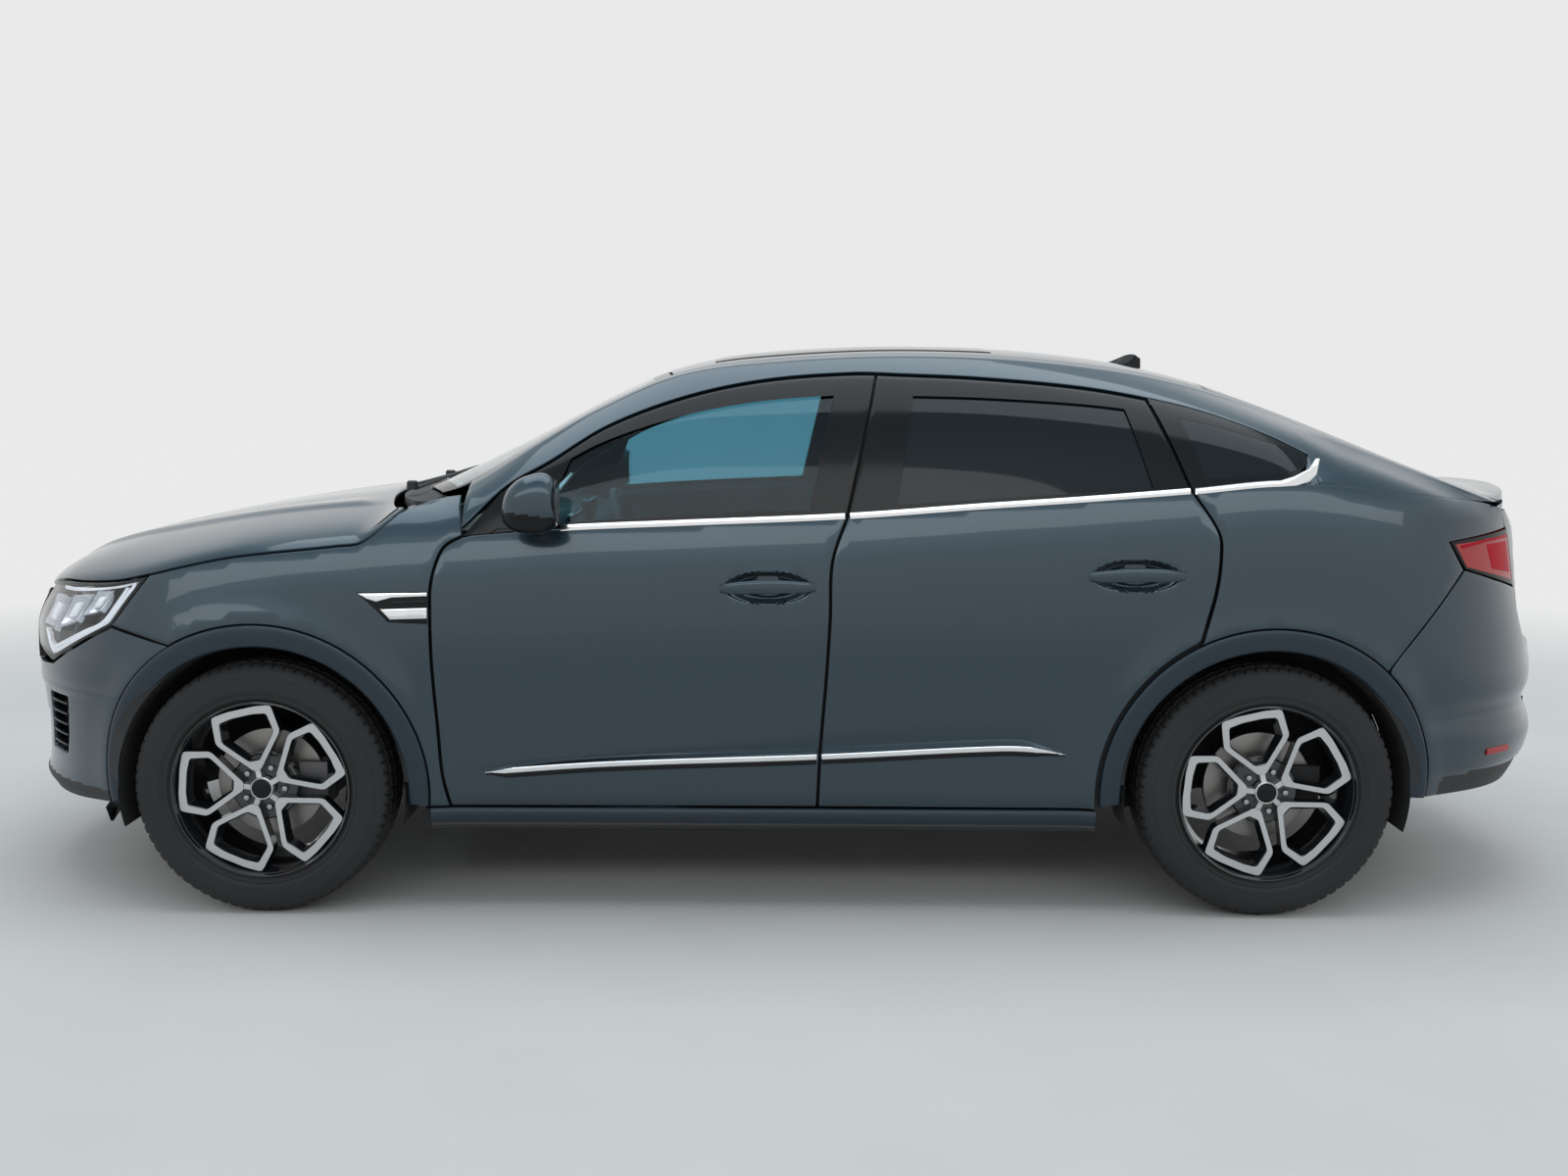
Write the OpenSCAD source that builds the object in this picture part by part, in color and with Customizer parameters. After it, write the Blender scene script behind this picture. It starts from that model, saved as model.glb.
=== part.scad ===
// Coupe sport utility vehicle: hollow body with opening doors, bonnet and tailgate,
// steered front wheels, rolling wheels, cabin fittings and running gear.
// Axes: x runs from nose to tail, y from left to right, z up. The ground is z = 0.

/* [Body] */
// Distance between the front and rear axles
wheelbase = 2721; // [2500:1:2950]
// Nose ahead of the front axle
front_overhang = 868; // [800:1:950]
// Tail behind the rear axle
rear_overhang = 979; // [900:1:1080]
// Width of the body at the waist
body_w = 1790; // [1700:1:1880]
// Height of the roof above the ground
body_h = 1557; // [1480:1:1640]
// Gap between a moving panel and its neighbour
shut_gap = 8; // [7:0.5:10]
// Thickness of a panel's outer skin and flange
skin_t = 6; // [4:0.5:9]
// Thickness of a whole door below the belt
door_t = 105; // [80:1:120]
// Thickness of a window frame and of the roof
frame_t = 32; // [26:1:38]
// Thickness of the window glass
glass_t = 5; // [4:0.5:7]

/* [Wheels] */
// Radius of the tyre over its tread
tyre_r = 347; // [325:1:355]
// Width of the tyre
tyre_w = 215; // [195:1:235]
// Radius of the rim's edge
rim_r = 240; // [225:1:250]
// Distance between the wheel centres of one axle
track = 1562; // [1530:1:1580]
// Radius of the wheel arch opening
arch_r = 392; // [385:1:400]
// Width of the trim round a wheel arch
arch_trim_w = 60; // [45:1:70]
// Radius of the brake disc
disc_r = 148; // [130:1:160]
// Number of loops in the wheel's face
loop_count = 5; // [4:1:6]

/* [Cabin] */
// Width of a front seat
seat_w = 500; // [460:1:530]
// Radius of the steering wheel
steering_r = 182; // [165:1:195]
// Radius of a hinge pin
pin_r = 5; // [4:0.5:6]

/* [Hidden] */
$fn = 48;
paint = [0.22, 0.27, 0.31];
dark = [0.08, 0.08, 0.09];
steel = [0.5, 0.5, 0.52];
clear = [0.1, 0.15, 0.17];
lens = [0.8, 0.85, 0.9];
red_lens = [0.5, 0.03, 0.03];
trim_cloth = [0.15, 0.15, 0.16];

// The design sheet that the profile curves were drawn on
sheet_base = 2721;
sheet_front = 868;
sheet_rear = 979;
sheet_h = 1557;
sheet_half = 895;

// Key stations
nose_x = -(front_overhang + wheelbase + rear_overhang) / 2;
front_x = nose_x + front_overhang;
rear_x = front_x + wheelbase;
tail_x = rear_x + rear_overhang;
half_w = body_w / 2;
wheel_y = track / 2;
// Front axle of the design sheet, from the middle of its length
sheet_front_x = -1416;
sheet_rear_x = sheet_front_x + sheet_base;
gap = shut_gap / 2;

// Sheet to car: stations stretch between the axles and over each overhang
function px(x) = x < sheet_front_x ? front_x + (x - sheet_front_x) * front_overhang / sheet_front
    : x > sheet_rear_x ? rear_x + (x - sheet_rear_x) * rear_overhang / sheet_rear
    : front_x + (x - sheet_front_x) * wheelbase / sheet_base;
// The body stands on its wheels up to the waist, and only what is above grows with the roof
waist_z = 830;
function pz(z) = z <= waist_z ? z : waist_z + (z - waist_z) * (body_h - waist_z) / (sheet_h - waist_z);
function py(y) = y * half_w / sheet_half;
function pxz(p) = [px(p[0]), pz(p[1])];
function on_x(points, f) = [for (p = points) [px(p[0]), f(p[1])]];
function on_z(points, scale) = [for (p = points) [pz(p[0]), p[1] * scale]];

// Smooth curve through [position, value] pairs
function span(p, x, i = 0) = i >= len(p) - 2 || x < p[i + 1][0] ? i : span(p, x, i + 1);
function slope(p, i) = let(a = max(i - 1, 0), b = min(i + 1, len(p) - 1))
    (p[b][1] - p[a][1]) / (p[b][0] - p[a][0]);
function curve(p, x) = let(i = span(p, x), h = p[i + 1][0] - p[i][0],
    t = min(max((x - p[i][0]) / h, 0), 1), a = p[i][1], b = p[i + 1][1],
    ma = slope(p, i) * h, mb = slope(p, i + 1) * h)
    a * (2 * t * t * t - 3 * t * t + 1) + b * (3 * t * t - 2 * t * t * t)
    + ma * (t * t * t - 2 * t * t + t) + mb * (t * t * t - t * t);

// Smooth path through points, t from 0 to 1
function knot(p, i) = p[min(max(i, 0), len(p) - 1)];
function path(p, t) = let(n = len(p) - 1, s = min(max(t, 0), 1) * n, i = min(floor(s), n - 1), f = s - i,
    a = knot(p, i), b = knot(p, i + 1), ma = (b - knot(p, i - 1)) / 2, mb = (knot(p, i + 2) - a) / 2)
    a * (2 * f * f * f - 3 * f * f + 1) + b * (3 * f * f - 2 * f * f * f)
    + ma * (f * f * f - 2 * f * f + f) + mb * (f * f * f - f * f);
// Straight runs between points, t from 0 to 1
function chain(p, t) = let(n = len(p) - 1, s = min(max(t, 0), 1) * n, i = min(floor(s), n - 1))
    p[i] + (p[i + 1] - p[i]) * (s - i);
function mix(a, b, t) = a + (b - a) * t;
function steps(n) = [for (i = [0:n]) i / n];

// Patch between four edges: bottom and top run with u, front and rear run with v
function patch(bottom, top, front, rear, u, v) =
    bottom(u) * (1 - v) + top(u) * v + front(v) * (1 - u) + rear(v) * u
    - (bottom(0) * (1 - u) * (1 - v) + bottom(1) * u * (1 - v) + top(0) * (1 - u) * v + top(1) * u * v);

// Closed sheet between an outer and an inner net of points, with cells left open as windows.
// open holds [first row, last row, first column, last column] of the cells that are cut out.
module sheet(outer, inner, open = [], flip = false) {
    n = len(outer) - 1;
    m = len(outer[0]) - 1;
    w = m + 1;
    half = (n + 1) * w;
    function cut(i, j) = len([for (o = open) if (i >= o[0] && i <= o[1] && j >= o[2] && j <= o[3]) 1]) > 0;
    function full(i, j) = i >= 0 && i < n && j >= 0 && j < m && !cut(i, j);
    function wall(p, q) = [[p, q, q + half], [p, q + half, p + half]];
    points = concat([for (row = outer) each row], [for (row = inner) each row]);
    // A cell is split along its shorter diagonal
    function split(a, b, c, d) = norm(points[a] - points[c]) <= norm(points[b] - points[d])
        ? [[a, d, c], [a, c, b]] : [[d, c, b], [d, b, a]];
    faces = [for (i = [0:n - 1], j = [0:m - 1]) if (full(i, j))
        let(a = i * w + j, b = a + 1, d = a + w, c = d + 1)
        each concat(split(a, b, c, d), split(a + half, d + half, c + half, b + half),
            full(i - 1, j) ? [] : wall(a, b), full(i, j + 1) ? [] : wall(b, c),
            full(i + 1, j) ? [] : wall(c, d), full(i, j - 1) ? [] : wall(d, a))];
    polyhedron(points, flip ? [for (f = faces) [f[0], f[2], f[1]]] : faces, convexity = 10);
}
module both_sides() {
    children();
    mirror([0, 1, 0]) children();
}

// Profile curves of the body
belt_curve = on_x([[-2284, 880], [-1800, 930], [-1416, 985], [-1100, 1015], [-865, 1032], [-591, 1054],
    [-265, 1069], [167, 1089], [515, 1116], [776, 1135], [1078, 1160], [1308, 1182], [1500, 1172],
    [1800, 1140], [2284, 1090]], function(z) pz(z));
function belt_z(x) = curve(belt_curve, x);
plan_curve = on_x([[-2284, 893], [-1416, 893], [-900, 886], [0, 888], [900, 893], [1305, 895],
    [1700, 891], [2284, 880]], function(y) py(y));
nose_curve = on_z([[200, 790], [262, 848], [300, 863], [350, 856], [450, 852], [550, 858], [640, 868],
    [700, 868], [763, 862], [838, 826], [880, 800]], front_overhang / sheet_front);
tail_curve = on_z([[200, 830], [300, 915], [360, 952], [442, 979], [515, 964], [632, 962], [720, 945],
    [798, 925], [889, 905], [1000, 890], [1090, 880]], rear_overhang / sheet_rear);
// Roundness of the nose and the tail seen from above
nose_power = 2.3;
tail_power = 2.6;
sill_z = pz(250);
// How far the side stands in from the waist, from the sill up to the belt
inset_curve = [[0, 52], [0.08, 34], [0.18, 24], [0.3, 14], [0.45, 4], [0.6, 0], [0.74, 2], [0.86, 14],
    [0.94, 28], [1, 42], [1.1, 62]];
flare_out = 10;
flare_reach = 46;

function nose_len(z) = curve(nose_curve, z);
function tail_len(z) = curve(tail_curve, z);
function end_share(d, len, power) = pow(max(0, 1 - pow(min(d / len, 1), power)), 1 / power);
function end_factor(x, z) = x < front_x ? end_share(front_x - x, nose_len(z), nose_power)
    : x > rear_x ? end_share(x - rear_x, tail_len(z), tail_power) : 1;
function arch_d(x, z) = min(norm([x - front_x, z - tyre_r]), norm([x - rear_x, z - tyre_r]));
function flare(x, z) = let(d = (arch_d(x, z) - arch_r - arch_trim_w) / flare_reach) flare_out * exp(-d * d);
// Half width of the lower body side
function side_w(x, z) = (curve(plan_curve, x) - curve(inset_curve, (z - sill_z) / (belt_z(x) - sill_z)))
    * end_factor(x, z) + flare(x, z);

// Rail: edge between the side of the cabin and the roof
rail_z_curve = on_x([[-977, 1118], [-877, 1144], [-689, 1266], [-521, 1365], [-293, 1462], [0, 1500],
    [300, 1515], [600, 1508], [900, 1478], [1080, 1446], [1239, 1403], [1402, 1348], [1567, 1285],
    [1720, 1223], [1801, 1190], [1900, 1150], [2050, 1100]], function(z) pz(z));
rail_w_curve = on_x([[-977, 748], [-877, 735], [-689, 695], [-521, 655], [-293, 612], [0, 588], [300, 578],
    [600, 575], [900, 572], [1080, 568], [1239, 565], [1402, 565], [1567, 572], [1720, 590], [1801, 610],
    [1900, 640], [2050, 600]], function(y) py(y));
top_curve = on_x([[-2262, 806], [-2219, 868], [-2089, 942], [-1897, 1009], [-1706, 1050], [-1452, 1092],
    [-1263, 1116], [-1120, 1128], [-1060, 1140], [-948, 1192], [-829, 1250], [-711, 1308], [-593, 1371],
    [-475, 1430], [-357, 1480], [-241, 1512], [-100, 1535], [179, 1554], [365, 1557], [614, 1552],
    [801, 1538], [988, 1512], [1200, 1462], [1400, 1392], [1600, 1312], [1800, 1230], [1900, 1192],
    [1980, 1167], [2060, 1150], [2150, 1141], [2195, 1142]], function(z) pz(z));
dlo_curve = on_x([[-865, 1052], [-756, 1159], [-640, 1227], [-485, 1324], [-274, 1404], [-60, 1450],
    [182, 1470], [317, 1467], [532, 1458], [801, 1435], [987, 1404], [1146, 1365], [1301, 1307],
    [1402, 1255]], function(z) pz(z));
// How far the side glass stands in from the body side at the belt
glass_step = 8;
function rail_z(x) = curve(rail_z_curve, x);
function rail_w(x) = curve(rail_w_curve, x);
function lean(t) = 0.45 * t + 0.55 * pow(t, 4);
// The step runs out at the foot of the front and rear pillars
function step_share(x) = min(max((x - px(-900)) / 60, 0), 1) * min(max((px(1480) - x) / 90, 0), 1);
// Half width of the cabin side above the belt
function cabin_w(x, z) = let(b = belt_z(x), t = min(max((z - b) / max(rail_z(x) - b, 1), 0), 1))
    mix(side_w(x, b) - glass_step * step_share(x), rail_w(x), lean(t));
function skin_w(x, z) = z <= belt_z(x) ? side_w(x, z) : cabin_w(x, z);
// Height of the roof, windscreen and tail from the rail inwards
function cap_z(x, y) = let(r = rail_z(x), s = min(abs(y) / rail_w(x), 1))
    r + (curve(top_curve, x) - r) * pow(1 - pow(s, 2.4), 0.75);

// Bonnet edge: height along the length; its half width is where the body side has that height
bonnet_z_curve = on_x([[-2262, 796], [-2219, 825], [-2150, 858], [-2050, 884], [-1940, 893], [-1820, 905],
    [-1736, 922], [-1600, 955], [-1468, 981], [-1194, 1010], [-1128, 1022], [-1032, 1104]],
    function(z) pz(z));
function bonnet_edge_z(x) = curve(bonnet_z_curve, x);
function bonnet_w(x) = skin_w(x, bonnet_edge_z(x)) - 1;
function bonnet_top(x, s) = let(e = bonnet_edge_z(x))
    e + (curve(top_curve, x) - e) * pow(max(0, 1 - pow(abs(s), 2.6)), 0.7);

// Points on the side skin, and depth inwards from it; left side is -y
function side_point(p, d = 0) = [p[0], d - skin_w(p[0], p[1]), p[1]];

// Shut lines in side view, from the bottom up, in [x, z]
front_shut = [for (p = [[-908, 298], [-926, 390], [-933, 520], [-943, 690], [-945, 820], [-942, 915],
    [-914, 1000], [-865, 1032]]) pxz(p)];
middle_shut = [for (p = [[89, 300], [97, 480], [110, 660], [119, 818], [124, 969], [164, 1089]]) pxz(p)];
middle_top = pxz([247, 1468]);
rear_shut_top = [for (p = [[1104, 756], [1138, 883], [1151, 992], [1142, 1060], [1078, 1160]]) pxz(p)];
rear_top = pxz([985, 1404]);
door_bottom_z = pz(298);
// Outer edge of the arch trim
trim_r = arch_r + arch_trim_w;
// Panel edge beside an arch trim, clear of the trim's facets
panel_r = trim_r + 4.5;
function arch_at(cx, r, a) = [cx + r * cos(a), tyre_r + r * sin(a)];
// Angle on a wheel arch, from straight back, at which a radius reaches a height
function arch_angle(r, z) = asin((z - tyre_r) / r);
function shift(p, dx) = [p[0] + dx, p[1]];

// Doors
// Net of door rows: lower panel, then window rows, then the top of the frame
module door_skin(lower_front, lower_rear, belt_from, belt_to, top_from, top_to, cols, window, box_cols) {
    function bottom(u) = mix(lower_front(0), lower_rear(0), u);
    function belt(u) = let(x = mix(belt_from, belt_to, u)) [x, belt_z(x)];
    function dlo(u) = let(x = mix(top_from, top_to, u)) [x, curve(dlo_curve, x) - gap - 2];
    function low(u, v) = patch(function(t) bottom(t), function(t) belt(t), lower_front, lower_rear, u, v);
    function high(u, v) = mix(belt(u), dlo(u), v);
    v_low = [0, 0.04, 0.06, 0.2, 0.36, 0.52, 0.68, 0.8, 0.9, 1];
    v_high = [0.06, 0.32, 0.6, 0.86, 1];
    rows = concat([for (v = v_low) [for (u = cols) low(u, v)]],
        [for (v = v_high) [for (u = cols) high(u, v)]]);
    function deep(i, j) = i >= 2 && i < len(v_low) - 1 && j >= box_cols[0] && j <= box_cols[1]
        ? door_t : i < len(v_low) - 1 ? skin_t : frame_t;
    outer = [for (row = rows) [for (p = row) side_point(p)]];
    draft = 0.3;
    inner = [for (i = [0:len(rows) - 1]) [for (j = [0:len(cols) - 1])
        let(d = deep(i, j)) side_point(rows[i][j], d) + [d * draft * (1 - 2 * cols[j]), 0, 0]]];
    sheet(outer, inner, [[len(v_low), len(v_low) + 2, window[0], window[1]]]);
}
front_cols = [0, 0.085, 0.095, 0.2, 0.32, 0.44, 0.56, 0.68, 0.8, 0.9, 0.955, 0.965, 1];
rear_cols = [0, 0.112, 0.122, 0.14, 0.26, 0.4, 0.54, 0.68, 0.8, 0.9, 0.955, 0.965, 1];
// Point beside a path that climbs: d > 0 is to the rear of it
function beside(p, t, d) = let(k = path(p, t + 0.02) - path(p, t - 0.02))
    path(p, t) + d * [k[1], -k[0]] / norm(k);
function front_edge(v) = beside(front_shut, v, gap);
function middle_edge_front(v) = shift(path(middle_shut, v), -gap);
function middle_edge_rear(v) = shift(path(middle_shut, v), gap);
// Arch edge of the rear door
door_arch_r = panel_r + shut_gap + 1;
arch_meet = atan2(pz(756) - tyre_r, px(1104) - rear_x);
arch_low = 180 - arch_angle(door_arch_r, door_bottom_z);
// Rear edge of the rear door: up round the arch, then up the shut line
function rear_edge(v) = v < 0.5 ? arch_at(rear_x, door_arch_r, mix(arch_low, arch_meet, v / 0.5))
    : let(k = (v - 0.5) / 0.5, e = arch_at(rear_x, door_arch_r, arch_meet))
    shift(path(rear_shut_top, k), -gap) + (e - shift(rear_shut_top[0], -gap)) * (1 - k);

module front_door() {
    door_skin(function(v) front_edge(v), function(v) middle_edge_front(v),
        front_edge(1)[0], middle_edge_front(1)[0], px(-770), middle_top[0] - gap,
        front_cols, [3, 8], [2, 10]);
}
module rear_door() {
    door_skin(function(v) middle_edge_rear(v), function(v) rear_edge(v),
        middle_edge_rear(1)[0], rear_edge(1)[0], middle_top[0] + gap, rear_top[0] - gap,
        rear_cols, [3, 8], [2, 10]);
}

// Front and rear ends: a turn angle a from the middle, and a height z, give a point on the skin
function end_point(ahead, a, z, d = 0) = let(power = ahead ? nose_power : tail_power,
    len = ahead ? nose_len(z) : tail_len(z),
    c = pow(max(cos(a), 0), 2 / power),
    k = pow(abs(sin(a)), 2 / power),
    x = ahead ? front_x - len * c : rear_x + len * c,
    t = (z - sill_z) / (belt_z(x) - sill_z),
    w = (curve(plan_curve, x) - curve(inset_curve, t)) * k + flare(x, z) * k)
    [x + (ahead ? d : -d) * pow(cos(a), 3), sign(a) * (w - d * abs(sin(a))), z];
// Turn angle of the skin point above x at height z
function end_angle(ahead, x, z) = let(power = ahead ? nose_power : tail_power,
    r = ahead ? (front_x - x) / nose_len(z) : (x - rear_x) / tail_len(z))
    acos(pow(min(max(r, 0), 1), power / 2));
function turned(ahead, p) = [end_angle(ahead, p[0], p[1]), p[1]];

// Sheet round an end of the car; edges run in [turn angle, z], from the middle outwards
module end_sheet(ahead, bottom, top, side, us, vs, depth, open = []) {
    function middle(v) = [0, mix(bottom(0)[1], top(0)[1], v)];
    function at(s, v) = let(q = patch(bottom, top, function(t) middle(t), side, abs(s), v))
        [sign(s) * q[0], q[1]];
    ss = concat([for (i = [len(us) - 1:-1:1]) -us[i]], us);
    nets = [for (d = [0, depth]) [for (v = vs) [for (s = ss)
        let(q = at(s, v)) end_point(ahead, q[0], q[1], d)]]];
    sheet(nets[0], nets[1], open, ahead);
}
// Patch of the left body side; edges run in [x, z]
module side_sheet(bottom, top, front, rear, us, vs, depth, out = 0, open = []) {
    nets = [for (d = [-out, depth]) [for (v = vs) [for (u = us)
        side_point(patch(bottom, top, front, rear, u, v), d)]]];
    sheet(nets[0], nets[1], open);
}

// Fixed body panels
seat_gap = 0.3;
fender_front = 120;
fender_low = arch_angle(trim_r, door_bottom_z);
lamp_rear_low = pxz([-1822, 784]);
function bonnet_side(x) = [px(x), bonnet_edge_z(px(x)) - shut_gap];
// Outer outline of a fender: lamp, bonnet edge, foot of the pillar, then down the door's shut line
fender_rim = concat([lamp_rear_low, mix(lamp_rear_low, bonnet_side(-1712), 0.5)],
    [for (x = [-1712, -1647, -1573, -1499, -1425, -1352, -1278, -1204, -1155, -1093, -1040]) bonnet_side(x)],
    [for (p = [[-965, 1120], [-886, 1136], [-876, 1086]]) pxz(p)],
    [for (t = [1, 0.9, 0.8, 0.68, 0.52, 0.36, 0.2, 0]) beside(front_shut, t, -gap)]);
// Where each outline point's rib meets the arch, so that no rib crosses the door's corner
fender_crest = 80;
fender_corner = len(fender_rim) - 8;
fender_bend = fender_corner - 4;
fender_turns = [for (k = [0:len(fender_rim) - 1]) k < 2 ? fender_front - k
    : k < fender_bend ? mix(fender_front - 2, fender_crest, (k - 2) / (fender_bend - 2))
    : k < fender_corner ? fender_crest - 0.5 * (k - fender_bend)
    : mix(fender_crest - 2, fender_low, (k - fender_corner) / 7)];
module fenders() {
    vs = [0, 0.2, 0.45, 0.72, 1];
    nets = [for (d = [0, skin_t]) [for (v = vs) [for (k = [0:len(fender_rim) - 1])
        side_point(mix(arch_at(front_x, panel_r, fender_turns[k]), fender_rim[k], v), d)]]];
    color(paint) both_sides() sheet(nets[0], nets[1]);
}

quarter_low = pxz([1623, 697]);
quarter_arch_end = atan2(quarter_low[1] - tyre_r, quarter_low[0] - rear_x);
lamp_front_low = pxz([1836, 948]);
lamp_tip = pxz([1787, 1026]);
function quarter_bottom(u) = arch_at(rear_x, panel_r, mix(arch_meet, quarter_arch_end, u));
function quarter_lead(v) = mix(quarter_bottom(0), rear_shut_top[0], min(v * 6, 1))
    + shift(path(rear_shut_top, v), gap) - shift(rear_shut_top[0], gap * (1 - min(v * 6, 1)));
function quarter_top(u) = let(a = quarter_lead(1), x = mix(a[0], px(2008), u))
    [x, belt_z(x) - 16 * pow(max(0, u - 0.83) / 0.17, 2)];
function quarter_trail(v) = chain([quarter_bottom(1), lamp_front_low, lamp_tip, pxz([2018, 1050]),
    quarter_top(1)], v);
module quarter_panels() {
    color(paint) both_sides() side_sheet(function(u) quarter_bottom(u), function(u) quarter_top(u),
        function(v) quarter_lead(v), function(v) quarter_trail(v),
        steps(9), [0, 0.125, 0.25, 0.375, 0.5, 0.62, 0.75, 0.88, 1], skin_t);
}

// Side rails: from the top of the door windows over the rail to the roof's edge, then the rear pillar
roof_share = 0.93;
function rail_foot_z(x) = let(t = (x - px(1402)) / (px(1500) - px(1402)))
    t <= 0 ? curve(dlo_curve, x) + gap
    : mix(curve(dlo_curve, px(1402)) + gap, belt_z(x) + seat_gap, min(t, 1));
function rail_row(x, v) = let(f = rail_foot_z(x), r = rail_z(x), w = rail_w(x))
    v < 0.55 ? let(z = mix(f, r, v / 0.55)) [x, -cabin_w(x, z), z]
    : let(y = mix(w, w * roof_share + seat_gap, (v - 0.55) / 0.45)) [x, -y, cap_z(x, y)];
module side_rails() {
    xs = concat([px(-866)], [for (k = [2:6]) mix(screen_foot(1), header(1), k / 7)], [header(1) + 6],
        [for (i = [1:len(roof_xs) - 1]) roof_xs[i]],
        [for (x = [1246, 1340, 1402, 1450, 1500, 1560, 1670, 1780, 1850]) px(x)]);
    vs = [0, 0.28, 0.55, 0.8, 1];
    outer = [for (v = vs) [for (x = xs) rail_row(x, v)]];
    inner = [for (i = [0:len(vs) - 1]) [for (j = [0:len(xs) - 1])
        outer[i][j] + frame_t * [0, cos(90 * vs[i]), -sin(90 * vs[i])]]];
    color(paint) both_sides() sheet(outer, inner);
}

// Roof between the rails, with the opening for its glass panel
function roof_half(x) = rail_w(x) * roof_share;
header_x = -362;
function header(s) = px(header_x + 40 * s * s);
roof_rear = px(1182);
roof_xs = [for (x = [0, -203, -60, 120, 300, 450, 588, 740, 890, 1040, 1182]) px(x)];
roof_ss = [-1, -0.87, -0.6, -0.3, 0, 0.3, 0.6, 0.87, 1];
function cap_point(x, s, half, d = 0) = let(y = s * half) [x, y, cap_z(x, y) - d];
module roof_panel() {
    function row(i, s, d) = let(x = i == 0 ? header(s) + 6 : roof_xs[i]) cap_point(x, s, roof_half(x), d);
    nets = [for (d = [0, frame_t]) [for (i = [0:len(roof_xs) - 1]) [for (s = roof_ss) row(i, s, d)]]];
    color(paint) sheet(nets[0], nets[1], [[1, 5, 1, 6]], true);
    fin_x = px(985);
    fin_z = cap_z(fin_x + 70, 0) + seat_gap;
    color(paint) translate([fin_x, 0, 0]) hull() {
        translate([0, -4, fin_z + 2]) cube([140, 8, 1]);
        translate([10, -28, fin_z + 2]) cube([125, 56, 1]);
        translate([95, -3, fin_z + 50]) cube([38, 6, 1]);
    }
    color(paint) translate([fin_x + 30, -20, fin_z - 12]) cube([80, 40, 15]);
}

// Glass set into the body: windscreen, roof glass and rear quarter windows
function screen_foot(s) = px(-1095 + 150 * s * s);
module fixed_glass() {
    function row(v, s, d) = let(x = mix(screen_foot(s), header(s), v))
        cap_point(x, s, roof_half(x) - seat_gap, d);
    screen = [for (d = [2, 2 + glass_t]) [for (v = steps(7)) [for (s = steps(10)) row(v, 2 * s - 1, d)]]];
    color(clear) sheet(screen[0], screen[1], [], true);
    pane = [for (d = [-2, frame_t - 8]) [for (i = [1:6]) [for (j = [1:7])
        let(s = roof_ss[j], x = roof_xs[i] + (i == 1 ? seat_gap : i == 6 ? -seat_gap : 0))
        cap_point(x, s - 0.001 * sign(s) * (j == 1 || j == 7 ? 1 : 0), roof_half(x), d)]]];
    color(clear) sheet(pane[0], pane[1], [], true);
    tip = px(1396);
    function foot(u) = let(x = mix(rear_edge(1)[0] + shut_gap, tip, u))
        [x, mix(belt_z(x), curve(dlo_curve, tip) - 22, pow(u, 6)) + seat_gap];
    function head(u) = let(x = mix(rear_top[0] + gap, tip, u)) [x, curve(dlo_curve, x) + 1];
    color(clear) both_sides() side_sheet(function(u) foot(u), function(u) head(u),
        function(v) mix(foot(0), head(0), v), function(v) mix(foot(1), head(1), v),
        steps(6), steps(3), frame_t * 0.6);
}

// Nose
bumper_low = pz(262);
bumper_mid = pz(640);
bumper_side_low = 188;
function nose_arch(a) = turned(true, arch_at(front_x, panel_r, a));
function bumper_bottom(u) = mix([0, bumper_low], nose_arch(bumper_side_low), u)
    - [0, (nose_arch(bumper_side_low)[1] - bumper_low) * (u - pow(u, 4))];
function bumper_top(u) = chain([[0, bumper_mid], [18, bumper_mid], [36, bumper_mid],
    turned(true, pxz([-2064, 650])), turned(true, pxz([-1945, 716])),
    turned(true, lamp_rear_low - [0, 7]), nose_arch(fender_front) - [0, 4]], u);
function bumper_side(v) = nose_arch(mix(bumper_side_low, fender_front, v)) - [0, 4 * v];
module front_bumper() {
    color(paint) end_sheet(true, function(u) bumper_bottom(u), function(u) bumper_top(u),
        function(v) bumper_side(v),
        [0, 0.12, 0.24, 0.36, 0.48, 0.58, 0.67, 0.75, 0.83, 0.92, 1],
        [0, 0.09, 0.2, 0.38, 0.56, 0.72, 0.86, 1], skin_t * 2, [[2, 3, 6, 13]]);
}
grille_half = 30;
function grille_top(u) = let(p = end_point(true, grille_half * u + 0.01, pz(800)))
    [grille_half * u, bonnet_edge_z(p[0]) - shut_gap - 4 * u];
module grilles() {
    rows = 9;
    us = [0, 0.2, 0.4, 0.6, 0.8, 1];
    ss = concat([for (i = [5:-1:1]) -us[i]], us);
    function at(s, i) = [grille_half * s,
        mix(bumper_mid + seat_gap + 1.5 * s * s, grille_top(abs(s))[1], i / rows)];
    function net(deep) = [for (i = [0:rows]) [for (s = ss)
        let(q = at(s, i)) end_point(true, q[0], q[1], deep(i))]];
    color(dark) sheet(net(function(i) i % 2 == 0 ? 6 : 18), net(function(i) 44), [], true);
    // Lower intake: slatted panel behind the bumper's opening
    low = [for (d = [skin_t * 2 + 4, 36]) [for (z = [pz(326), pz(350), pz(400), pz(450), pz(490)])
        [for (s = ss) end_point(true, 34 * s, z, d)]]];
    color(dark) sheet(low[0], low[1], [], true);
}
lamp_t = 55;
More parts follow.
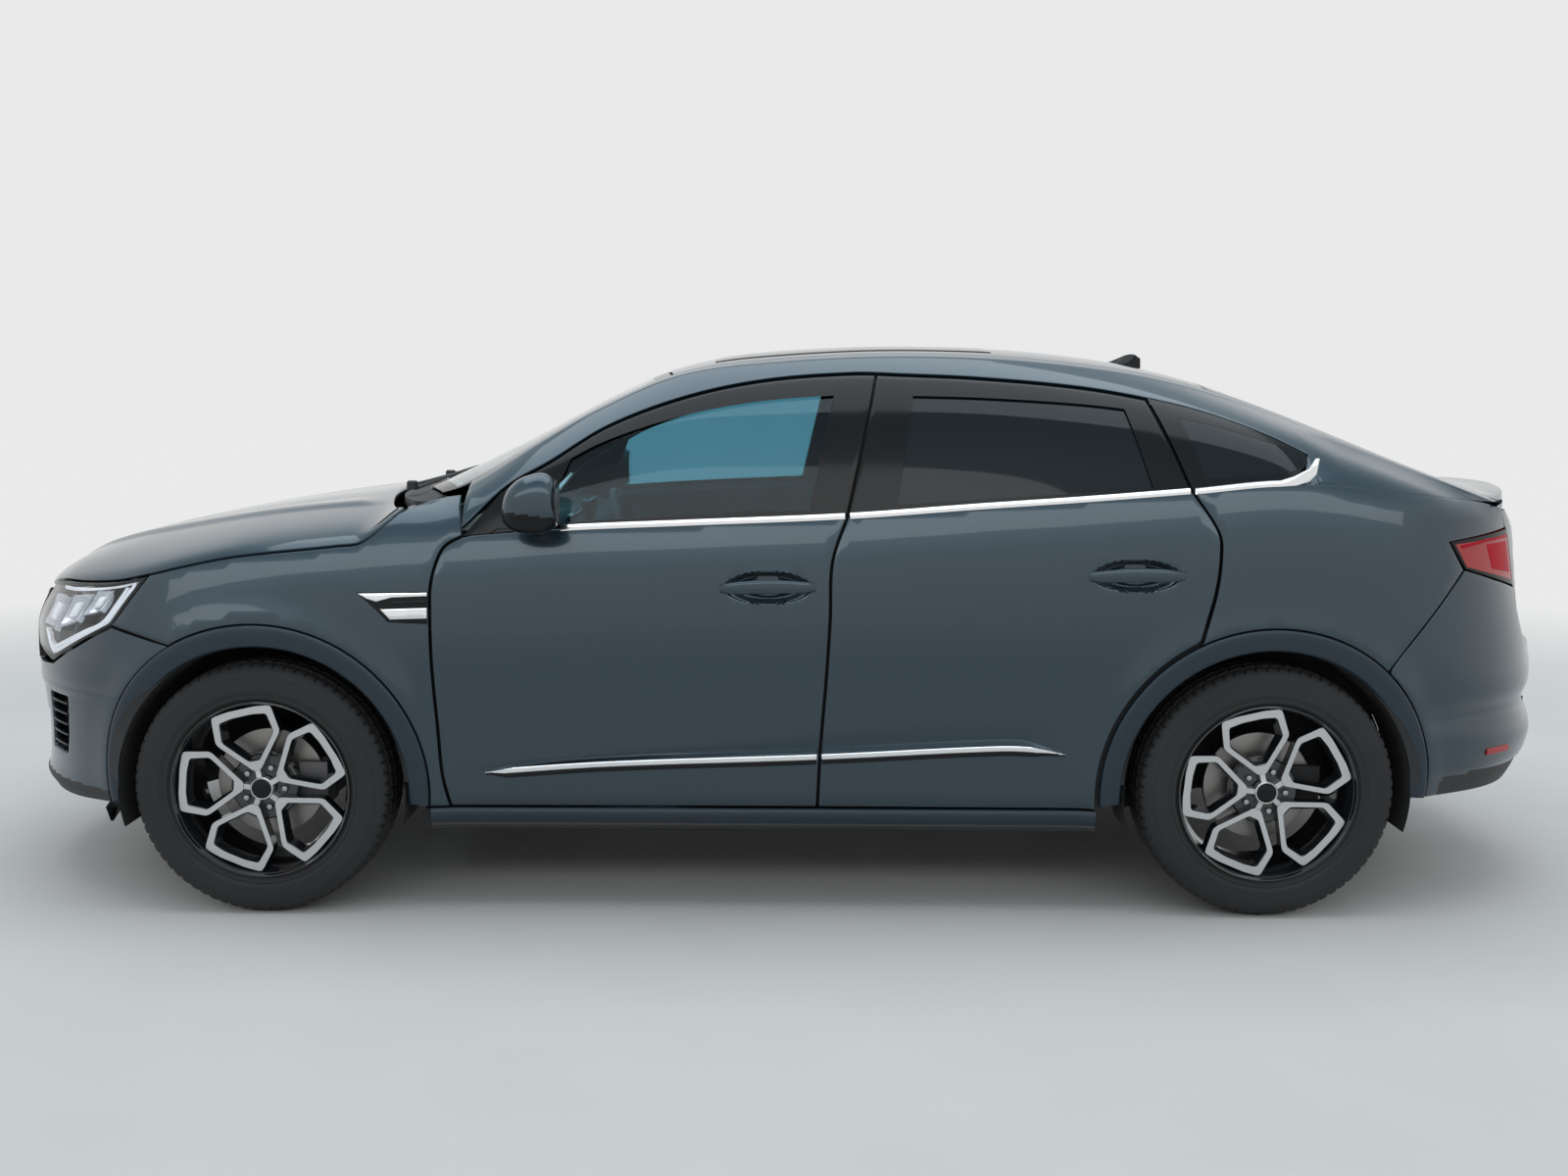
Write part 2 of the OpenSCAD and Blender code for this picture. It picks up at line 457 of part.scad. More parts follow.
// Left-hand lamp on an end of the car; edges run in [x, z]
module lamp_sheet(ahead, bottom, top, front, rear, us, vs, depth) {
    nets = [for (d = [0, depth]) [for (v = vs) [for (u = us)
        let(q = turned(ahead, patch(bottom, top, front, rear, u, v))) end_point(ahead, -q[0], q[1], d)]]];
    sheet(nets[0], nets[1]);
}
lamp_nose = end_point(true, -30.6, pz(760))[0];
function lamp_foot(u) = chain([[lamp_nose + 14, pz(690)], [px(-2064), pz(660)], [px(-1945), pz(725)],
    lamp_rear_low + [0, 3]], u);
function lamp_head(u) = let(x = mix(px(-2100), px(-1718), u)) [x, bonnet_edge_z(x) - shut_gap - seat_gap];
function lamp_lead(v) = path([lamp_foot(0), [lamp_nose, pz(770)], lamp_head(0)], v);
module headlamps() {
    color(lens) both_sides() lamp_sheet(true, function(u) lamp_foot(u), function(u) lamp_head(u),
        function(v) lamp_lead(v), function(v) mix(lamp_foot(1), lamp_head(1), v),
        [0, 0.166, 0.333, 0.5, 0.667, 0.83, 1], steps(4), lamp_t);
}

// Tail
function tail_arch(a) = turned(false, arch_at(rear_x, panel_r, a));
tail_low = pz(305);
tail_top = pz(704);
tail_arch_low = arch_angle(trim_r, pz(322));
function rear_bottom(u) = mix([0, tail_low], tail_arch(tail_arch_low), u);
function rear_top_edge(u) = chain([[0, tail_top], [20, tail_top], end_spot(580, tail_top),
    turned(false, pxz([2058, 880])), turned(false, pxz([1950, 914])),
    turned(false, lamp_front_low + [5, -2])], u);
// Turn angle at the tail where the skin is y out from the middle
function end_spot(y, z) = [asin(pow(min(y / half_w, 1), tail_power / 2)), z];
function rear_side(v) = let(a = quarter_arch_end - 0.5)
    v < 0.6 ? tail_arch(mix(tail_arch_low, a, v / 0.6))
    : turned(false, mix(arch_at(rear_x, panel_r, a), lamp_front_low + [5, -2], (v - 0.6) / 0.4));
module rear_bumper() {
    color(paint) end_sheet(false, function(u) rear_bottom(u), function(u) rear_top_edge(u),
        function(v) rear_side(v),
        [0, 0.1, 0.2, 0.3, 0.4, 0.5, 0.6, 0.7, 0.8, 0.9, 1], [0, 0.12, 0.25, 0.4, 0.6, 0.8, 1], skin_t * 2);
}
tail_lamp_t = 34;
function tail_foot(u) = chain([lamp_front_low + [6, 3], pxz([1950, 919]), pxz([2056, 886])], u);
function tail_head(u) = mix(lamp_tip + [5, -1], pxz([2030, 1046]), u);
module tail_lamps() {
    color(red_lens) both_sides() lamp_sheet(false, function(u) tail_foot(u), function(u) tail_head(u),
        function(v) mix(tail_foot(0), tail_head(0), v), function(v) mix(tail_foot(1), tail_head(1), v),
        steps(6), steps(3), tail_lamp_t);
}

// Trims and liners of the wheel arches
module arch_trim(cx, from, to) {
    angles = [for (t = steps(16)) mix(from, to, t)];
    radii = [arch_r, arch_r + 8, trim_r - 6, trim_r];
    proud = [-6, 3, 3, 0];
    nets = [for (k = [0, 1]) [for (i = [0:3]) [for (a = angles)
        let(p = arch_at(cx, radii[i], a)) side_point(p, k == 0 ? -proud[i] : 30)]]];
    sheet(nets[0], nets[1]);
}
module arch_trims() {
    color(paint) both_sides() arch_trim(front_x, bumper_side_low, fender_low);
    color(paint) both_sides() arch_trim(rear_x, arch_low - 1, tail_arch_low);
}
liner_t = 4;
module wheel_liner(cx, wide) {
    r = arch_r - 2.6;
    arc = [for (t = steps(20)) mix(0, 180, t)];
    translate([cx, wide[1], tyre_r]) rotate([90, 0, 0]) linear_extrude(wide[1] - wide[0])
        polygon(concat([for (a = arc) r * [cos(a), sin(a)]],
            [for (i = [20:-1:0]) (r - liner_t) * [cos(arc[i]), sin(arc[i])]]));
}
// Width of a liner, outside and inside the wheel's centre
liner_out = wheel_y + 31;
liner_in = wheel_y - 91;
module wheel_liners() color(dark) {
    both_sides() {
        wheel_liner(front_x, [-liner_out, -liner_in]);
        wheel_liner(rear_x, [-liner_out, -liner_in]);
    }
}

// Bonnet and tailgate
bonnet_lead = px(-2262);
function bonnet_rear(s) = px(-1180 + 148 * s * s);
module bonnet_shell() {
    us = [0, 0.03, 0.08, 0.16, 0.26, 0.38, 0.5, 0.62, 0.74, 0.86, 0.9, 0.95, 1];
    ss = [-1, -0.985, -0.9, -0.7, -0.45, -0.2, 0, 0.2, 0.45, 0.7, 0.9, 0.985, 1];
    function at(u, s) = let(x = mix(bonnet_lead, bonnet_rear(s), u)) [x, s * bonnet_w(x), bonnet_top(x, s)];
    outer = [for (u = us) [for (s = ss) at(u, s)]];
    inner = [for (i = [0:len(us) - 1]) [for (j = [0:len(ss) - 1]) let(edge = i == 0 || i == len(us) - 1)
        abs(ss[j]) > 0.98 ? outer[i][j] - [0, sign(ss[j]) * skin_t * 2, abs(ss[j]) < 1 ? skin_t : 0] :
        outer[i][j] - [i == 0 ? -skin_t : 0, 0, edge ? skin_t : 24]]];
    sheet(outer, inner, [], true);
}
gate_xs = [for (x = [1200, 1246, 1340, 1450, 1560, 1670, 1780, 1838, 1930, 2060, 2150, 2195]) px(x)];
gate_back = [0, 0, 0, 0, 0, 0, 0, 0, 0.3, 0.65, 0.9, 1];
gate_ss = [-1, -0.9, -0.6, -0.3, 0, 0.3, 0.6, 0.9, 1];
gate_sweep = 165;
gate_zs = [for (z = [1046, 990, 900, 800, 712]) pz(z)];
gate_half = py(560);
function gate_y(x, s) = s * (rail_w(x) * roof_share - gap - 2);
function gate_top(i, s) = let(x = gate_xs[i] - gate_back[i] * gate_sweep * s * s, y = gate_y(x, s))
    [x, y, cap_z(x, y)];
function gate_face(z, s) = let(y = s * gate_half, q = end_spot(abs(y) + 0.01, z))
    [end_point(false, q[0], z)[0] - 30, y, z];
module tailgate_shell() {
    last = len(gate_xs) - 1;
    lip = [for (s = gate_ss) gate_top(last, s) - [6, 0, 42]];
    under = [for (s = gate_ss) let(p = gate_top(last, s))
        [gate_face(gate_zs[0], s)[0], mix(p[1], s * gate_half, 0.5), p[2] - 52]];
    outer = concat([for (i = [0:last]) [for (s = gate_ss) gate_top(i, s)]], [lip, under],
        [for (z = gate_zs) [for (s = gate_ss) gate_face(z, s)]]);
    wall = 46;
    function deck_in(i, j) = let(p = outer[i][j], e = gate_face(gate_zs[0], gate_ss[j])[0] - wall)
        [min(p[0], e), p[1], i == 0 ? p[2] - skin_t : p[2] - frame_t];
    function face_in(p) = [p[0] - wall, p[1], p[2]];
    inner = concat([for (i = [0:last]) [for (j = [0:8]) deck_in(i, j)]],
        [[for (j = [0:8]) [gate_face(gate_zs[0], gate_ss[j])[0] - wall, outer[last][j][1],
            outer[last][j][2] - 40]],
        [for (p = under) face_in(p)]], [for (z = gate_zs) [for (s = gate_ss) face_in(gate_face(z, s))]]);
    sheet(outer, inner, [[1, 6, 1, 6]], true);
}
module tailgate_glass() {
    pane = [for (d = [1, 1 + glass_t]) [for (i = [1:7]) [for (j = [1:7])
        let(x = gate_xs[i] + (i == 1 ? seat_gap : i == 7 ? -seat_gap : 0), y = gate_y(x, gate_ss[j]))
        [x, y - (abs(gate_ss[j]) == 0.9 ? sign(gate_ss[j]) * seat_gap : 0), cap_z(x, y) - d]]]];
    color(clear) sheet(pane[0], pane[1], [], true);
}

// Door glass and mirrors
module door_glass(belt_from, belt_to, top_from, top_to, cols, window) {
    function at(u, v) = let(xb = mix(belt_from, belt_to, u), xt = mix(top_from, top_to, u))
        mix([xb, belt_z(xb)], [xt, curve(dlo_curve, xt) - gap - 2], v);
    play = 0.0006;
    us = [for (k = [window[0]:window[1] + 1])
        cols[k] + (k == window[0] ? play : k == window[1] + 1 ? -play : 0)];
    vs = [0.0615, 0.32, 0.6, 0.8585];
    set_in = frame_t / 2 - glass_t / 2;
    nets = [for (d = [set_in, set_in + glass_t]) [for (v = vs) [for (u = us)
        side_point(at(u, v), d) + [d * 0.3 * (1 - 2 * u), 0, 0]]]];
    sheet(nets[0], nets[1]);
}
module front_glass() {
    color(clear) door_glass(front_edge(1)[0], middle_edge_front(1)[0], px(-770), middle_top[0] - gap,
        front_cols, [3, 8]);
}
module rear_glass() {
    color(clear) door_glass(middle_edge_rear(1)[0], rear_edge(1)[0], middle_top[0] + gap, rear_top[0] - gap,
        rear_cols, [3, 8]);
}
// Pull handle: a bar that stands off the skin and bends in to it at both ends
handle_reach = 124;
handle_out = 18;
handle_r = 9;
// Depth of the bar's ends below the skin, so that they stay in it at any height
handle_sink = 12;
module door_handle(middle) {
    function at(t) = pxz([middle[0] + handle_reach * t, middle[1] + 2 * t]);
    for (t = [-1, 0.5]) hull() for (k = [t, t + 0.5])
        translate(side_point(at(k), abs(k) == 1 ? handle_sink : -handle_out)) sphere(r = handle_r, $fn = 16);
    hull() for (k = [-0.5, 0.5]) translate(side_point(at(k), -handle_out)) sphere(r = handle_r, $fn = 16);
}
front_handle = [-47, 904];
rear_handle = [930, 940];
mirror_x = px(-665);
// Mirror shell: rounded corners as [along, out, up, radius] from the belt at its foot
mirror_corners = [[-30, 120, 48, 34], [-34, 112, 108, 34], [50, 118, 40, 26], [54, 112, 122, 28],
    [34, 66, 32, 24], [34, 62, 118, 26], [-16, 66, 62, 28]];
module door_mirror() {
    z = belt_z(mirror_x);
    y = side_w(mirror_x, z);
    color(paint) translate([mirror_x, -y, z]) {
        hull() for (c = mirror_corners) translate([c[0], -c[1], c[2]]) sphere(r = c[3], $fn = 20);
        translate([-30, -60, -6]) cube([60, 57.7, 40]);
    }
}

// Wheels: outward is -y on the left, built about the wheel's centre
spindle_r = 22;
hub_fit = 0.05;
king_in = 36;
hub_in = 18;
face_out = 78;
module tyre() {
    w = tyre_w / 2;
    groove = 7;
    bead = rim_r - 8 + seat_gap;
    half = [[bead, w - 15], [rim_r + 6, w - 9], [rim_r + 46, w], [tyre_r - 24, w - 6], [tyre_r - 9, w - 18],
        [tyre_r - 2, w - 44], [tyre_r - 2 - groove, w - 45], [tyre_r - 2 - groove, w - 53],
        [tyre_r - 1, w - 54],
        [tyre_r, w - 82], [tyre_r - groove, w - 83], [tyre_r - groove, w - 92], [tyre_r, w - 93]];
    n = len(half);
    color(dark) rotate([90, 0, 0]) rotate_extrude($fn = 96)
        polygon(concat(half, [for (i = [n - 1:-1:0]) [half[i][0], -half[i][1]]]));
}
// One loop of the wheel's face, along x: a six-sided ring whose outer end follows the rim.
// Half outlines as shares of the radius, from the hub outwards.
loop_outer = [[0.24, 0.07], [0.3, 0.14], [0.6, 0.333], [0.93, 0.342]];
loop_inner = [[0.3, 0.05], [0.42, 0.16], [0.6, 0.25], [0.77, 0.242], [0.86, 0.15]];
loop_turn = 31;
module loop_ring(r) {
    function ring(half) = concat([for (p = half) r * [p[0], -p[1]]],
        [for (i = [len(half) - 1:-1:0]) r * half[i]]);
    difference() {
        intersection() {
            polygon(ring(loop_outer));
            circle(r = r - 9, $fn = 72);
        }
        polygon(ring(loop_inner));
    }
}
// Wheel with hub and brake disc, turning on the spindle
module rim() {
    w = tyre_w / 2;
    color(steel) rotate([90, 0, 0]) {
        rotate_extrude($fn = 72) polygon([[rim_r - 20, 12 - w], [rim_r + 2, 2 - w], [rim_r + 2, 8 - w],
            [rim_r - 8, 14 - w], [rim_r - 8, w - 14], [rim_r + 2, w - 8], [rim_r + 2, w - 2],
            [rim_r - 14, w - 4],
            [rim_r - 20, w - 20]]);
        difference() {
            union() {
                translate([0, 0, face_out - 22]) linear_extrude(22) for (k = [0:loop_count - 1])
                    rotate(loop_turn + k * 360 / loop_count) loop_ring(rim_r);
                translate([0, 0, -hub_in]) cylinder(r = 66, h = hub_in + face_out - 4);
                translate([0, 0, -hub_in]) cylinder(r = disc_r, h = 20);
            }
            translate([0, 0, -hub_in - 1]) cylinder(r = spindle_r + hub_fit, h = hub_in + face_out - 30);
        }
    }
}
module wheel_at(x) {
    translate([x, -wheel_y, tyre_r]) children();
}
caliper_gap = 4;
module caliper() {
    // Straddles the disc behind the axle
    difference() {
        translate([disc_r - 62, hub_in - 46, -60]) cube([76, 78, 120]);
        translate([disc_r - 80, hub_in - 20 - caliper_gap, -80]) cube([82, 20 + 2 * caliper_gap, 160]);
    }
}
// Steering upright: turns on its pins in the arms, and carries the spindle and the caliper
pin_fit = 0.05;
upright_h = 116;
module knuckle() color(steel) {
    translate([0, king_in + 10, 0]) {
        cylinder(r = 17, h = 2 * upright_h, center = true);
        cylinder(r = 10, h = 2 * upright_h + 44, center = true);
    }
    rotate([90, 0, 0]) translate([0, 0, -king_in - 10])
        cylinder(r = spindle_r, h = king_in + 10 + face_out - 40);
    translate([0, 32, -20]) cube([disc_r - 20, 26, 40]);
    caliper();
}
module front_arm(z) {
    // One wishbone with an eye round the upright's pin
    y_eye = -wheel_y + king_in + 10;
    y_in = -tower_y;
    difference() {
        union() {
            translate([front_x, y_eye, z]) cylinder(r = 20, h = 18, center = true);
            translate([front_x - 22, y_eye, z - 9]) cube([44, y_in - y_eye, 18]);
        }
        translate([front_x, y_eye, z]) cylinder(r = 10 + pin_fit, h = 30, center = true);
    }
}
leg_y = py(380);
leg_w = 50;
// Half width of the front subframe
tower_y = py(452);
module front_subframe() color(dark) {
    both_sides() {
        front_arm(tyre_r + upright_h + 11);
        front_arm(tyre_r - upright_h - 11);
    }
    both_sides() translate([front_x - 70, -tower_y, tyre_r - upright_h - 26])
        cube([140, tower_y - leg_y - leg_w / 2 - seat_gap, 320]);
    translate([front_x - 60, -tower_y + 20, tyre_r - upright_h - 26]) cube([120, 2 * tower_y - 40, 40]);
}
// Trailing arm of the rear axle, forward to its bracket on the floor
beam_half = wheel_y - king_in - 60;
arm_w = 40;
arm_h = 50;
arm_y = beam_half - arm_w;
arm_z = tyre_r - 40;
arm_x = px(846);
module rear_axle() color(dark) {
    translate([rear_x - 40, -beam_half, tyre_r - 45]) cube([80, 2 * beam_half, 60]);
    both_sides() {
        translate([rear_x, -wheel_y, tyre_r]) {
            rotate([90, 0, 0]) translate([0, 0, -king_in - 80])
                cylinder(r = spindle_r, h = king_in + 80 + face_out - 40);
            translate([0, 32, -20]) cube([disc_r - 20, 26, 40]);
            translate([-36, 30, -34]) cube([72, 40, 68]);
            caliper();
        }
        translate([arm_x + seat_gap, -arm_y - arm_w / 2, arm_z]) cube([rear_x - arm_x - 10, arm_w, arm_h]);
        // Spring between beam and body
        translate([rear_x, -spring_y, tyre_r + 10])
            cylinder(r = 50, h = boot_z - floor_t - tyre_r - 10 - seat_gap);
    }
}

// Structure
floor_z = 262;
floor_t = 24;
floor_half = py(700);
boot_z = 600;
// Sills: an outer box under the doors and an inner one that the posts stand on
sill_low = 226;
sill_h = 58;
sill_top = 320;
sill_out = py(826);
sill_mid = py(740);
sill_in = py(640);
sill_from = px(-985);
sill_to = arm_x;
post_out = py(742);
post_in = py(690);
dash_x = px(-1000);
dash_half = py(690);
cowl_z = pz(1074);
// Boot floor and rear legs: beside the wheels they clear the tyres, behind them they follow the body
boot_half = wheel_y - tyre_w / 2 - 83.5;
rear_leg_w = 60;
rear_leg_y = boot_half - rear_leg_w / 2;
rear_leg_z = 500;
tail_half = py(590);
tail_leg_y = tail_half - rear_leg_w / 2;
boot_turn = rear_x + arch_r;
spring_y = boot_half - 160;
boot_step = px(930);
boot_end = px(2060);
// Chassis legs to the nose, and the beam across them
leg_z = 400;
leg_h = 90;
leg_end = px(-2050);
beam_x = px(-2085);
// Block from a point on the inside of a panel to a far corner, set just off the panel
module seat_block(p, q) {
    near = [for (k = [0:2]) p[k] + sign(q[k] - p[k]) * (k < 2 ? 0.15 : 0)];
    translate([for (k = [0:2]) min(near[k], q[k])]) cube([for (k = [0:2]) abs(near[k] - q[k])]);
}
lamp_seat = let(q = turned(true, patch(function(u) lamp_foot(u), function(u) lamp_head(u),
    function(v) lamp_lead(v), function(v) mix(lamp_foot(1), lamp_head(1), v), 0.5, 0.5)))
    end_point(true, -q[0], q[1], lamp_t);
bumper_seat = let(q = patch(function(u) rear_bottom(u), function(u) rear_top_edge(u),
    function(v) [0, mix(tail_low, tail_top, v)], function(v) rear_side(v), 0.3, 0.6))
    end_point(false, -q[0], q[1], skin_t * 2);
tail_seat = let(q = turned(false, patch(function(u) tail_foot(u), function(u) tail_head(u),
    function(v) mix(tail_foot(0), tail_head(0), v), function(v) mix(tail_foot(1), tail_head(1), v),
    0.5, 1 / 3)))
    end_point(false, -q[0], q[1], tail_lamp_t);
module floor_pan() color(dark) {
    both_sides() {
        translate([sill_from, -sill_out, sill_low]) cube([sill_to - sill_from, sill_out - sill_in, sill_h]);
        translate([sill_from, -sill_mid, sill_low])
            cube([sill_to - sill_from, sill_mid - sill_in, sill_top - sill_low]);
        // Bracket that the trailing arm seats on
        translate([arm_x - arm_w, -arm_y - arm_w / 2, floor_z + 8])
            cube([arm_w, arm_w, arm_z + arm_h - floor_z - 8]);
        // Chassis leg from the bulkhead to the nose
        translate([leg_end, -leg_y - leg_w / 2, leg_z]) cube([dash_x - leg_end + 10, leg_w, leg_h]);
        // Apron that carries the fender's inner edge
        translate([px(-1900), -leg_y - leg_w / 2, leg_z + leg_h - 10])
            cube([dash_x - px(-1900) + 10, 12, 300]);
        // Rear leg to the tail
        translate([rear_x - 330, -rear_leg_y, rear_leg_z]) cube([arch_r + 350, rear_leg_w, leg_h]);
        translate([boot_turn, -tail_leg_y, rear_leg_z]) cube([boot_end - boot_turn, rear_leg_w, leg_h]);
    }
    translate([px(-990), -floor_half, floor_z]) cube([px(940) - px(-990), 2 * floor_half, floor_t]);
    translate([boot_step, -boot_half, floor_z]) cube([30, 2 * boot_half, boot_z - floor_z]);
    translate([boot_step, -boot_half, boot_z - floor_t])
        cube([boot_turn + 20 - boot_step, 2 * boot_half, floor_t]);
    translate([boot_turn, -tail_half, boot_z - floor_t]) cube([boot_end - boot_turn, 2 * tail_half, floor_t]);
    translate([dash_x, -dash_half, floor_z]) cube([20, 2 * dash_half, cowl_z - floor_z - seat_gap]);
    translate([beam_x, -py(470), leg_z - 10]) cube([50, 2 * py(470), 100]);
    // Brackets to the lower intake, the headlamps, the rear bumper, the tail lamps and the wheel housings
    both_sides() {
        seat_block(end_point(true, -34 * 0.4, pz(450), 36), [px(-2060), -150, pz(400)]);
        seat_block(lamp_seat, [px(-1860), -leg_y - leg_w / 2 + 10, lamp_seat[2] - 60]);
        seat_block(bumper_seat, [boot_end, bumper_seat[1] + 60, bumper_seat[2] - 60]);
        seat_block(tail_seat, [tail_seat[0] - 40, -tail_leg_y, tail_seat[2] - 40]);
        translate([tail_seat[0] - 40, -tail_leg_y - 40, rear_leg_z + 40])
            cube([40, 50, tail_seat[2] - rear_leg_z - 40]);
        translate([rear_x - 40, -liner_in + 0.2, tyre_r + 368]) cube([80, liner_in - rear_leg_y, 50]);
        translate([rear_x - 40, -boot_half, boot_z - 10]) cube([80, 30, tyre_r + 418 - boot_z + 10]);
    }
    translate([px(2050), -tail_leg_y + 40, 480]) cube([40, 2 * tail_leg_y - 80, 130]);
    // Tunnel
    translate([sill_from, -130, floor_z]) cube([px(540) - sill_from, 260, 130]);
}
// Underside of the side rail, in its net of straight rows, above the middle post
function rail_under(x, v) = rail_row(x, v) + frame_t * [0, cos(90 * v), -sin(90 * v)];
post_top = px(232);
function rail_seat(v) = let(a = px(120), b = px(300))
    mix(rail_under(a, v), rail_under(b, v), (post_top - a) / (b - a));
post_head = let(a = rail_seat(0), b = rail_seat(0.28))
    [a[0], a[1], a[2] + 3 * (b[2] - a[2]) / (b[1] - a[1])];
fender_seat = side_point(beside(front_shut, 0.52, -gap), skin_t);
module pillars() color(dark) {
    both_sides() {
        // Front post
        translate([px(-930), -post_out, sill_top + seat_gap])
            cube([95, post_out - post_in, pz(1040) - sill_top]);
        // Middle post: straight, then leaning in with the glass
        hull() {
            translate([px(130), -post_out, sill_top + seat_gap]) cube([100, post_out - post_in, 20]);
            translate([px(130), -post_out, pz(1020)]) cube([100, post_out - post_in, 20]);
        }
        hull() {
            translate([px(130), -post_out, pz(1020)]) cube([100, post_out - post_in, 20]);
            translate([post_top, post_head[1] + 3, post_head[2] - 20]) cube([68, 24, 20]);
        }
        // Bracket behind the rear edge of the fender
        translate([fender_seat[0] - 4, fender_seat[1] + 0.25, fender_seat[2] - 5]) cube([4, 20, 5]);
        translate([fender_seat[0] - 26, fender_seat[1] + 6, fender_seat[2] - 40])
            cube([26, -post_in - 1 - fender_seat[1] - 6, 40]);
        translate([fender_seat[0] - 26, -post_out, fender_seat[2] - 40])
            cube([px(-920) - fender_seat[0] + 26, post_out - post_in - 1, 40]);
    }
}
module engine() color(steel) {
    translate([px(-1830), -330, 330]) cube([520, 660, 480]);
    translate([px(-1320), -150, 360]) cube([260, 300, 240]);
    translate([front_x - 40, -90, tyre_r - upright_h + 14 + seat_gap]) cube([80, 180, 160]);
    translate([px(-2090), -380, 400 + 90 + seat_gap]) cube([50, 760, 280]);
}
module exhaust() color(steel) {
    translate([px(-900), 180, 225]) rotate([0, 90, 0]) cylinder(r = 30, h = px(1480) - px(-900));
    translate([px(1480), 60, 180]) cube([220, 420, 120]);
    translate([px(300), 100, 185]) cube([420, 190, floor_z - seat_gap - 185]);
}

// Cabin
module dashboard() color(dark) {
    y = dash_half;
    top = pz(1046);
    translate([0, y, 0]) rotate([90, 0, 0]) linear_extrude(2 * y) polygon([[dash_x + 20 + seat_gap, 700],
        [dash_x + 20 + seat_gap, top - 30], [dash_x + 200, top], [dash_x + 330, top - 10],
        [dash_x + 400, top - 90],
        [dash_x + 370, top - 240], [dash_x + 300, 700]]);
    // Console
    translate([dash_x + 300, -110, floor_z + 130 + seat_gap]) cube([px(60) - dash_x - 300, 220, 200]);
    translate([dash_x + 300, -100, floor_z + 320]) cube([100, 200, 420]);
    // Steering column
    translate(wheel_hub) rotate([0, 90 - column_tilt, 0]) translate([0, 0, -column_l])
        cylinder(r = column_r, h = column_l + 20);
}
column_tilt = 24;
column_r = 16;
column_l = 240;
driver_y = -py(372);
wheel_hub = [dash_x + 560, driver_y, pz(968)];
module steering_wheel() {
    color(dark) translate(wheel_hub) rotate([0, 90 - column_tilt, 0]) {
        rotate_extrude($fn = 72) translate([steering_r - 16, 0]) circle(r = 15, $fn = 20);
        difference() {
            union() {
                cylinder(r = 62, h = 34, center = true);
                for (a = [90, 180, 270]) rotate(a) translate([40, -22, -8]) cube([steering_r - 62, 44, 16]);
            }
            translate([0, 0, -60]) cylinder(r = column_r + pin_fit, h = 82);
        }
    }
}
seat_x = px(-330);
module front_seat() {
    h = floor_z + floor_t + seat_gap;
    translate([seat_x, driver_y - seat_w / 2, 0]) {
        // Rails and base
        translate([90, 60, h]) cube([380, seat_w - 120, 160]);
        // Cushion and back
        translate([0, 0, h + 90]) rotate([0, -6, 0]) translate([20, 0, 40]) cube([500, seat_w, 130]);
        translate([470, 0, h + 240]) rotate([0, 22, 0]) translate([0, 20, 0]) cube([120, seat_w - 40, 560]);
        translate([690, seat_w / 2 - 130, h + 770]) rotate([0, 14, 0]) cube([80, 260, 170]);
        translate([700, seat_w / 2 - 40, h + 730]) cube([14, 80, 90]);
    }
}
module front_seats() {
    color(trim_cloth) both_sides() front_seat();
}
module rear_bench() color(trim_cloth) {
    y = boot_half - 5;
    x = px(560);
    z = floor_z + floor_t + seat_gap;
    translate([x, -y, z]) cube([boot_step - seat_gap - x, 2 * y, 250]);
    translate([0, y, 0]) rotate([90, 0, 0]) linear_extrude(2 * y) polygon([[px(880), boot_z + seat_gap],
        [px(1040), boot_z + seat_gap], [px(1190), pz(1130)], [px(1085), pz(1145)]]);
}
module cowl() {
    function row(v, s) = let(x = mix(bonnet_rear(s) + shut_gap, screen_foot(s) - seat_gap, v))
        cap_point(x, s, roof_half(x) - 4, 12);
    outer = [for (v = steps(2)) [for (k = steps(8)) row(v, 2 * k - 1)]];
    inner = [for (r = outer) [for (p = r) [p[0], p[1], cowl_z]]];
    color(dark) sheet(outer, inner, [], true);
}

// Hinges: pins and leaves on the body; the tubes on them belong to the doors, bonnet and tailgate
hinge_set = 66;
hinge_zs = [pz(600), pz(800)];
hinge_y = side_w(px(-880), pz(600)) - 22;
rear_hinge_y = side_w(px(200), pz(600)) - 22;
function turned_pairs(p) = [for (q = p) [q[1], q[0]]];
function edge_x(points, z) = curve(turned_pairs(points), z);
front_axis = [edge_x(front_shut, hinge_zs[1]) + gap + hinge_set, -hinge_y];
rear_axis = [edge_x(middle_shut, hinge_zs[1]) + gap + hinge_set, -rear_hinge_y];
tube_h = 40;
leaf_t = 8;
module body_leaf(axis) {
    for (z = hinge_zs) translate([axis[0], axis[1], z]) {
        cylinder(r = pin_r, h = tube_h + 2 * leaf_t, center = true);
        for (k = [-1, 1]) translate([0, 0, k * (tube_h + leaf_t + 1) / 2]) {
            cylinder(r = pin_r + 4, h = leaf_t, center = true);
            translate([-pin_r - 3, 0, -leaf_t / 2])
                cube([2 * pin_r + 6, -axis[1] - post_out - seat_gap, leaf_t]);
        }
    }
}
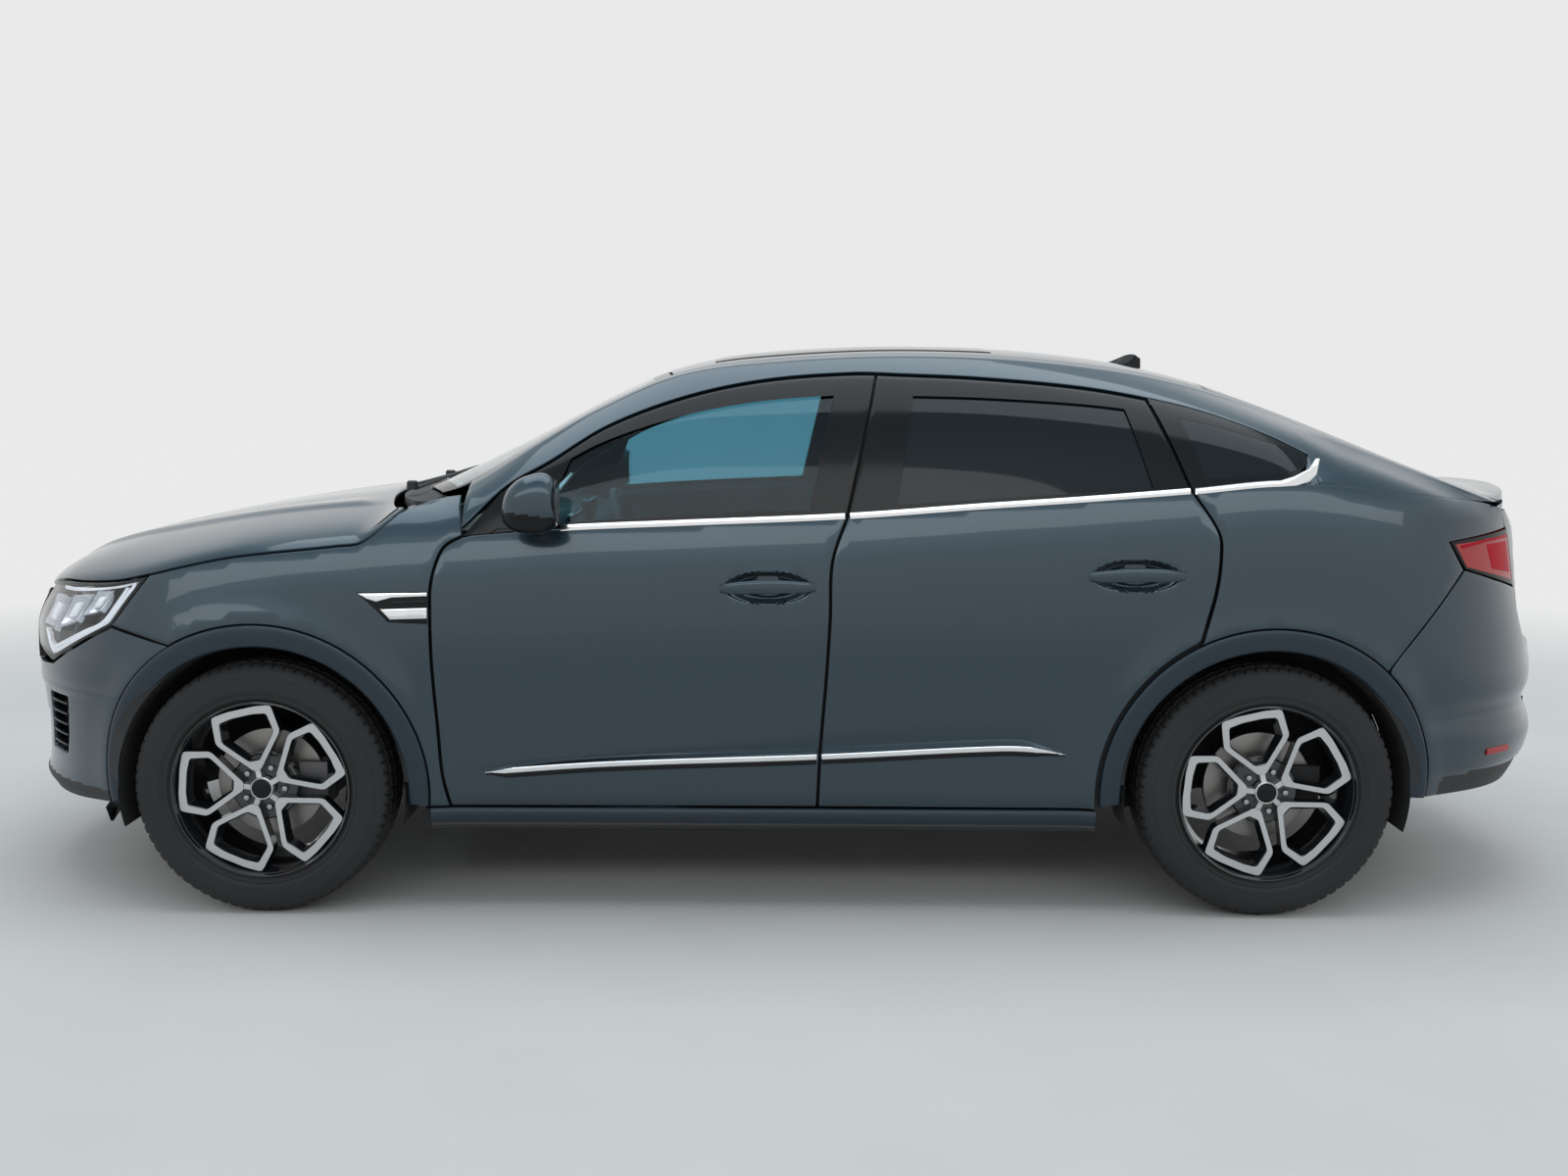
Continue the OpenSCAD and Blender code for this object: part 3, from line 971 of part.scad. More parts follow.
// How far the leaf reaches into the door's front wall
leaf_in = 8;
module door_leaf(axis, edge, far_x, near) {
    // Tube on the pin, with a leaf back to the front wall of the door
    for (z = hinge_zs) translate([axis[0], axis[1], z]) {
        x0 = edge_x(edge, z) + gap;
        wall_x = x0 + near * (far_x - x0) + (skin_w(axis[0], z) + axis[1]) * 0.34 + leaf_in;
        difference() {
            union() {
                cylinder(r = pin_r + 4, h = tube_h, center = true);
                translate([0, -4, -tube_h / 2]) cube([wall_x - axis[0], 8, tube_h]);
            }
            cylinder(r = pin_r + pin_fit, h = tube_h + 2, center = true);
        }
    }
}
bonnet_axis = [px(-1018), pz(1098)];
bonnet_hinge_y = py(738);
gate_axis = [px(1190), cap_z(px(1190), 0) - 6];
gate_pin_r = 3.5;
gate_hinge_y = 150;
// Round bar across the car at [x, z]
module cross_bar(at, y, r, h) {
    translate([at[0], y, at[1]]) rotate([90, 0, 0]) cylinder(r = r, h = h, center = true);
}
module hinges() color(steel) {
    both_sides() {
        body_leaf(front_axis);
        body_leaf(rear_axis);
        cross_bar(bonnet_axis, -bonnet_hinge_y, pin_r, 44);
        gate_foot = gate_axis[0] + 5.8 - roof_rear;
        for (k = [-1, 1]) {
            cross_bar(bonnet_axis, -bonnet_hinge_y + k * 18, pin_r + 4, 8);
            translate([bonnet_axis[0] - pin_r - 4, -bonnet_hinge_y + k * 18 - 4, cowl_z - 200])
                cube([2 * pin_r + 8, 8, bonnet_axis[1] - cowl_z + 200]);
            cross_bar(gate_axis, -gate_hinge_y + k * 16, gate_pin_r + 2.5, 7);
            translate([roof_rear + 0.2, -gate_hinge_y + k * 16 - 3.5, gate_axis[1] - 46])
                cube([gate_foot, 7, 46]);
            translate([gate_axis[0] - 100, -gate_hinge_y + k * 16 - 3.5, gate_axis[1] - 46])
                cube([106, 7, 10]);
        }
        translate([bonnet_axis[0] - 30, -bonnet_hinge_y - 22, cowl_z - 230])
            cube([dash_x - bonnet_axis[0] + 30 - seat_gap, py(60) + 22, 40]);
        cross_bar(gate_axis, -gate_hinge_y, gate_pin_r, 40);
    }
}
module bonnet_arm() {
    pad_x = px(-1120);
    pad_z = bonnet_top(pad_x, bonnet_hinge_y / bonnet_w(pad_x)) - 52;
    difference() {
        hull() {
            cross_bar(bonnet_axis, -bonnet_hinge_y, pin_r + 4, 26);
            translate([pad_x - 40, -bonnet_hinge_y - 13, pad_z]) cube([50, 26, 10]);
        }
        cross_bar(bonnet_axis, -bonnet_hinge_y, pin_r + pin_fit, 30);
    }
}
module gate_arm() {
    x = px(1270);
    difference() {
        hull() {
            cross_bar(gate_axis, -gate_hinge_y, gate_pin_r + 2.5, 24);
            translate([x - 20, -gate_hinge_y - 12, cap_z(x, gate_hinge_y) - frame_t - 14]) cube([30, 24, 8]);
        }
        cross_bar(gate_axis, -gate_hinge_y, gate_pin_r + pin_fit, 30);
    }
}

module bonnet() color(paint) {
    bonnet_shell();
    both_sides() bonnet_arm();
}
module tailgate() color(paint) {
    tailgate_shell();
    both_sides() gate_arm();
}
module right() {
    mirror([0, 1, 0]) children();
}

// Pieces that come in pairs
module door_front_left() color(paint) {
    front_door();
    door_handle(front_handle);
    door_leaf(front_axis, front_shut, middle_edge_front(0.5)[0], front_cols[1]);
}
module door_front_right() right() door_front_left();
module door_rear_left() color(paint) {
    rear_door();
    door_handle(rear_handle);
    door_leaf(rear_axis, middle_shut, rear_edge(0.6)[0], rear_cols[1]);
}
module door_rear_right() right() door_rear_left();
module glass_front_left() front_glass();
module glass_front_right() right() front_glass();
module glass_rear_left() rear_glass();
module glass_rear_right() right() rear_glass();
module mirror_left() door_mirror();
module mirror_right() right() door_mirror();
module knuckle_left() wheel_at(front_x) knuckle();
module knuckle_right() right() knuckle_left();
module rim_front_left() wheel_at(front_x) rim();
module rim_front_right() right() rim_front_left();
module rim_rear_left() wheel_at(rear_x) rim();
module rim_rear_right() right() rim_rear_left();
module tyre_front_left() wheel_at(front_x) tyre();
module tyre_front_right() right() tyre_front_left();
module tyre_rear_left() wheel_at(rear_x) tyre();
module tyre_rear_right() right() tyre_rear_left();

floor_pan();
pillars();
side_rails();
quarter_panels();
fenders();
roof_panel();
fixed_glass();
front_bumper();
grilles();
headlamps();
rear_bumper();
tail_lamps();
arch_trims();
wheel_liners();
engine();
front_subframe();
rear_axle();
exhaust();
dashboard();
front_seats();
rear_bench();
cowl();
hinges();
bonnet();
tailgate();
tailgate_glass();
door_front_left();
door_front_right();
door_rear_left();
door_rear_right();
glass_front_left();
glass_front_right();
glass_rear_left();
glass_rear_right();
mirror_left();
mirror_right();
steering_wheel();
knuckle_left();
knuckle_right();
rim_front_left();
rim_front_right();
rim_rear_left();
rim_rear_right();
tyre_front_left();
tyre_front_right();
tyre_rear_left();
tyre_rear_right();
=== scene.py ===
"""Looks of a coupe sport utility vehicle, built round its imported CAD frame.

Sizes are in millimetres on the CAD's own axes: x from nose to tail, y from left to right and z up.
Meshes are written in metres. Each sub-assembly is a class that builds its meshes and dresses them.
"""

from __future__ import annotations

import logging
import math
from dataclasses import dataclass
from enum import Enum
from typing import Any, Callable, Iterable, Sequence

import bmesh
import bpy
import numpy as np
from mathutils import Euler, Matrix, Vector, geometry

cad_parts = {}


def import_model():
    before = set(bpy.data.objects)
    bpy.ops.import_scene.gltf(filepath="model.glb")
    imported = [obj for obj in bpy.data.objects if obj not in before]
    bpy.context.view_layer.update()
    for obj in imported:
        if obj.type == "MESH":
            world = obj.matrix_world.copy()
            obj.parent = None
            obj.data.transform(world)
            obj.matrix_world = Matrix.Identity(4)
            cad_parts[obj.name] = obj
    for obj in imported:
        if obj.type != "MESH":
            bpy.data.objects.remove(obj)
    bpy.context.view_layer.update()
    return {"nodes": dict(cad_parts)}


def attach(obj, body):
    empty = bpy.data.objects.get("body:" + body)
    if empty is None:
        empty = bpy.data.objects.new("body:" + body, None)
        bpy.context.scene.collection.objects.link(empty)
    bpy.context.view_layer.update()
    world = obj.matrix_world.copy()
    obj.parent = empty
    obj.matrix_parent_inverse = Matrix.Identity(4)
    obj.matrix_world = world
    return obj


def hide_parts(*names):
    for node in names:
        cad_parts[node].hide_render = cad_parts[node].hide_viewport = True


LOG = logging.getLogger("coupe")
Points = np.ndarray
Surface = Callable[[Points, float], Points]
METRE = 0.001
WELD = 2e-5
CUT_TOLERANCE = 1e-5
TINY = 1e-9

FRONT_X, REAR_X = -1416.0, 1305.0
AXLE_Z, TYRE_R, TYRE_W, RIM_R = 347.0, 347.0, 215.0, 240.0
WHEEL_Y = 781.0
ARCH_R, TRIM_R = 392.0, 452.0
PANEL_R = TRIM_R + 4.5
FLARE, FLARE_REACH = 10.0, 46.0
SHUT_GAP = 8.0
GAP = SHUT_GAP / 2
SILL_Z = 250.0
NOSE_POWER, TAIL_POWER = 2.3, 2.6
ROOF_SHARE = 0.93
PILLAR_FROM, PILLAR_TO = 1390.0, 1520.0
SOFTEN = range(-44, 45, 11)
UPWARDS, LEFTWARDS, FORWARDS = (0, 0, 1), (0, -1, 0), (-1, 0, 0)
ALONG_Y = (0, 1, 0)
ROLL = 0.3
DOT_MARGIN = 5.0


class Side(Enum):
    """Side of the car, as the sign of y."""

    LEFT = -1
    RIGHT = 1

    @property
    def word(self) -> str:
        """Name of the side in body and node names."""
        return self.name.lower()


class DoorKind(Enum):
    """Which pair of doors."""

    FRONT = "front"
    REAR = "rear"


class Texture(Enum):
    """Fine surface pattern of a finish."""

    SMOOTH = "smooth"
    FLAKE = "flake"
    GRAIN = "grain"
    WEAVE = "weave"
    BRUSHED = "brushed"
    CAST = "cast"


def hermite(a: Points, b: Points, slope_a: Points, slope_b: Points, t: Points) -> Points:
    """Cubic from a to b with the given slopes, at a share t."""
    return (
        a * (2 * t**3 - 3 * t**2 + 1)
        + b * (3 * t**2 - 2 * t**3)
        + slope_a * (t**3 - 2 * t**2 + t)
        + slope_b * (t**3 - t**2)
    )


class Curve:
    """Smooth curve through (position, value) knots."""

    def __init__(self, *knots: Sequence[float]) -> None:
        """Keep the knots and the slope at each of them."""
        self.x = np.array([k[0] for k in knots], float)
        self.y = np.array([k[1] for k in knots], float)
        i = np.arange(len(knots))
        a, b = np.maximum(i - 1, 0), np.minimum(i + 1, len(knots) - 1)
        self.m = (self.y[b] - self.y[a]) / (self.x[b] - self.x[a])

    def __call__(self, at: Points | float) -> Points:
        """Value at each position; it stays level beyond the ends."""
        at = np.asarray(at, float)
        i = np.clip(np.searchsorted(self.x, at, side="right") - 1, 0, len(self.x) - 2)
        h = self.x[i + 1] - self.x[i]
        t = np.clip((at - self.x[i]) / h, 0, 1)
        return hermite(self.y[i], self.y[i + 1], self.m[i] * h, self.m[i + 1] * h, t)


def mix(a: Points | float, b: Points | float, t: Points | float) -> Points:
    """Straight blend from a to b."""
    return a + (b - a) * t


def xyz(x: Points | float, y: Points | float, z: Points | float) -> Points:
    """Points from their three parts, spread to one shape."""
    return np.stack(np.broadcast_arrays(x, y, z), -1)


def pairs(a: Points | float, b: Points | float) -> Points:
    """Places from their two parts, spread to one shape."""
    return np.stack(np.broadcast_arrays(a, b), -1)


def unit(v: Points) -> Points:
    """Directions of length 1."""
    return v / np.maximum(np.linalg.norm(v, axis=-1, keepdims=True), TINY)


def signed(t: Points, power: float) -> Points:
    """Power of a size that keeps its sign."""
    return np.sign(t) * np.abs(t) ** power


def circle(n: int) -> Points:
    """Even turns once round, in radians."""
    return np.radians(np.arange(n) * (360 / n))


def spans(*stretches: tuple[float, float, int]) -> Points:
    """Even steps over stretches that follow one another, each given as (first, last, count)."""
    return np.concatenate([np.linspace(*one)[min(k, 1):] for k, one in enumerate(stretches)])


def mid_of(values: Points) -> Points:
    """Middles between values."""
    return (values[:-1] + values[1:]) / 2


def centres(net: Points) -> Points:
    """Middle of each cell of a net of values."""
    return (net[:-1, :-1] + net[1:, 1:]) / 2


def in_all(marks: Points) -> Points:
    """Cells of a net with both opposite corners marked."""
    return marks[:-1, :-1] & marks[1:, 1:]


def in_any(marks: Points) -> Points:
    """Cells of a net with one of two opposite corners marked."""
    return marks[:-1, :-1] | marks[1:, 1:]


def hole_edge(net: Points, rows: Sequence[int], columns: Sequence[int]) -> Points:
    """Edge of a hole in a net between two rows and two columns, once round."""
    (i, k), (j, m) = rows, columns
    return np.concatenate([net[i, j:m], net[i:k, m], net[k, m:j:-1], net[k:i:-1, j]])


def both_halves(half: Points) -> tuple[Points, Points]:
    """Turns and heights of a net that is laid out from the middle to one side."""
    a = np.concatenate([-half[:, ::-1, 0][:, :-1], half[..., 0]], 1)
    z = np.concatenate([half[:, ::-1, 1][:, :-1], half[..., 1]], 1)
    return a, z


def bead(edge: float, crown: float, half: float, foot: float, foot_half: float) -> list[tuple[float, float]]:
    """Section of a bar with a crowned face, as (outward, sideways) pairs."""
    return [(edge, -half), (crown, 0), (edge, half), (-foot, foot_half), (-foot, -foot_half)]


def slab(face: float, half: float, foot: float, foot_half: float) -> list[tuple[float, float]]:
    """Section of a bar with a flat face, as (outward, sideways) pairs."""
    return [(face, -half), (face, half), (-foot, foot_half), (-foot, -foot_half)]


def runs(knots: Sequence[Sequence[float]], t: Points) -> tuple[Points, Points, Points]:
    """Knots as an array, with the run between knots and the place on it for each share t."""
    k = np.asarray(knots, float)
    n = len(k) - 1
    s = np.clip(np.asarray(t, float), 0, 1) * n
    i = np.minimum(np.floor(s).astype(int), n - 1)
    return k, i, (s - i)[..., None]


def path(knots: Sequence[Sequence[float]], t: Points) -> Points:
    """Smooth path through knots.

    Args:
        knots: Points that the path passes.
        t: Shares of the path, from 0 to 1.

    Returns:
        One point for each share.
    """
    k, i, f = runs(knots, t)
    a, b = k[i], k[i + 1]
    before, after = k[np.maximum(i - 1, 0)], k[np.minimum(i + 2, len(k) - 1)]
    return hermite(a, b, (b - before) / 2, (after - a) / 2, f)


def chain(knots: Sequence[Sequence[float]], t: Points) -> Points:
    """Straight runs between knots, at shares t from 0 to 1."""
    k, i, f = runs(knots, t)
    return mix(k[i], k[i + 1], f)


def ramp(x: Points, lo: float, hi: float) -> Points:
    """Smooth step from 0 at lo to 1 at hi."""
    t = np.clip((np.asarray(x, float) - lo) / (hi - lo), 0, 1)
    return t * t * (3 - 2 * t)


def bump_at(x: Points, middle: Points | float, reach: float) -> Points:
    """Bell of height 1 round a middle."""
    return np.exp(-(((x - middle) / reach) ** 2))


BELT = Curve(
    (-2284, 880), (-1800, 930), (-1416, 985), (-1100, 1015), (-865, 1032), (-591, 1054), (-265, 1069),
    (167, 1089), (515, 1116), (776, 1135), (1078, 1160), (1308, 1182), (1500, 1172), (1800, 1140),
    (2284, 1090),
)
PLAN = Curve(
    (-2284, 893), (-1416, 893), (-900, 886), (0, 888), (900, 893), (1305, 895), (1700, 891), (2284, 880),
)
NOSE = Curve(
    (200, 790), (262, 848), (300, 863), (350, 856), (450, 852), (550, 858), (640, 868), (700, 868),
    (763, 862), (838, 826), (880, 800),
)
TAIL = Curve(
    (200, 830), (300, 915), (360, 952), (442, 979), (515, 964), (632, 962), (720, 945), (798, 925),
    (889, 905), (1000, 890), (1090, 880),
)
INSET = Curve(
    (0, 52), (0.08, 34), (0.18, 24), (0.3, 14), (0.45, 4), (0.6, 0), (0.74, 2), (0.86, 14), (0.94, 28),
    (1, 42), (1.1, 62),
)
RAIL_Z = Curve(
    (-977, 1118), (-877, 1144), (-689, 1266), (-521, 1365), (-293, 1462), (0, 1500), (300, 1515),
    (600, 1508), (900, 1478), (1080, 1446), (1239, 1403), (1402, 1348), (1567, 1285), (1720, 1223),
    (1801, 1190), (1900, 1150), (2050, 1100),
)
RAIL_W = Curve(
    (-977, 748), (-877, 735), (-689, 695), (-521, 655), (-293, 612), (0, 588), (300, 578), (600, 575),
    (900, 572), (1080, 568), (1239, 565), (1402, 565), (1567, 572), (1720, 590), (1801, 610), (1900, 640),
    (2050, 600),
)
TOP = Curve(
    (-2262, 806), (-2219, 868), (-2089, 942), (-1897, 1009), (-1706, 1050), (-1452, 1092), (-1263, 1116),
    (-1120, 1128), (-1060, 1140), (-948, 1192), (-829, 1250), (-711, 1308), (-593, 1371), (-475, 1430),
    (-357, 1480), (-241, 1512), (-100, 1535), (179, 1554), (365, 1557), (614, 1552), (801, 1538),
    (988, 1512), (1200, 1462), (1400, 1392), (1600, 1312), (1800, 1230), (1900, 1192), (1980, 1167),
    (2060, 1150), (2150, 1141), (2195, 1142),
)
DLO = Curve(
    (-865, 1052), (-756, 1159), (-640, 1227), (-485, 1324), (-274, 1404), (-60, 1450), (182, 1470),
    (317, 1467), (532, 1458), (801, 1435), (987, 1404), (1146, 1365), (1301, 1307), (1402, 1255),
)
BONNET_Z = Curve(
    (-2262, 796), (-2219, 825), (-2150, 858), (-2050, 884), (-1940, 893), (-1820, 905), (-1736, 922),
    (-1600, 955), (-1468, 981), (-1194, 1010), (-1128, 1022), (-1032, 1104),
)
STRIP_Z = Curve((-809, 399), (-478, 423), (90, 446), (578, 472), (690, 468), (757, 457))

FRONT_SHUT = [
    (-908, 298), (-926, 390), (-933, 520), (-943, 690), (-945, 820), (-942, 915), (-914, 1000), (-865, 1032),
]
MIDDLE_SHUT = [(89, 300), (97, 480), (110, 660), (119, 818), (124, 969), (164, 1089)]
MIDDLE_TOP = (247.0, 1468.0)
REAR_SHUT = [(1104, 756), (1138, 883), (1151, 992), (1142, 1060), (1078, 1160)]
REAR_TOP = (985.0, 1404.0)
DOOR_BOTTOM = 298.0
LAMP_REAR_LOW = np.array([-1822.0, 784.0])
LAMP_FRONT_LOW = np.array([1836.0, 948.0])
LAMP_TIP = np.array([1787.0, 1026.0])
QUARTER_CORNER = np.array([1623.0, 697.0])
QUARTER_END, QUARTER_END_Z = 2008.0, 1098.0
QUARTER_TIP = (2018.0, 1050.0)
TAIL_LAMP_END, TAIL_LAMP_FOOT, TAIL_LAMP_TOP = (2058.0, 880.0), (2056.0, 886.0), (2030.0, 1046.0)


def end_factor(x: Points, z: Points) -> Points:
    """Share of the full width left at a station of the nose or the tail."""
    f = np.clip((FRONT_X - x) / NOSE(z), 0, 1)
    r = np.clip((x - REAR_X) / TAIL(z), 0, 1)
    return (1 - f**NOSE_POWER) ** (1 / NOSE_POWER) * (1 - r**TAIL_POWER) ** (1 / TAIL_POWER)


def flare(x: Points, z: Points) -> Points:
    """Swelling of the side round the wheel arches."""
    d = np.minimum(np.hypot(x - FRONT_X, z - AXLE_Z), np.hypot(x - REAR_X, z - AXLE_Z))
    return FLARE * bump_at(d, TRIM_R, FLARE_REACH)


def side_w(x: Points, z: Points) -> Points:
    """Half width of the lower body side."""
    t = (z - SILL_Z) / (BELT(x) - SILL_Z)
    return (PLAN(x) - INSET(t)) * end_factor(x, z) + flare(x, z)


def cabin_w(x: Points, z: Points) -> Points:
    """Half width of the cabin side above the belt."""
    b = BELT(x)
    t = np.clip((z - b) / np.maximum(RAIL_Z(x) - b, 1), 0, 1)
    step = 8 * np.clip((x + 900) / 60, 0, 1) * np.clip((1480 - x) / 90, 0, 1)
    return mix(side_w(x, b) - step, RAIL_W(x), 0.45 * t + 0.55 * t**4)


def hard_w(x: Points, z: Points) -> Points:
    """Half width of the whole side, as the solids have it."""
    return np.where(z <= BELT(x), side_w(x, z), cabin_w(x, z))


def skin_w(x: Points, z: Points) -> Points:
    """Half width of the visible side: the belt's edge is softened on the rear pillar."""
    x, z = np.broadcast_arrays(np.asarray(x, float), np.asarray(z, float))
    w = hard_w(x, z)
    k = ramp(x, PILLAR_FROM, PILLAR_TO)
    if not np.any(k > 0):
        return w
    soft = sum(hard_w(x, z + d) for d in SOFTEN) / len(SOFTEN)
    return mix(w, soft, k)


def on_side(x: Points, z: Points | float, depth: Points | float = 0.0) -> Points:
    """Points of the left side as the solids have it, at a depth below it."""
    return xyz(x, -hard_w(x, z) + depth, z)


def cap_z(x: Points, y: Points) -> Points:
    """Height of the roof, windscreen and tail from the rail inwards."""
    r = RAIL_Z(x)
    s = np.minimum(np.abs(y) / RAIL_W(x), 1)
    return r + (TOP(x) - r) * (1 - s**2.4) ** 0.75


def end_point(ahead: bool, a: Points, z: Points, d: Points | float = 0.0) -> Points:
    """Point on the skin round an end of the car.

    Args:
        ahead: True at the nose.
        a: Turn from the middle in degrees, positive to the right.
        z: Height.
        d: Depth below the skin.

    Returns:
        The point for each turn and height.
    """
    a, z = np.broadcast_arrays(np.asarray(a, float), np.asarray(z, float))
    power = NOSE_POWER if ahead else TAIL_POWER
    reach = NOSE(z) if ahead else TAIL(z)
    ca = np.clip(np.cos(np.radians(a)), 0, 1)
    sa = np.abs(np.sin(np.radians(a)))
    k = sa ** (2 / power)
    x = FRONT_X - reach * ca ** (2 / power) if ahead else REAR_X + reach * ca ** (2 / power)
    t = (z - SILL_Z) / (BELT(x) - SILL_Z)
    w = (PLAN(x) - INSET(t)) * k + flare(x, z) * k
    return np.stack([x + (d if ahead else -d) * ca**3, np.sign(a) * (w - d * sa), z + 0 * a], -1)


def turned(ahead: bool, p: Points) -> Points:
    """Turn and height of a point given as (x, z)."""
    p = np.asarray(p, float)
    power = NOSE_POWER if ahead else TAIL_POWER
    r = (FRONT_X - p[..., 0]) / NOSE(p[..., 1]) if ahead else (p[..., 0] - REAR_X) / TAIL(p[..., 1])
    return np.stack([np.degrees(np.arccos(np.clip(r, 0, 1) ** (power / 2))), p[..., 1]], -1)


def arch_at(cx: float, r: float, a: Points) -> Points:
    """Point on a wheel arch, at an angle from straight back."""
    a = np.radians(np.asarray(a, float))
    return pairs(cx + r * np.cos(a), AXLE_Z + r * np.sin(a))


def beside(knots: Sequence[Sequence[float]], t: Points, d: float) -> Points:
    """Point beside a climbing path; d > 0 is to the rear of it."""
    k = unit(path(knots, np.asarray(t) + 0.02) - path(knots, np.asarray(t) - 0.02))
    return path(knots, t) + d * pairs(k[..., 1], -k[..., 0])


def coons(bottom: Points, top: Points, front: Points, rear: Points) -> Points:
    """Net of points between four edges.

    Args:
        bottom: Points of the lower edge, from front to rear.
        top: Points of the upper edge, as many.
        front: Points of the front edge, from below.
        rear: Points of the rear edge, as many.

    Returns:
        Array of rows (upwards) by columns (rearwards).
    """
    u = np.linspace(0, 1, len(bottom))[None, :, None]
    v = np.linspace(0, 1, len(front))[:, None, None]
    corner = (
        bottom[0] * (1 - u) * (1 - v) + bottom[-1] * u * (1 - v) + top[0] * (1 - u) * v + top[-1] * u * v
    )
    return bottom[None] * (1 - v) + top[None] * v + front[:, None] * (1 - u) + rear[:, None] * u - corner


def front_edge(v: Points) -> Points:
    """Front edge of the front door."""
    return beside(FRONT_SHUT, v, GAP)


def middle_edge(v: Points, d: float) -> Points:
    """Shut line between the doors, moved by d."""
    return path(MIDDLE_SHUT, v) + np.array([d, 0.0])


ARCH_MEET = math.degrees(math.atan2(REAR_SHUT[0][1] - AXLE_Z, REAR_SHUT[0][0] - REAR_X))
DOOR_ARCH_R = PANEL_R + SHUT_GAP + 1
ARCH_LOW = 180 - math.degrees(math.asin((DOOR_BOTTOM - AXLE_Z) / DOOR_ARCH_R))
FENDER_LOW = math.degrees(math.asin((DOOR_BOTTOM - AXLE_Z) / TRIM_R))
BUMPER_SIDE_LOW, BUMPER_SIDE_TOP = 188.0, 120.0
TAIL_ARCH_LOW = math.degrees(math.asin((322 - AXLE_Z) / TRIM_R))
QUARTER_ARCH_END = math.degrees(math.atan2(QUARTER_CORNER[1] - AXLE_Z, QUARTER_CORNER[0] - REAR_X))


def rear_edge(v: Points) -> Points:
    """Rear edge of the rear door: up round the arch, then up the shut line."""
    v = np.asarray(v, float)
    low = arch_at(REAR_X, DOOR_ARCH_R, mix(ARCH_LOW, ARCH_MEET, np.clip(v / 0.5, 0, 1)))
    k = np.clip((v - 0.5) / 0.5, 0, 1)
    shut = path(REAR_SHUT, k) - np.array([GAP, 0])
    meet = arch_at(REAR_X, DOOR_ARCH_R, ARCH_MEET)
    high = shut + (meet - (np.array(REAR_SHUT[0]) - np.array([GAP, 0]))) * (1 - k)[..., None]
    return np.where((v < 0.5)[..., None], low, high)


def bonnet_w(x: Points) -> Points:
    """Half width of the bonnet."""
    return hard_w(x, BONNET_Z(x)) - 1


def bonnet_top(x: Points, s: Points) -> Points:
    """Height of the bonnet at a share s of its half width."""
    e = BONNET_Z(x)
    return e + (TOP(x) - e) * np.clip(1 - np.abs(s) ** 2.6, 0, 1) ** 0.7


def quarter_top(x: Points, first: float) -> Points:
    """Height of the quarter panel's upper edge: the belt, falling away at its end."""
    fall = np.maximum(0, (x - first) / (QUARTER_END - first) - 0.83) / 0.17
    return BELT(x) - 16 * fall**2


def grid_normals(p: Points) -> Points:
    """Unit normals of a net of points, by right hand from columns to rows."""
    return unit(np.cross(np.gradient(p, axis=1), np.gradient(p, axis=0)))


def inside(points: Points, loop: Points) -> Points:
    """Whether each point lies within a closed loop, both in a plane."""
    x, y = points[:, 0][:, None], points[:, 1][:, None]
    a, b = loop, np.roll(loop, -1, 0)
    crosses = (a[:, 1] > y) != (b[:, 1] > y)
    with np.errstate(divide="ignore", invalid="ignore"):
        at = a[:, 0] + (y - a[:, 1]) * (b[:, 0] - a[:, 0]) / (b[:, 1] - a[:, 1])
    return (np.sum(crosses & (x < at), axis=1) % 2) == 1


def distance_to(points: Points, loop: Points) -> Points:
    """Distance of each point from a closed loop, both in a plane."""
    a, d = loop, np.roll(loop, -1, 0) - loop
    rel = points[:, None] - a[None]
    t = np.clip((rel * d).sum(-1) / np.maximum((d * d).sum(-1), 1e-9), 0, 1)
    return np.sqrt(((rel - t[..., None] * d) ** 2).sum(-1)).min(1)


def even(loop: Points, step: float) -> Points:
    """Closed loop with a point about every step, its own corners kept."""
    out = []
    for a, b in zip(loop, np.roll(loop, -1, 0)):
        n = max(1, int(round(np.linalg.norm(b - a) / step)))
        out.append(a + (b - a) * (np.arange(n) / n)[:, None])
    return np.concatenate(out)


def clean(loop: Points, least: float = 0.5) -> Points:
    """Closed loop without points that lie on their neighbour."""
    keep = np.linalg.norm(loop - np.roll(loop, 1, 0), axis=1) > least
    return loop[keep]


def quads(numbers: Points, skip: Points | None) -> Points:
    """Corners of each cell of a net of point numbers, apart from the cells to leave open."""
    q = np.stack([numbers[:-1, :-1], numbers[:-1, 1:], numbers[1:, 1:], numbers[1:, :-1]], -1)
    return q[~skip] if skip is not None else q.reshape(-1, 4)


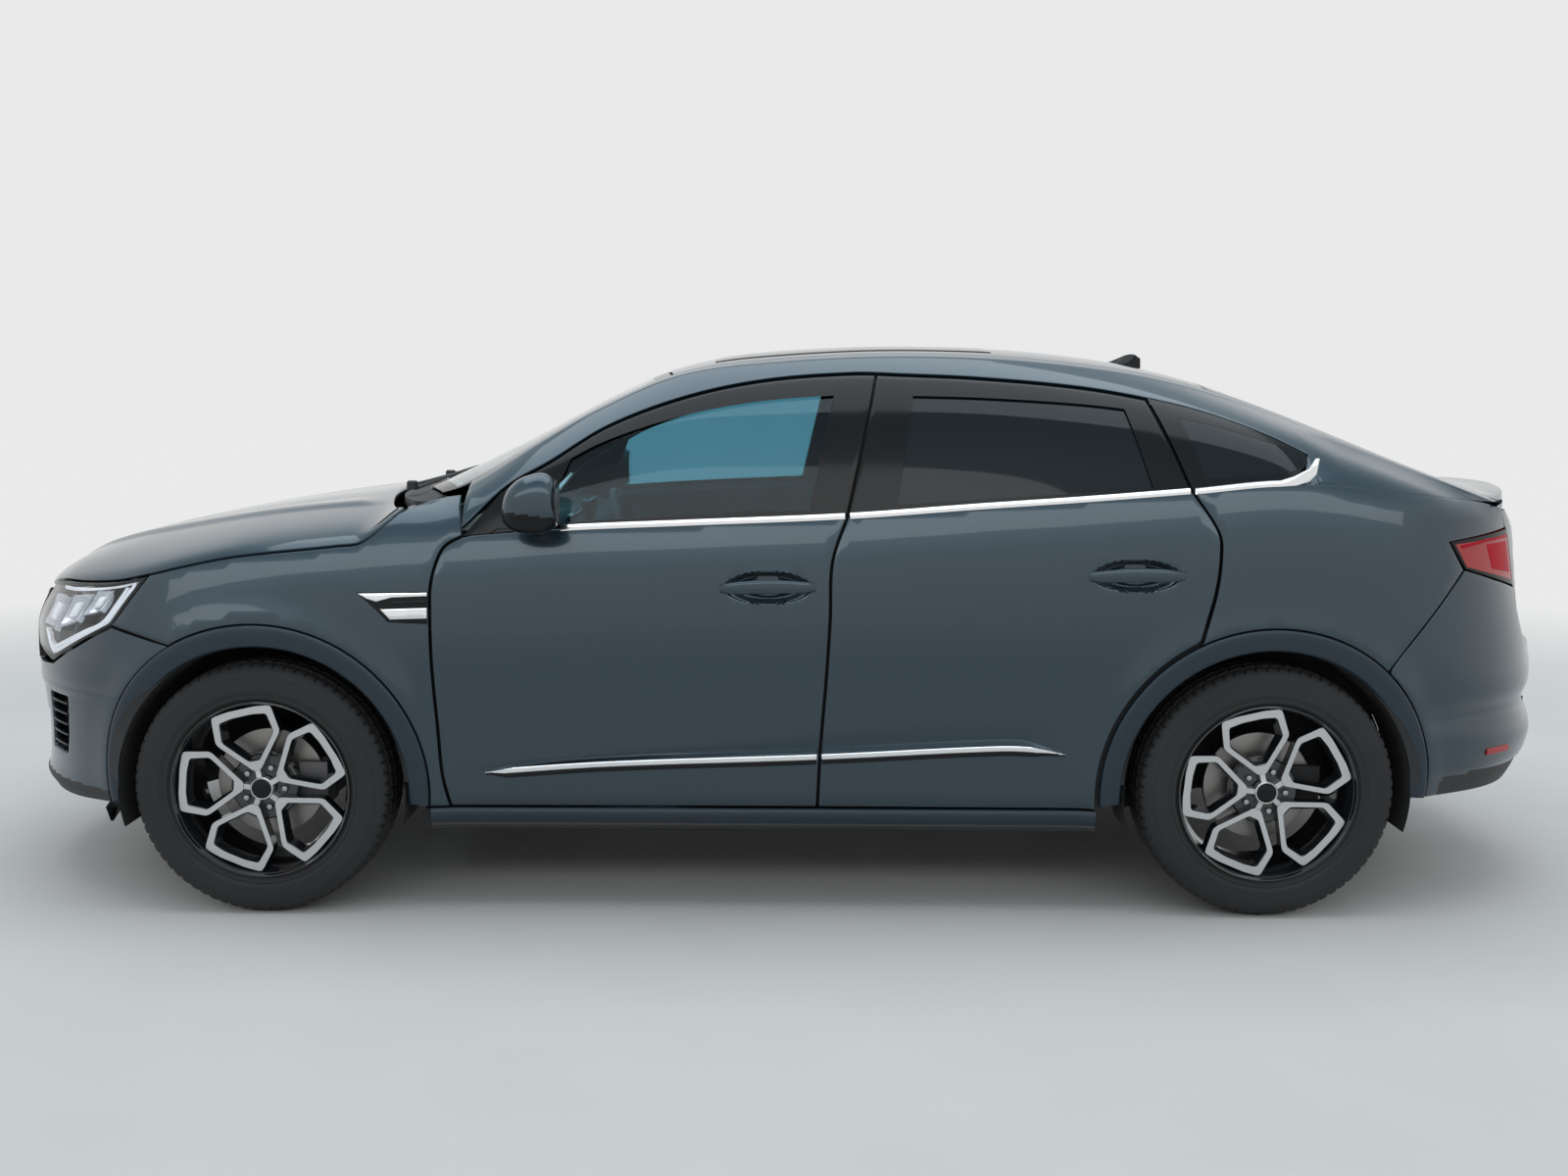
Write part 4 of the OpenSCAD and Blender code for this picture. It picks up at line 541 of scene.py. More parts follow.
class Shell:
    """Points and faces of one piece, in millimetres."""

    def __init__(self) -> None:
        """Start empty."""
        self.points: list[Points] = []
        self.faces: list[tuple[int, ...]] = []
        self.finish_of: list[int] = []
        self.count = 0

    def add(self, points: Points, faces: Iterable[Sequence[int]], finish: int = 0) -> None:
        """Add points with faces that count from the first of them."""
        points = np.asarray(points, float).reshape(-1, 3)
        base = self.count
        made = [tuple(int(i) + base for i in f) for f in faces]
        self.points.append(points)
        self.faces += made
        self.finish_of += [finish] * len(made)
        self.count += len(points)

    def grid(
        self, p: Points, finish: int = 0, wrap: bool = False, flip: bool = False, skip: Points | None = None,
    ) -> None:
        """Add a net of points.

        Args:
            p: Rows by columns of points.
            finish: Index of the finish.
            wrap: Whether the last column joins the first.
            flip: Whether the faces turn over.
            skip: Cells to leave open.
        """
        p = np.asarray(p, float)
        i = np.arange(p.shape[0] * p.shape[1]).reshape(p.shape[:2])
        if wrap:
            i = np.concatenate([i, i[:, :1]], axis=1)
        q = quads(i, skip)
        self.add(p, q[:, ::-1] if flip else q, finish)

    def split(self, p: Points, marked: Points, wrap: bool = False, flip: bool = False) -> None:
        """Add a net with the first finish, and with the second in the marked cells."""
        self.grid(p, 0, wrap, flip, marked)
        self.grid(p, 1, wrap, flip, ~marked)

    def pane(self, p: Points, marked: Points, thick: float = 5.0) -> None:
        """Add both faces of a glass pane; the marked cells are its printed edge."""
        self.split(p, marked, flip=True)
        self.split(p - np.array([0, 0, thick]), marked)

    def panel(
        self, p: Points, depth: float = 14.0, radius: float = 2.0, finish: int = 0,
        skip: Points | None = None, flip: bool = False,
    ) -> None:
        """Add a net of points whose rim rolls over and turns in.

        Args:
            p: Rows by columns of points.
            depth: How far the rim turns in.
            radius: Radius of the rolled edge.
            finish: Index of the finish.
            skip: Cells to leave open.
            flip: Whether the outside is on the other side of the net.
        """
        n, m = p.shape[:2]
        normal = grid_normals(p) * (-1 if flip else 1)
        rows = [0] * m + list(range(1, n)) + [n - 1] * (m - 1) + list(range(n - 2, 0, -1))
        cols = list(range(m)) + [m - 1] * (n - 1) + list(range(m - 2, -1, -1)) + [0] * (n - 2)
        r, c = np.array(rows), np.array(cols)
        edge, nrm = p[r, c], normal[r, c]
        e = edge - p[np.clip(r, 1, n - 2), np.clip(c, 1, m - 2)]
        e = unit(e - (e * nrm).sum(-1, keepdims=True) * nrm)
        top = p.copy()
        top[r, c] = edge - e * radius
        rings = np.stack([edge - (e + nrm) * ROLL * radius, edge - nrm * radius, edge - nrm * depth])
        i = np.arange(n * m).reshape(n, m)
        loop = np.concatenate([i[r, c][None], n * m + np.arange(3 * len(r)).reshape(3, -1)])
        nxt = np.roll(loop, -1, axis=1)
        rim = np.stack([nxt[:-1], loop[:-1], loop[1:], nxt[1:]], -1).reshape(-1, 4)
        faces = quads(i, skip).tolist() + rim.tolist()
        if flip:
            faces = [f[::-1] for f in faces]
        self.add(np.concatenate([top.reshape(-1, 3), rings.reshape(-1, 3)]), faces, finish)

    def skin(
        self, outline: Points, surface: Surface, step: float = 26.0, depth: float = 14.0, radius: float = 2.0,
        finish: int = 0, lift: float = 0.0, dots: Points | None = None,
    ) -> None:
        """Add a curved panel cut to an outline, with a rolled edge.

        Args:
            outline: Closed loop in the surface's own plane.
            surface: Gives the points for places in that plane, at a depth.
            step: Spacing of the net.
            depth: How far the edge turns in.
            radius: Radius of the rolled edge.
            finish: Index of the finish.
            lift: How far the whole panel stands proud.
            dots: Extra points where the surface has relief.
        """
        loop = np.asarray(outline, float)
        nxt = np.roll(loop, -1, 0)
        if np.sum(loop[:, 0] * nxt[:, 1] - nxt[:, 0] * loop[:, 1]) < 0:
            loop = loop[::-1]
        along = unit(np.roll(loop, -1, 0) - np.roll(loop, 1, 0))
        inward = pairs(-along[:, 1], along[:, 0])
        border = loop + inward * radius
        flat = np.concatenate([border, self.filling(border, loop, step, dots)])
        n = len(border)
        edges = [(k, (k + 1) % n) for k in range(n)]
        made = geometry.delaunay_2d_cdt([Vector(q) for q in flat], edges, [], 1, CUT_TOLERANCE)
        plane = np.array([v[:] for v in made[0]], float)
        where = {}
        for k, group in enumerate(made[3]):
            for g in group:
                where.setdefault(g, k)
        rings = [
            surface(loop + inward * ROLL * radius, ROLL * radius - lift),
            surface(loop, radius - lift),
            surface(loop, depth - lift),
        ]
        faces = [list(f) for f in made[2]]
        levels = [[where.get(k, 0) for k in range(n)]]
        levels += [[len(plane) + j * n + k for k in range(n)] for j in range(3)]
        for a, b in zip(levels, levels[1:]):
            faces += [[a[(k + 1) % n], a[k], b[k], b[(k + 1) % n]] for k in range(n)]
        self.add(np.concatenate([surface(plane, -lift)] + rings), faces, finish)

    def filling(self, border: Points, loop: Points, step: float, dots: Points | None) -> Points:
        """Places within a border: an even net, closer where dots are given."""
        lo, hi = loop.min(0), loop.max(0)
        across, up = (np.arange(lo[k] + step / 2, hi[k], step) for k in (0, 1))
        cells = np.stack(np.meshgrid(across, up), -1).reshape(-1, 2)
        cells = cells[inside(cells, border)] if len(cells) else cells
        cells = cells[distance_to(cells, border) > step * 0.5] if len(cells) else cells
        if dots is None:
            return cells
        dots = dots[inside(dots, border)]
        dots = dots[distance_to(dots, border) > DOT_MARGIN]
        near = np.array([np.min(np.abs(dots - c).max(1)) for c in cells])
        return np.concatenate([cells[near > step * 0.55], dots])

    def sweep(self, line: Points, section: Points, out: Sequence[float], finish: int = 0) -> None:
        """Add a bar with closed ends along a line.

        Args:
            line: Points of the line.
            section: Loop of (outward, sideways) pairs, or one such loop for each point.
            out: Outward direction.
            finish: Index of the finish.
        """
        line = np.asarray(line, float)
        t = unit(np.gradient(line, axis=0))
        o = np.broadcast_to(np.asarray(out, float), line.shape)
        o = unit(o - (o * t).sum(1, keepdims=True) * t)
        up = np.cross(t, o)
        sec = np.asarray(section, float)
        sec = np.broadcast_to(sec, (len(line),) + sec.shape[-2:])
        p = line[:, None] + sec[..., :1] * o[:, None] + sec[..., 1:] * up[:, None]
        m = p.shape[1]
        start = self.count
        self.grid(p, finish, wrap=True)
        last = start + (len(line) - 1) * m
        self.faces += [tuple(start + k for k in range(m)), tuple(last + k for k in range(m - 1, -1, -1))]
        self.finish_of += [finish, finish]

    def lathe(self, profile: Sequence[Sequence[float]], turns: int = 96, finish: int = 0) -> None:
        """Add a turned form about the y axis from (radius, y) pairs; y grows outwards from the car."""
        r, y = np.asarray(profile, float).T[..., None]
        a = np.radians(np.linspace(0, 360, turns, endpoint=False))
        self.grid(xyz(r * np.cos(a), y, r * np.sin(a)), finish, wrap=True)

    def block(
        self, lo: Sequence[float], hi: Sequence[float], radius: float = 6.0, finish: int = 0, ease: int = 3,
    ) -> None:
        """Add a box with rounded edges between two corners."""
        lo, hi = np.asarray(lo, float), np.asarray(hi, float)
        half, mid = (hi - lo) / 2, (hi + lo) / 2
        radius = min(radius, float(half.min()) * 0.999)
        k = np.linspace(0, 1, ease + 1)
        c = np.concatenate([-k[::-1], k])
        sign = np.concatenate([-np.ones(ease + 1), np.ones(ease + 1)])
        a, b = np.meshgrid(c, c, indexing="ij")
        sa, sb = np.meshgrid(sign, sign, indexing="ij")
        for axis in range(3):
            for way in (-1, 1):
                d = np.zeros(a.shape + (3,))
                s = np.zeros_like(d)
                u, v = (axis + 1) % 3, (axis + 2) % 3
                d[..., axis], d[..., u], d[..., v] = way, a, b
                s[..., axis], s[..., u], s[..., v] = way, sa, sb
                self.grid(mid + unit(d) * radius + s * (half - radius), finish, flip=way > 0)

    def moved(self, change: Callable[[Points], Points], flip: bool = False) -> "Shell":
        """Copy with its points changed, and its faces turned over where the change mirrors."""
        out = Shell()
        out.points = [change(p) for p in self.points]
        out.faces = [f[::-1] for f in self.faces] if flip else list(self.faces)
        out.finish_of = list(self.finish_of)
        out.count = self.count
        return out

    def mirrored(self) -> "Shell":
        """Copy on the other side of the car."""
        return self.moved(lambda p: p * np.array([1.0, -1.0, 1.0]), flip=True)

    def join(self, other: "Shell") -> "Shell":
        """Add another shell's points and faces."""
        base = self.count
        self.points += other.points
        self.faces += [tuple(i + base for i in f) for f in other.faces]
        self.finish_of += other.finish_of
        self.count += other.count
        return self

    def both(self) -> "Shell":
        """This shell with its mirror image."""
        return Shell().join(self).join(self.mirrored())

    def place(
        self, name: str, body: str, finishes: Sequence["Finish"], slot: str | None = None,
        replaces: Sequence[str] = (), crease: float = 38.0,
    ) -> bpy.types.Object:
        """Make the Blender object and set it on its body.

        Args:
            name: Name of the piece.
            body: CAD body that it rides on.
            finishes: Finishes by index.
            slot: Material slot; not used.
            replaces: CAD nodes that it stands for.
            crease: Edges that bend more than this many degrees stay sharp.

        Returns:
            The new object.
        """
        mesh = bpy.data.meshes.new(name)
        mesh.from_pydata((np.concatenate(self.points) * METRE).tolist(), [], self.faces)
        mesh.polygons.foreach_set("material_index", np.array(self.finish_of, np.int32))
        mesh.polygons.foreach_set("use_smooth", np.ones(len(self.faces), bool))
        mesh.validate()
        weld(mesh)
        mesh.set_sharp_from_angle(angle=math.radians(crease))
        for f in finishes:
            mesh.materials.append(f.material())
        obj = bpy.data.objects.new(name, mesh)
        bpy.context.scene.collection.objects.link(obj)
        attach(obj, body)
        if replaces:
            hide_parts(*replaces)
        LOG.info("piece %s on %s: %d faces", name, body, len(mesh.polygons))
        return obj


def weld(mesh: bpy.types.Mesh) -> None:
    """Join points of a mesh that lie on each other."""
    work = bmesh.new()
    work.from_mesh(mesh)
    bmesh.ops.remove_doubles(work, verts=work.verts, dist=WELD)
    work.to_mesh(mesh)
    work.free()


def add_node(
    tree: bpy.types.NodeTree, kind: str, values: dict[str | int, Any] | None = None,
    links: dict[str | int, bpy.types.NodeSocket] | None = None, **settings: str,
) -> bpy.types.Node:
    """Add a shader node.

    Args:
        tree: Node tree that it joins.
        kind: Node type after "ShaderNode".
        values: Values of inputs, by name or place.
        links: Sockets that feed inputs, by name or place.
        settings: Settings of the node itself.

    Returns:
        The new node.
    """
    node = tree.nodes.new("ShaderNode" + kind)
    for key, value in settings.items():
        setattr(node, key, value)
    for key, value in (values or {}).items():
        node.inputs[key].default_value = value
    for key, source in (links or {}).items():
        tree.links.new(source, node.inputs[key])
    return node


@dataclass(frozen=True)
class Finish:
    """One procedural finish."""

    name: str
    colour: tuple[float, float, float]
    rough: float = 0.5
    metal: float = 0.0
    coat: float = 0.0
    clear: float = 0.0
    ior: float = 1.5
    glow: float = 0.0
    tone: float = 0.12
    texture: Texture = Texture.SMOOTH
    scale: float = 60.0
    bump: float = 0.0
    sheen: float = 0.0
    coat_rough: float = 0.03
    wear: float = 0.18
    wear_scale: float = 3.0
    wear_detail: float = 6.0
    bump_depth: float = 0.001

    def material(self) -> bpy.types.Material:
        """The Blender material, made on first use.

        Returns:
            The material of this finish.
        """
        found = bpy.data.materials.get(self.name)
        if found:
            return found
        made = bpy.data.materials.new(self.name)
        made.use_nodes = True
        tree = made.node_tree
        shader = tree.nodes["Principled BSDF"]
        for socket, value in {
            "Metallic": self.metal,
            "Coat Weight": self.coat,
            "Coat Roughness": self.coat_rough,
            "Transmission Weight": self.clear,
            "IOR": self.ior,
            "Emission Strength": self.glow,
            "Emission Color": (*self.colour, 1),
            "Sheen Weight": self.sheen,
        }.items():
            shader.inputs[socket].default_value = value
        place = add_node(tree, "TexCoord").outputs["Object"]
        pattern = self.pattern(tree, place)
        dark, pale = ((*[min(1.0, c * k) for c in self.colour], 1) for k in (1 - self.tone, 1 + self.tone))
        blend = add_node(tree, "Mix", {6: dark, 7: pale}, {0: pattern}, data_type="RGBA")
        tree.links.new(blend.outputs[2], shader.inputs["Base Color"])
        noise = {"Scale": self.wear_scale, "Detail": self.wear_detail}
        worn = add_node(tree, "TexNoise", noise, {"Vector": place})
        limits = {"To Min": self.rough * (1 - self.wear), "To Max": min(1.0, self.rough * (1 + self.wear))}
        span = add_node(tree, "MapRange", limits, {"Value": worn.outputs["Fac"]})
        tree.links.new(span.outputs["Result"], shader.inputs["Roughness"])
        if self.bump > 0:
            depth = {"Strength": self.bump, "Distance": self.bump_depth}
            relief = add_node(tree, "Bump", depth, {"Height": pattern})
            tree.links.new(relief.outputs["Normal"], shader.inputs["Normal"])
        return made

    def pattern(self, tree: bpy.types.NodeTree, place: bpy.types.NodeSocket) -> bpy.types.NodeSocket:
        """Nodes of the fine pattern.

        Args:
            tree: Node tree of the material.
            place: Object coordinates.

        Returns:
            Socket with a value from 0 to 1.
        """
        scale, at = {"Scale": self.scale}, {"Vector": place}
        if self.texture is Texture.FLAKE:
            return add_node(tree, "TexVoronoi", scale, at).outputs["Distance"]
        if self.texture is Texture.GRAIN:
            return add_node(tree, "TexVoronoi", scale, at, feature="SMOOTH_F1").outputs["Distance"]
        if self.texture is Texture.WEAVE:
            both = add_node(tree, "Math", operation="MULTIPLY")
            for k, way in enumerate(("X", "Z")):
                wave = add_node(tree, "TexWave", {**scale, "Distortion": 1.2}, at, bands_direction=way)
                tree.links.new(wave.outputs["Fac"], both.inputs[k])
            return both.outputs[0]
        if self.texture is Texture.BRUSHED:
            stretch = add_node(tree, "Mapping", {"Scale": (1.0, 0.05, 1.0)}, at)
            at = {"Vector": stretch.outputs["Vector"]}
            return add_node(tree, "TexNoise", scale, at).outputs["Fac"]
        detail = 8.0 if self.texture is Texture.CAST else 3.0
        return add_node(tree, "TexNoise", {**scale, "Detail": detail}, at).outputs["Fac"]


PAINT = Finish(
    "slate_paint", (0.029, 0.052, 0.07), 0.3, 0.78, coat=0.8, tone=0.16, texture=Texture.FLAKE, scale=900,
)
SATIN = Finish(
    "satin_slate", (0.012, 0.028, 0.043), 0.46, 0.3, coat=0.25, texture=Texture.GRAIN, scale=500, bump=0.05,
)
GLOSS_BLACK = Finish("gloss_black", (0.005, 0.006, 0.007), 0.14, ior=1.32, scale=8)
BLACK = Finish("grained_black", (0.016, 0.016, 0.017), 0.55, texture=Texture.GRAIN, scale=900, bump=0.25)
RUBBER = Finish("seal_rubber", (0.012, 0.012, 0.012), 0.7, texture=Texture.CAST, scale=300, bump=0.1)
CHROME = Finish("bright_trim", (0.86, 0.87, 0.88), 0.1, 1.0, tone=0.04, scale=20)
CLEAR_GLASS = Finish("tinted_glass", (0.25, 0.48, 0.56), 0.02, clear=1.0, tone=0.02, scale=2, ior=1.3)
DARK_GLASS = Finish("privacy_glass", (0.006, 0.014, 0.02), 0.03, clear=0.35, tone=0.05, scale=2, ior=1.36)
SCREEN_GLASS = Finish("screen_glass", (0.7, 0.88, 0.9), 0.02, clear=1.0, tone=0.02, scale=2)
ROOF_GLASS = Finish("roof_glass", (0.008, 0.01, 0.012), 0.06, ior=1.4, scale=3)
LENS = Finish("clear_lens", (0.95, 0.97, 1.0), 0.02, clear=1.0, tone=0.01, scale=2, ior=1.3)
LIGHT_GUIDE = Finish("light_guide", (0.82, 0.85, 0.88), 0.25, glow=0.2, tone=0.02, scale=40)
REFLECTOR = Finish("lamp_reflector", (0.5, 0.53, 0.57), 0.16, 1.0, scale=30)
RED_LENS = Finish("red_lens", (0.06, 0.001, 0.003), 0.16, clear=0.2, ior=1.12, scale=40)
RED_GLOW = Finish("red_light_guide", (0.42, 0.008, 0.02), 0.2, glow=0.06, ior=1.12, scale=60)
TYRE = Finish(
    "tyre_rubber", (0.013, 0.013, 0.014), 0.72, texture=Texture.CAST, scale=120, bump=0.12, tone=0.25,
)
MACHINED = Finish(
    "machined_alloy", (0.56, 0.57, 0.58), 0.3, 1.0, texture=Texture.BRUSHED, scale=900, bump=0.04,
)
BLACK_ALLOY = Finish("black_alloy", (0.01, 0.011, 0.013), 0.22, coat=0.8, scale=30)
IRON = Finish("brake_iron", (0.28, 0.27, 0.26), 0.42, 0.9, texture=Texture.BRUSHED, scale=500, bump=0.1)
CAST = Finish("cast_metal", (0.16, 0.16, 0.165), 0.6, 0.7, texture=Texture.CAST, scale=90, bump=0.3)
UNDERSEAL = Finish("underseal", (0.018, 0.018, 0.019), 0.8, texture=Texture.CAST, scale=140, bump=0.4)
FELT = Finish("arch_felt", (0.02, 0.02, 0.021), 0.92, texture=Texture.CAST, scale=500, bump=0.5)
CLOTH = Finish(
    "seat_cloth", (0.05, 0.052, 0.056), 0.85, texture=Texture.WEAVE, scale=260, bump=0.5, sheen=0.3,
)
LEATHER = Finish("seat_side_leather", (0.03, 0.031, 0.034), 0.48, texture=Texture.GRAIN, scale=420, bump=0.35)
SOFT_TRIM = Finish("soft_dash", (0.028, 0.029, 0.031), 0.6, texture=Texture.GRAIN, scale=700, bump=0.3)
PALE_LINING = Finish("roof_lining", (0.34, 0.34, 0.33), 0.9, texture=Texture.WEAVE, scale=500, bump=0.2)
CARPET = Finish("carpet", (0.02, 0.02, 0.022), 0.95, texture=Texture.CAST, scale=900, bump=0.8)
DISPLAY = Finish("dark_display", (0.008, 0.01, 0.014), 0.08, coat=1.0, scale=6)
MIRROR = Finish("mirror_glass", (0.82, 0.85, 0.88), 0.02, 1.0, tone=0.01, scale=3)
STEEL = Finish("bright_steel", (0.4, 0.4, 0.41), 0.35, 1.0, texture=Texture.BRUSHED, scale=300, bump=0.08)
FLOOR = Finish("pale_floor", (0.66, 0.655, 0.64), 0.7, texture=Texture.CAST, scale=2.2, tone=0.05)


def side_surface(detail: Callable[[Points, Points], Points] | None = None) -> Surface:
    """Surface of the left side over (x, z).

    Args:
        detail: Extra outward form, if any.

    Returns:
        Function of places and a depth.
    """

    def at(p: Points, depth: float) -> Points:
        """Points of the side."""
        x, z = p.T
        w = skin_w(x, z)
        if detail:
            w = w + detail(x, z)
        return xyz(x, -w + depth, z)

    return at


def scoop(x: Points, z: Points) -> Points:
    """Hollow of the doors above the lower bright strip."""
    rise = 16 + 70 * ramp(x, -700, 560)
    over = z - STRIP_Z(x)
    shape = np.where(over < 0, ramp(over, -9.0, -1.0), (1 - np.clip(over / rise, 0, 1)) ** 1.3)
    return -17 * shape * ramp(x, -860, -560) * (1 - ramp(x, 620, 775))


@dataclass
class Wheel:
    """One wheel: tyre, alloy rim, brake disc and nuts, built about its centre."""

    body: str
    rim_node: str
    tyre_node: str
    x: float
    side: Side
    turns: int = 180
    loops: int = 5
    first_loop: float = 31.0
    face: float = 86.0
    nut_circle: float = 57.0
    nut_turn: float = -35.0
    petal_middle: float = 148.0
    petal_points: int = 72
    wall_tall: float = 97.0
    half: float = TYRE_W / 2

    def build(self) -> None:
        """Make the tyre and the rim."""
        self.to_car(self.tyre()).place(
            self.tyre_node + "_dressed", self.body, [TYRE], "tyre", [self.tyre_node], 30,
        )
        self.to_car(self.rim()).place(
            self.rim_node + "_dressed", self.body, [MACHINED, BLACK_ALLOY, IRON, STEEL, GLOSS_BLACK], "alloy",
            [self.rim_node], 28,
        )

    def to_car(self, shell: Shell) -> Shell:
        """Move a shell from the wheel's centre, y outwards, to its place."""
        s = self.side.value
        return shell.moved(
            lambda p: xyz(p[:, 0] + self.x, s * (WHEEL_Y + p[:, 1]), p[:, 2] + AXLE_Z), flip=s < 0,
        )

    def tyre(self) -> Shell:
        """Tyre with ribs on its walls, grooves round it and blocks at the shoulders."""
        w = self.half
        deep = (TYRE_R - RIM_R - 10) / self.wall_tall
        wall = [(RIM_R - 7, w - 16)]
        wall += [(RIM_R + deep * d, w - e) for d, e in (
            (2, 11), (8, 8.5), (12, 3.5), (18, 3), (21, 4.6), (30, 1.6), (31, 0.4), (52, 0), (68, 2.2),
            (69, 3.6), (78, 5.4), (90, 12), (97, 17))]
        wall += [(TYRE_R - d, w - e) for d, e in (
            (5.5, 23), (3.2, 32), (1.8, 44), (8.5, 45), (8.5, 53), (1.2, 54), (0.4, 68), (0, 82), (7.5, 83),
            (7.5, 92), (0, 93), (0, 107.5))]
        profile = np.array(wall + [(r, -y) for r, y in wall[-2::-1]])
        n = self.turns * 2
        a = np.arange(n)
        r = np.repeat(profile[:, :1], n, axis=1)
        aside = np.abs(profile[:, 1])
        tread = profile[:, 0] > TYRE_R - 11
        shoulder = tread & (aside > w - 46)
        rib = tread & (aside < w - 50) & (profile[:, 0] > TYRE_R - 3)
        r[shoulder] -= 5.5 * (a % 5 == 0)
        r[rib] -= 3.5 * ((a + 2) % 6 == 0)
        t = np.radians(a * 360 / n)[None] + np.where(tread, aside * 0.0005, 0)[:, None]
        shell = Shell()
        shell.grid(xyz(r * np.cos(t), profile[:, 1:], r * np.sin(t)), 0, wrap=True)
        return shell

    def petal(self, rows: Sequence[Sequence[float]]) -> Points:
        """Closed loop of one petal from half its outline, about the x axis.

        Args:
            rows: (along, half width) pairs from the hub outwards.

        Returns:
            The loop at even turns about its middle, each corner softened.
        """
        half = np.array(rows, float)
        loop = np.concatenate([half * [1, -1], half[::-1]])
        for _ in range(2):
            nxt = np.roll(loop, -1, 0)
            loop = np.stack([loop * 0.93 + nxt * 0.07, loop * 0.07 + nxt * 0.93], 1).reshape(-1, 2)
        d = np.degrees(np.arctan2(loop[:, 1], loop[:, 0] - self.petal_middle)) % 360
        order = np.argsort(d)
        d, q = d[order], loop[order]
        at = np.arange(self.petal_points) * 360 / self.petal_points
        around = np.concatenate([d - 360, d, d + 360])
        q = np.concatenate([q, q, q])
        return np.stack([np.interp(at, around, q[:, k]) for k in (0, 1)], -1)

    def ring_between(self, shell: Shell, a: Points, b: Points, turn: float) -> None:
        """Add one petal between two loops: bright face, dark walls outside and inside."""
        c = np.array([self.petal_middle, 0.0])
        t = math.radians(turn)
        spin = np.array([[math.cos(t), -math.sin(t)], [math.sin(t), math.cos(t)]])

        def lay(q: Points, below: float) -> Points:
            """Loop below the dished face, turned to its place."""
            dish = 5.0 * np.clip((215 - np.hypot(q[:, 0], q[:, 1])) / 150, 0, 1) ** 2
            x, z = (q @ spin.T).T
            return xyz(x, self.face - dish - below, z)

        outer, inner, back = mix(c, a, 0.985), mix(c, b, 1.03), mix(c, b, 0.9)
        for finish, rows in (
            (0, ((outer, 0), (inner, 0))), (1, ((a, 1.8), (outer, 0))), (1, ((a, 34), (a, 1.8))),
            (1, ((inner, 0), (b, 2.4), (back, 36))),
        ):
            shell.grid(np.stack([lay(q, below) for q, below in rows]), finish, wrap=True)

    def rim(self) -> Shell:
        """Alloy rim with its petals, hub, nuts, centre cap and brake disc."""
        w, f, r = self.half, self.face, RIM_R
        shell = Shell()
        shell.lathe(
            [(r + 1.5, w - 9), (r + 2, w - 4.5), (r + 0.5, w - 3), (r - 2, w - 3.4), (r - 3.2, w - 6),
             (r - 4, w - 16), (r - 12, w - 34), (r - 22, w - 60), (r - 26, 0), (r - 24, 20 - w),
             (r - 14, 6 - w), (r + 2, 2 - w), (r + 1.5, 9 - w)], self.turns, 1,
        )
        outer = self.petal([(50, 11), (67, 25), (143, 91), (219, 84), (225, 38)])
        inner = self.petal([(79, 14), (145, 71), (197, 64), (203, 27)])
        turns = [self.first_loop + 360 * k / self.loops for k in range(self.loops)]
        for turn in turns:
            self.ring_between(shell, outer, inner, turn)
        shell.lathe([(0, f - 26), (88, f - 26), (92, f - 30), (92, f - 52), (60, f - 60), (60, -16)], 72, 1)
        shell.lathe([(0, f + 3), (20, f + 3), (24.5, f + 1.5), (26, f - 1)], 48, 4)
        shell.lathe([(26, f - 0.5), (27, f + 2), (29.5, f + 2.4), (31.5, f), (32, f - 20)], 48, 0)
        for turn in turns:
            t = math.radians(turn)
            bar = [(math.cos(t) * q, f - below, math.sin(t) * q) for q, below in ((29, 3), (42, 6), (68, 6))]
            shell.sweep(bar, slab(0, 7, 20, 9), ALONG_Y, 0)
            t = math.radians(turn + self.nut_turn)
            self.nut(shell, math.cos(t) * self.nut_circle, math.sin(t) * self.nut_circle)
        shell.lathe(
            [(70, -2), (72, 1.2), (76, 2), (142, 2), (147.5, 1), (148, -4), (148, -14), (147.5, -18),
             (76, -18), (70, -12)], 96, 2,
        )
        shell.lathe([(66, -18), (68, 14), (70, 16), (60, 20), (22, 20)], 48, 2)
        return shell

    def nut(self, shell: Shell, x: float, z: float) -> None:
        """Add a wheel nut in its pocket."""
        y = self.face - 22
        nut = [(9.5, y - 12), (9.5, y + 4), (7.5, y + 7), (3, y + 8.2), (0.2, y + 8.4)]
        seat = [(15, y - 3.8), (13, y - 3.4), (11.5, y - 8)]
        for sides, rows, finish in ((6, nut, 3), (24, seat, 1)):
            a = circle(sides)
            shell.grid(
                np.stack([xyz(x + r * np.cos(a), h, z + r * np.sin(a)) for r, h in rows]), finish, wrap=True,
            )


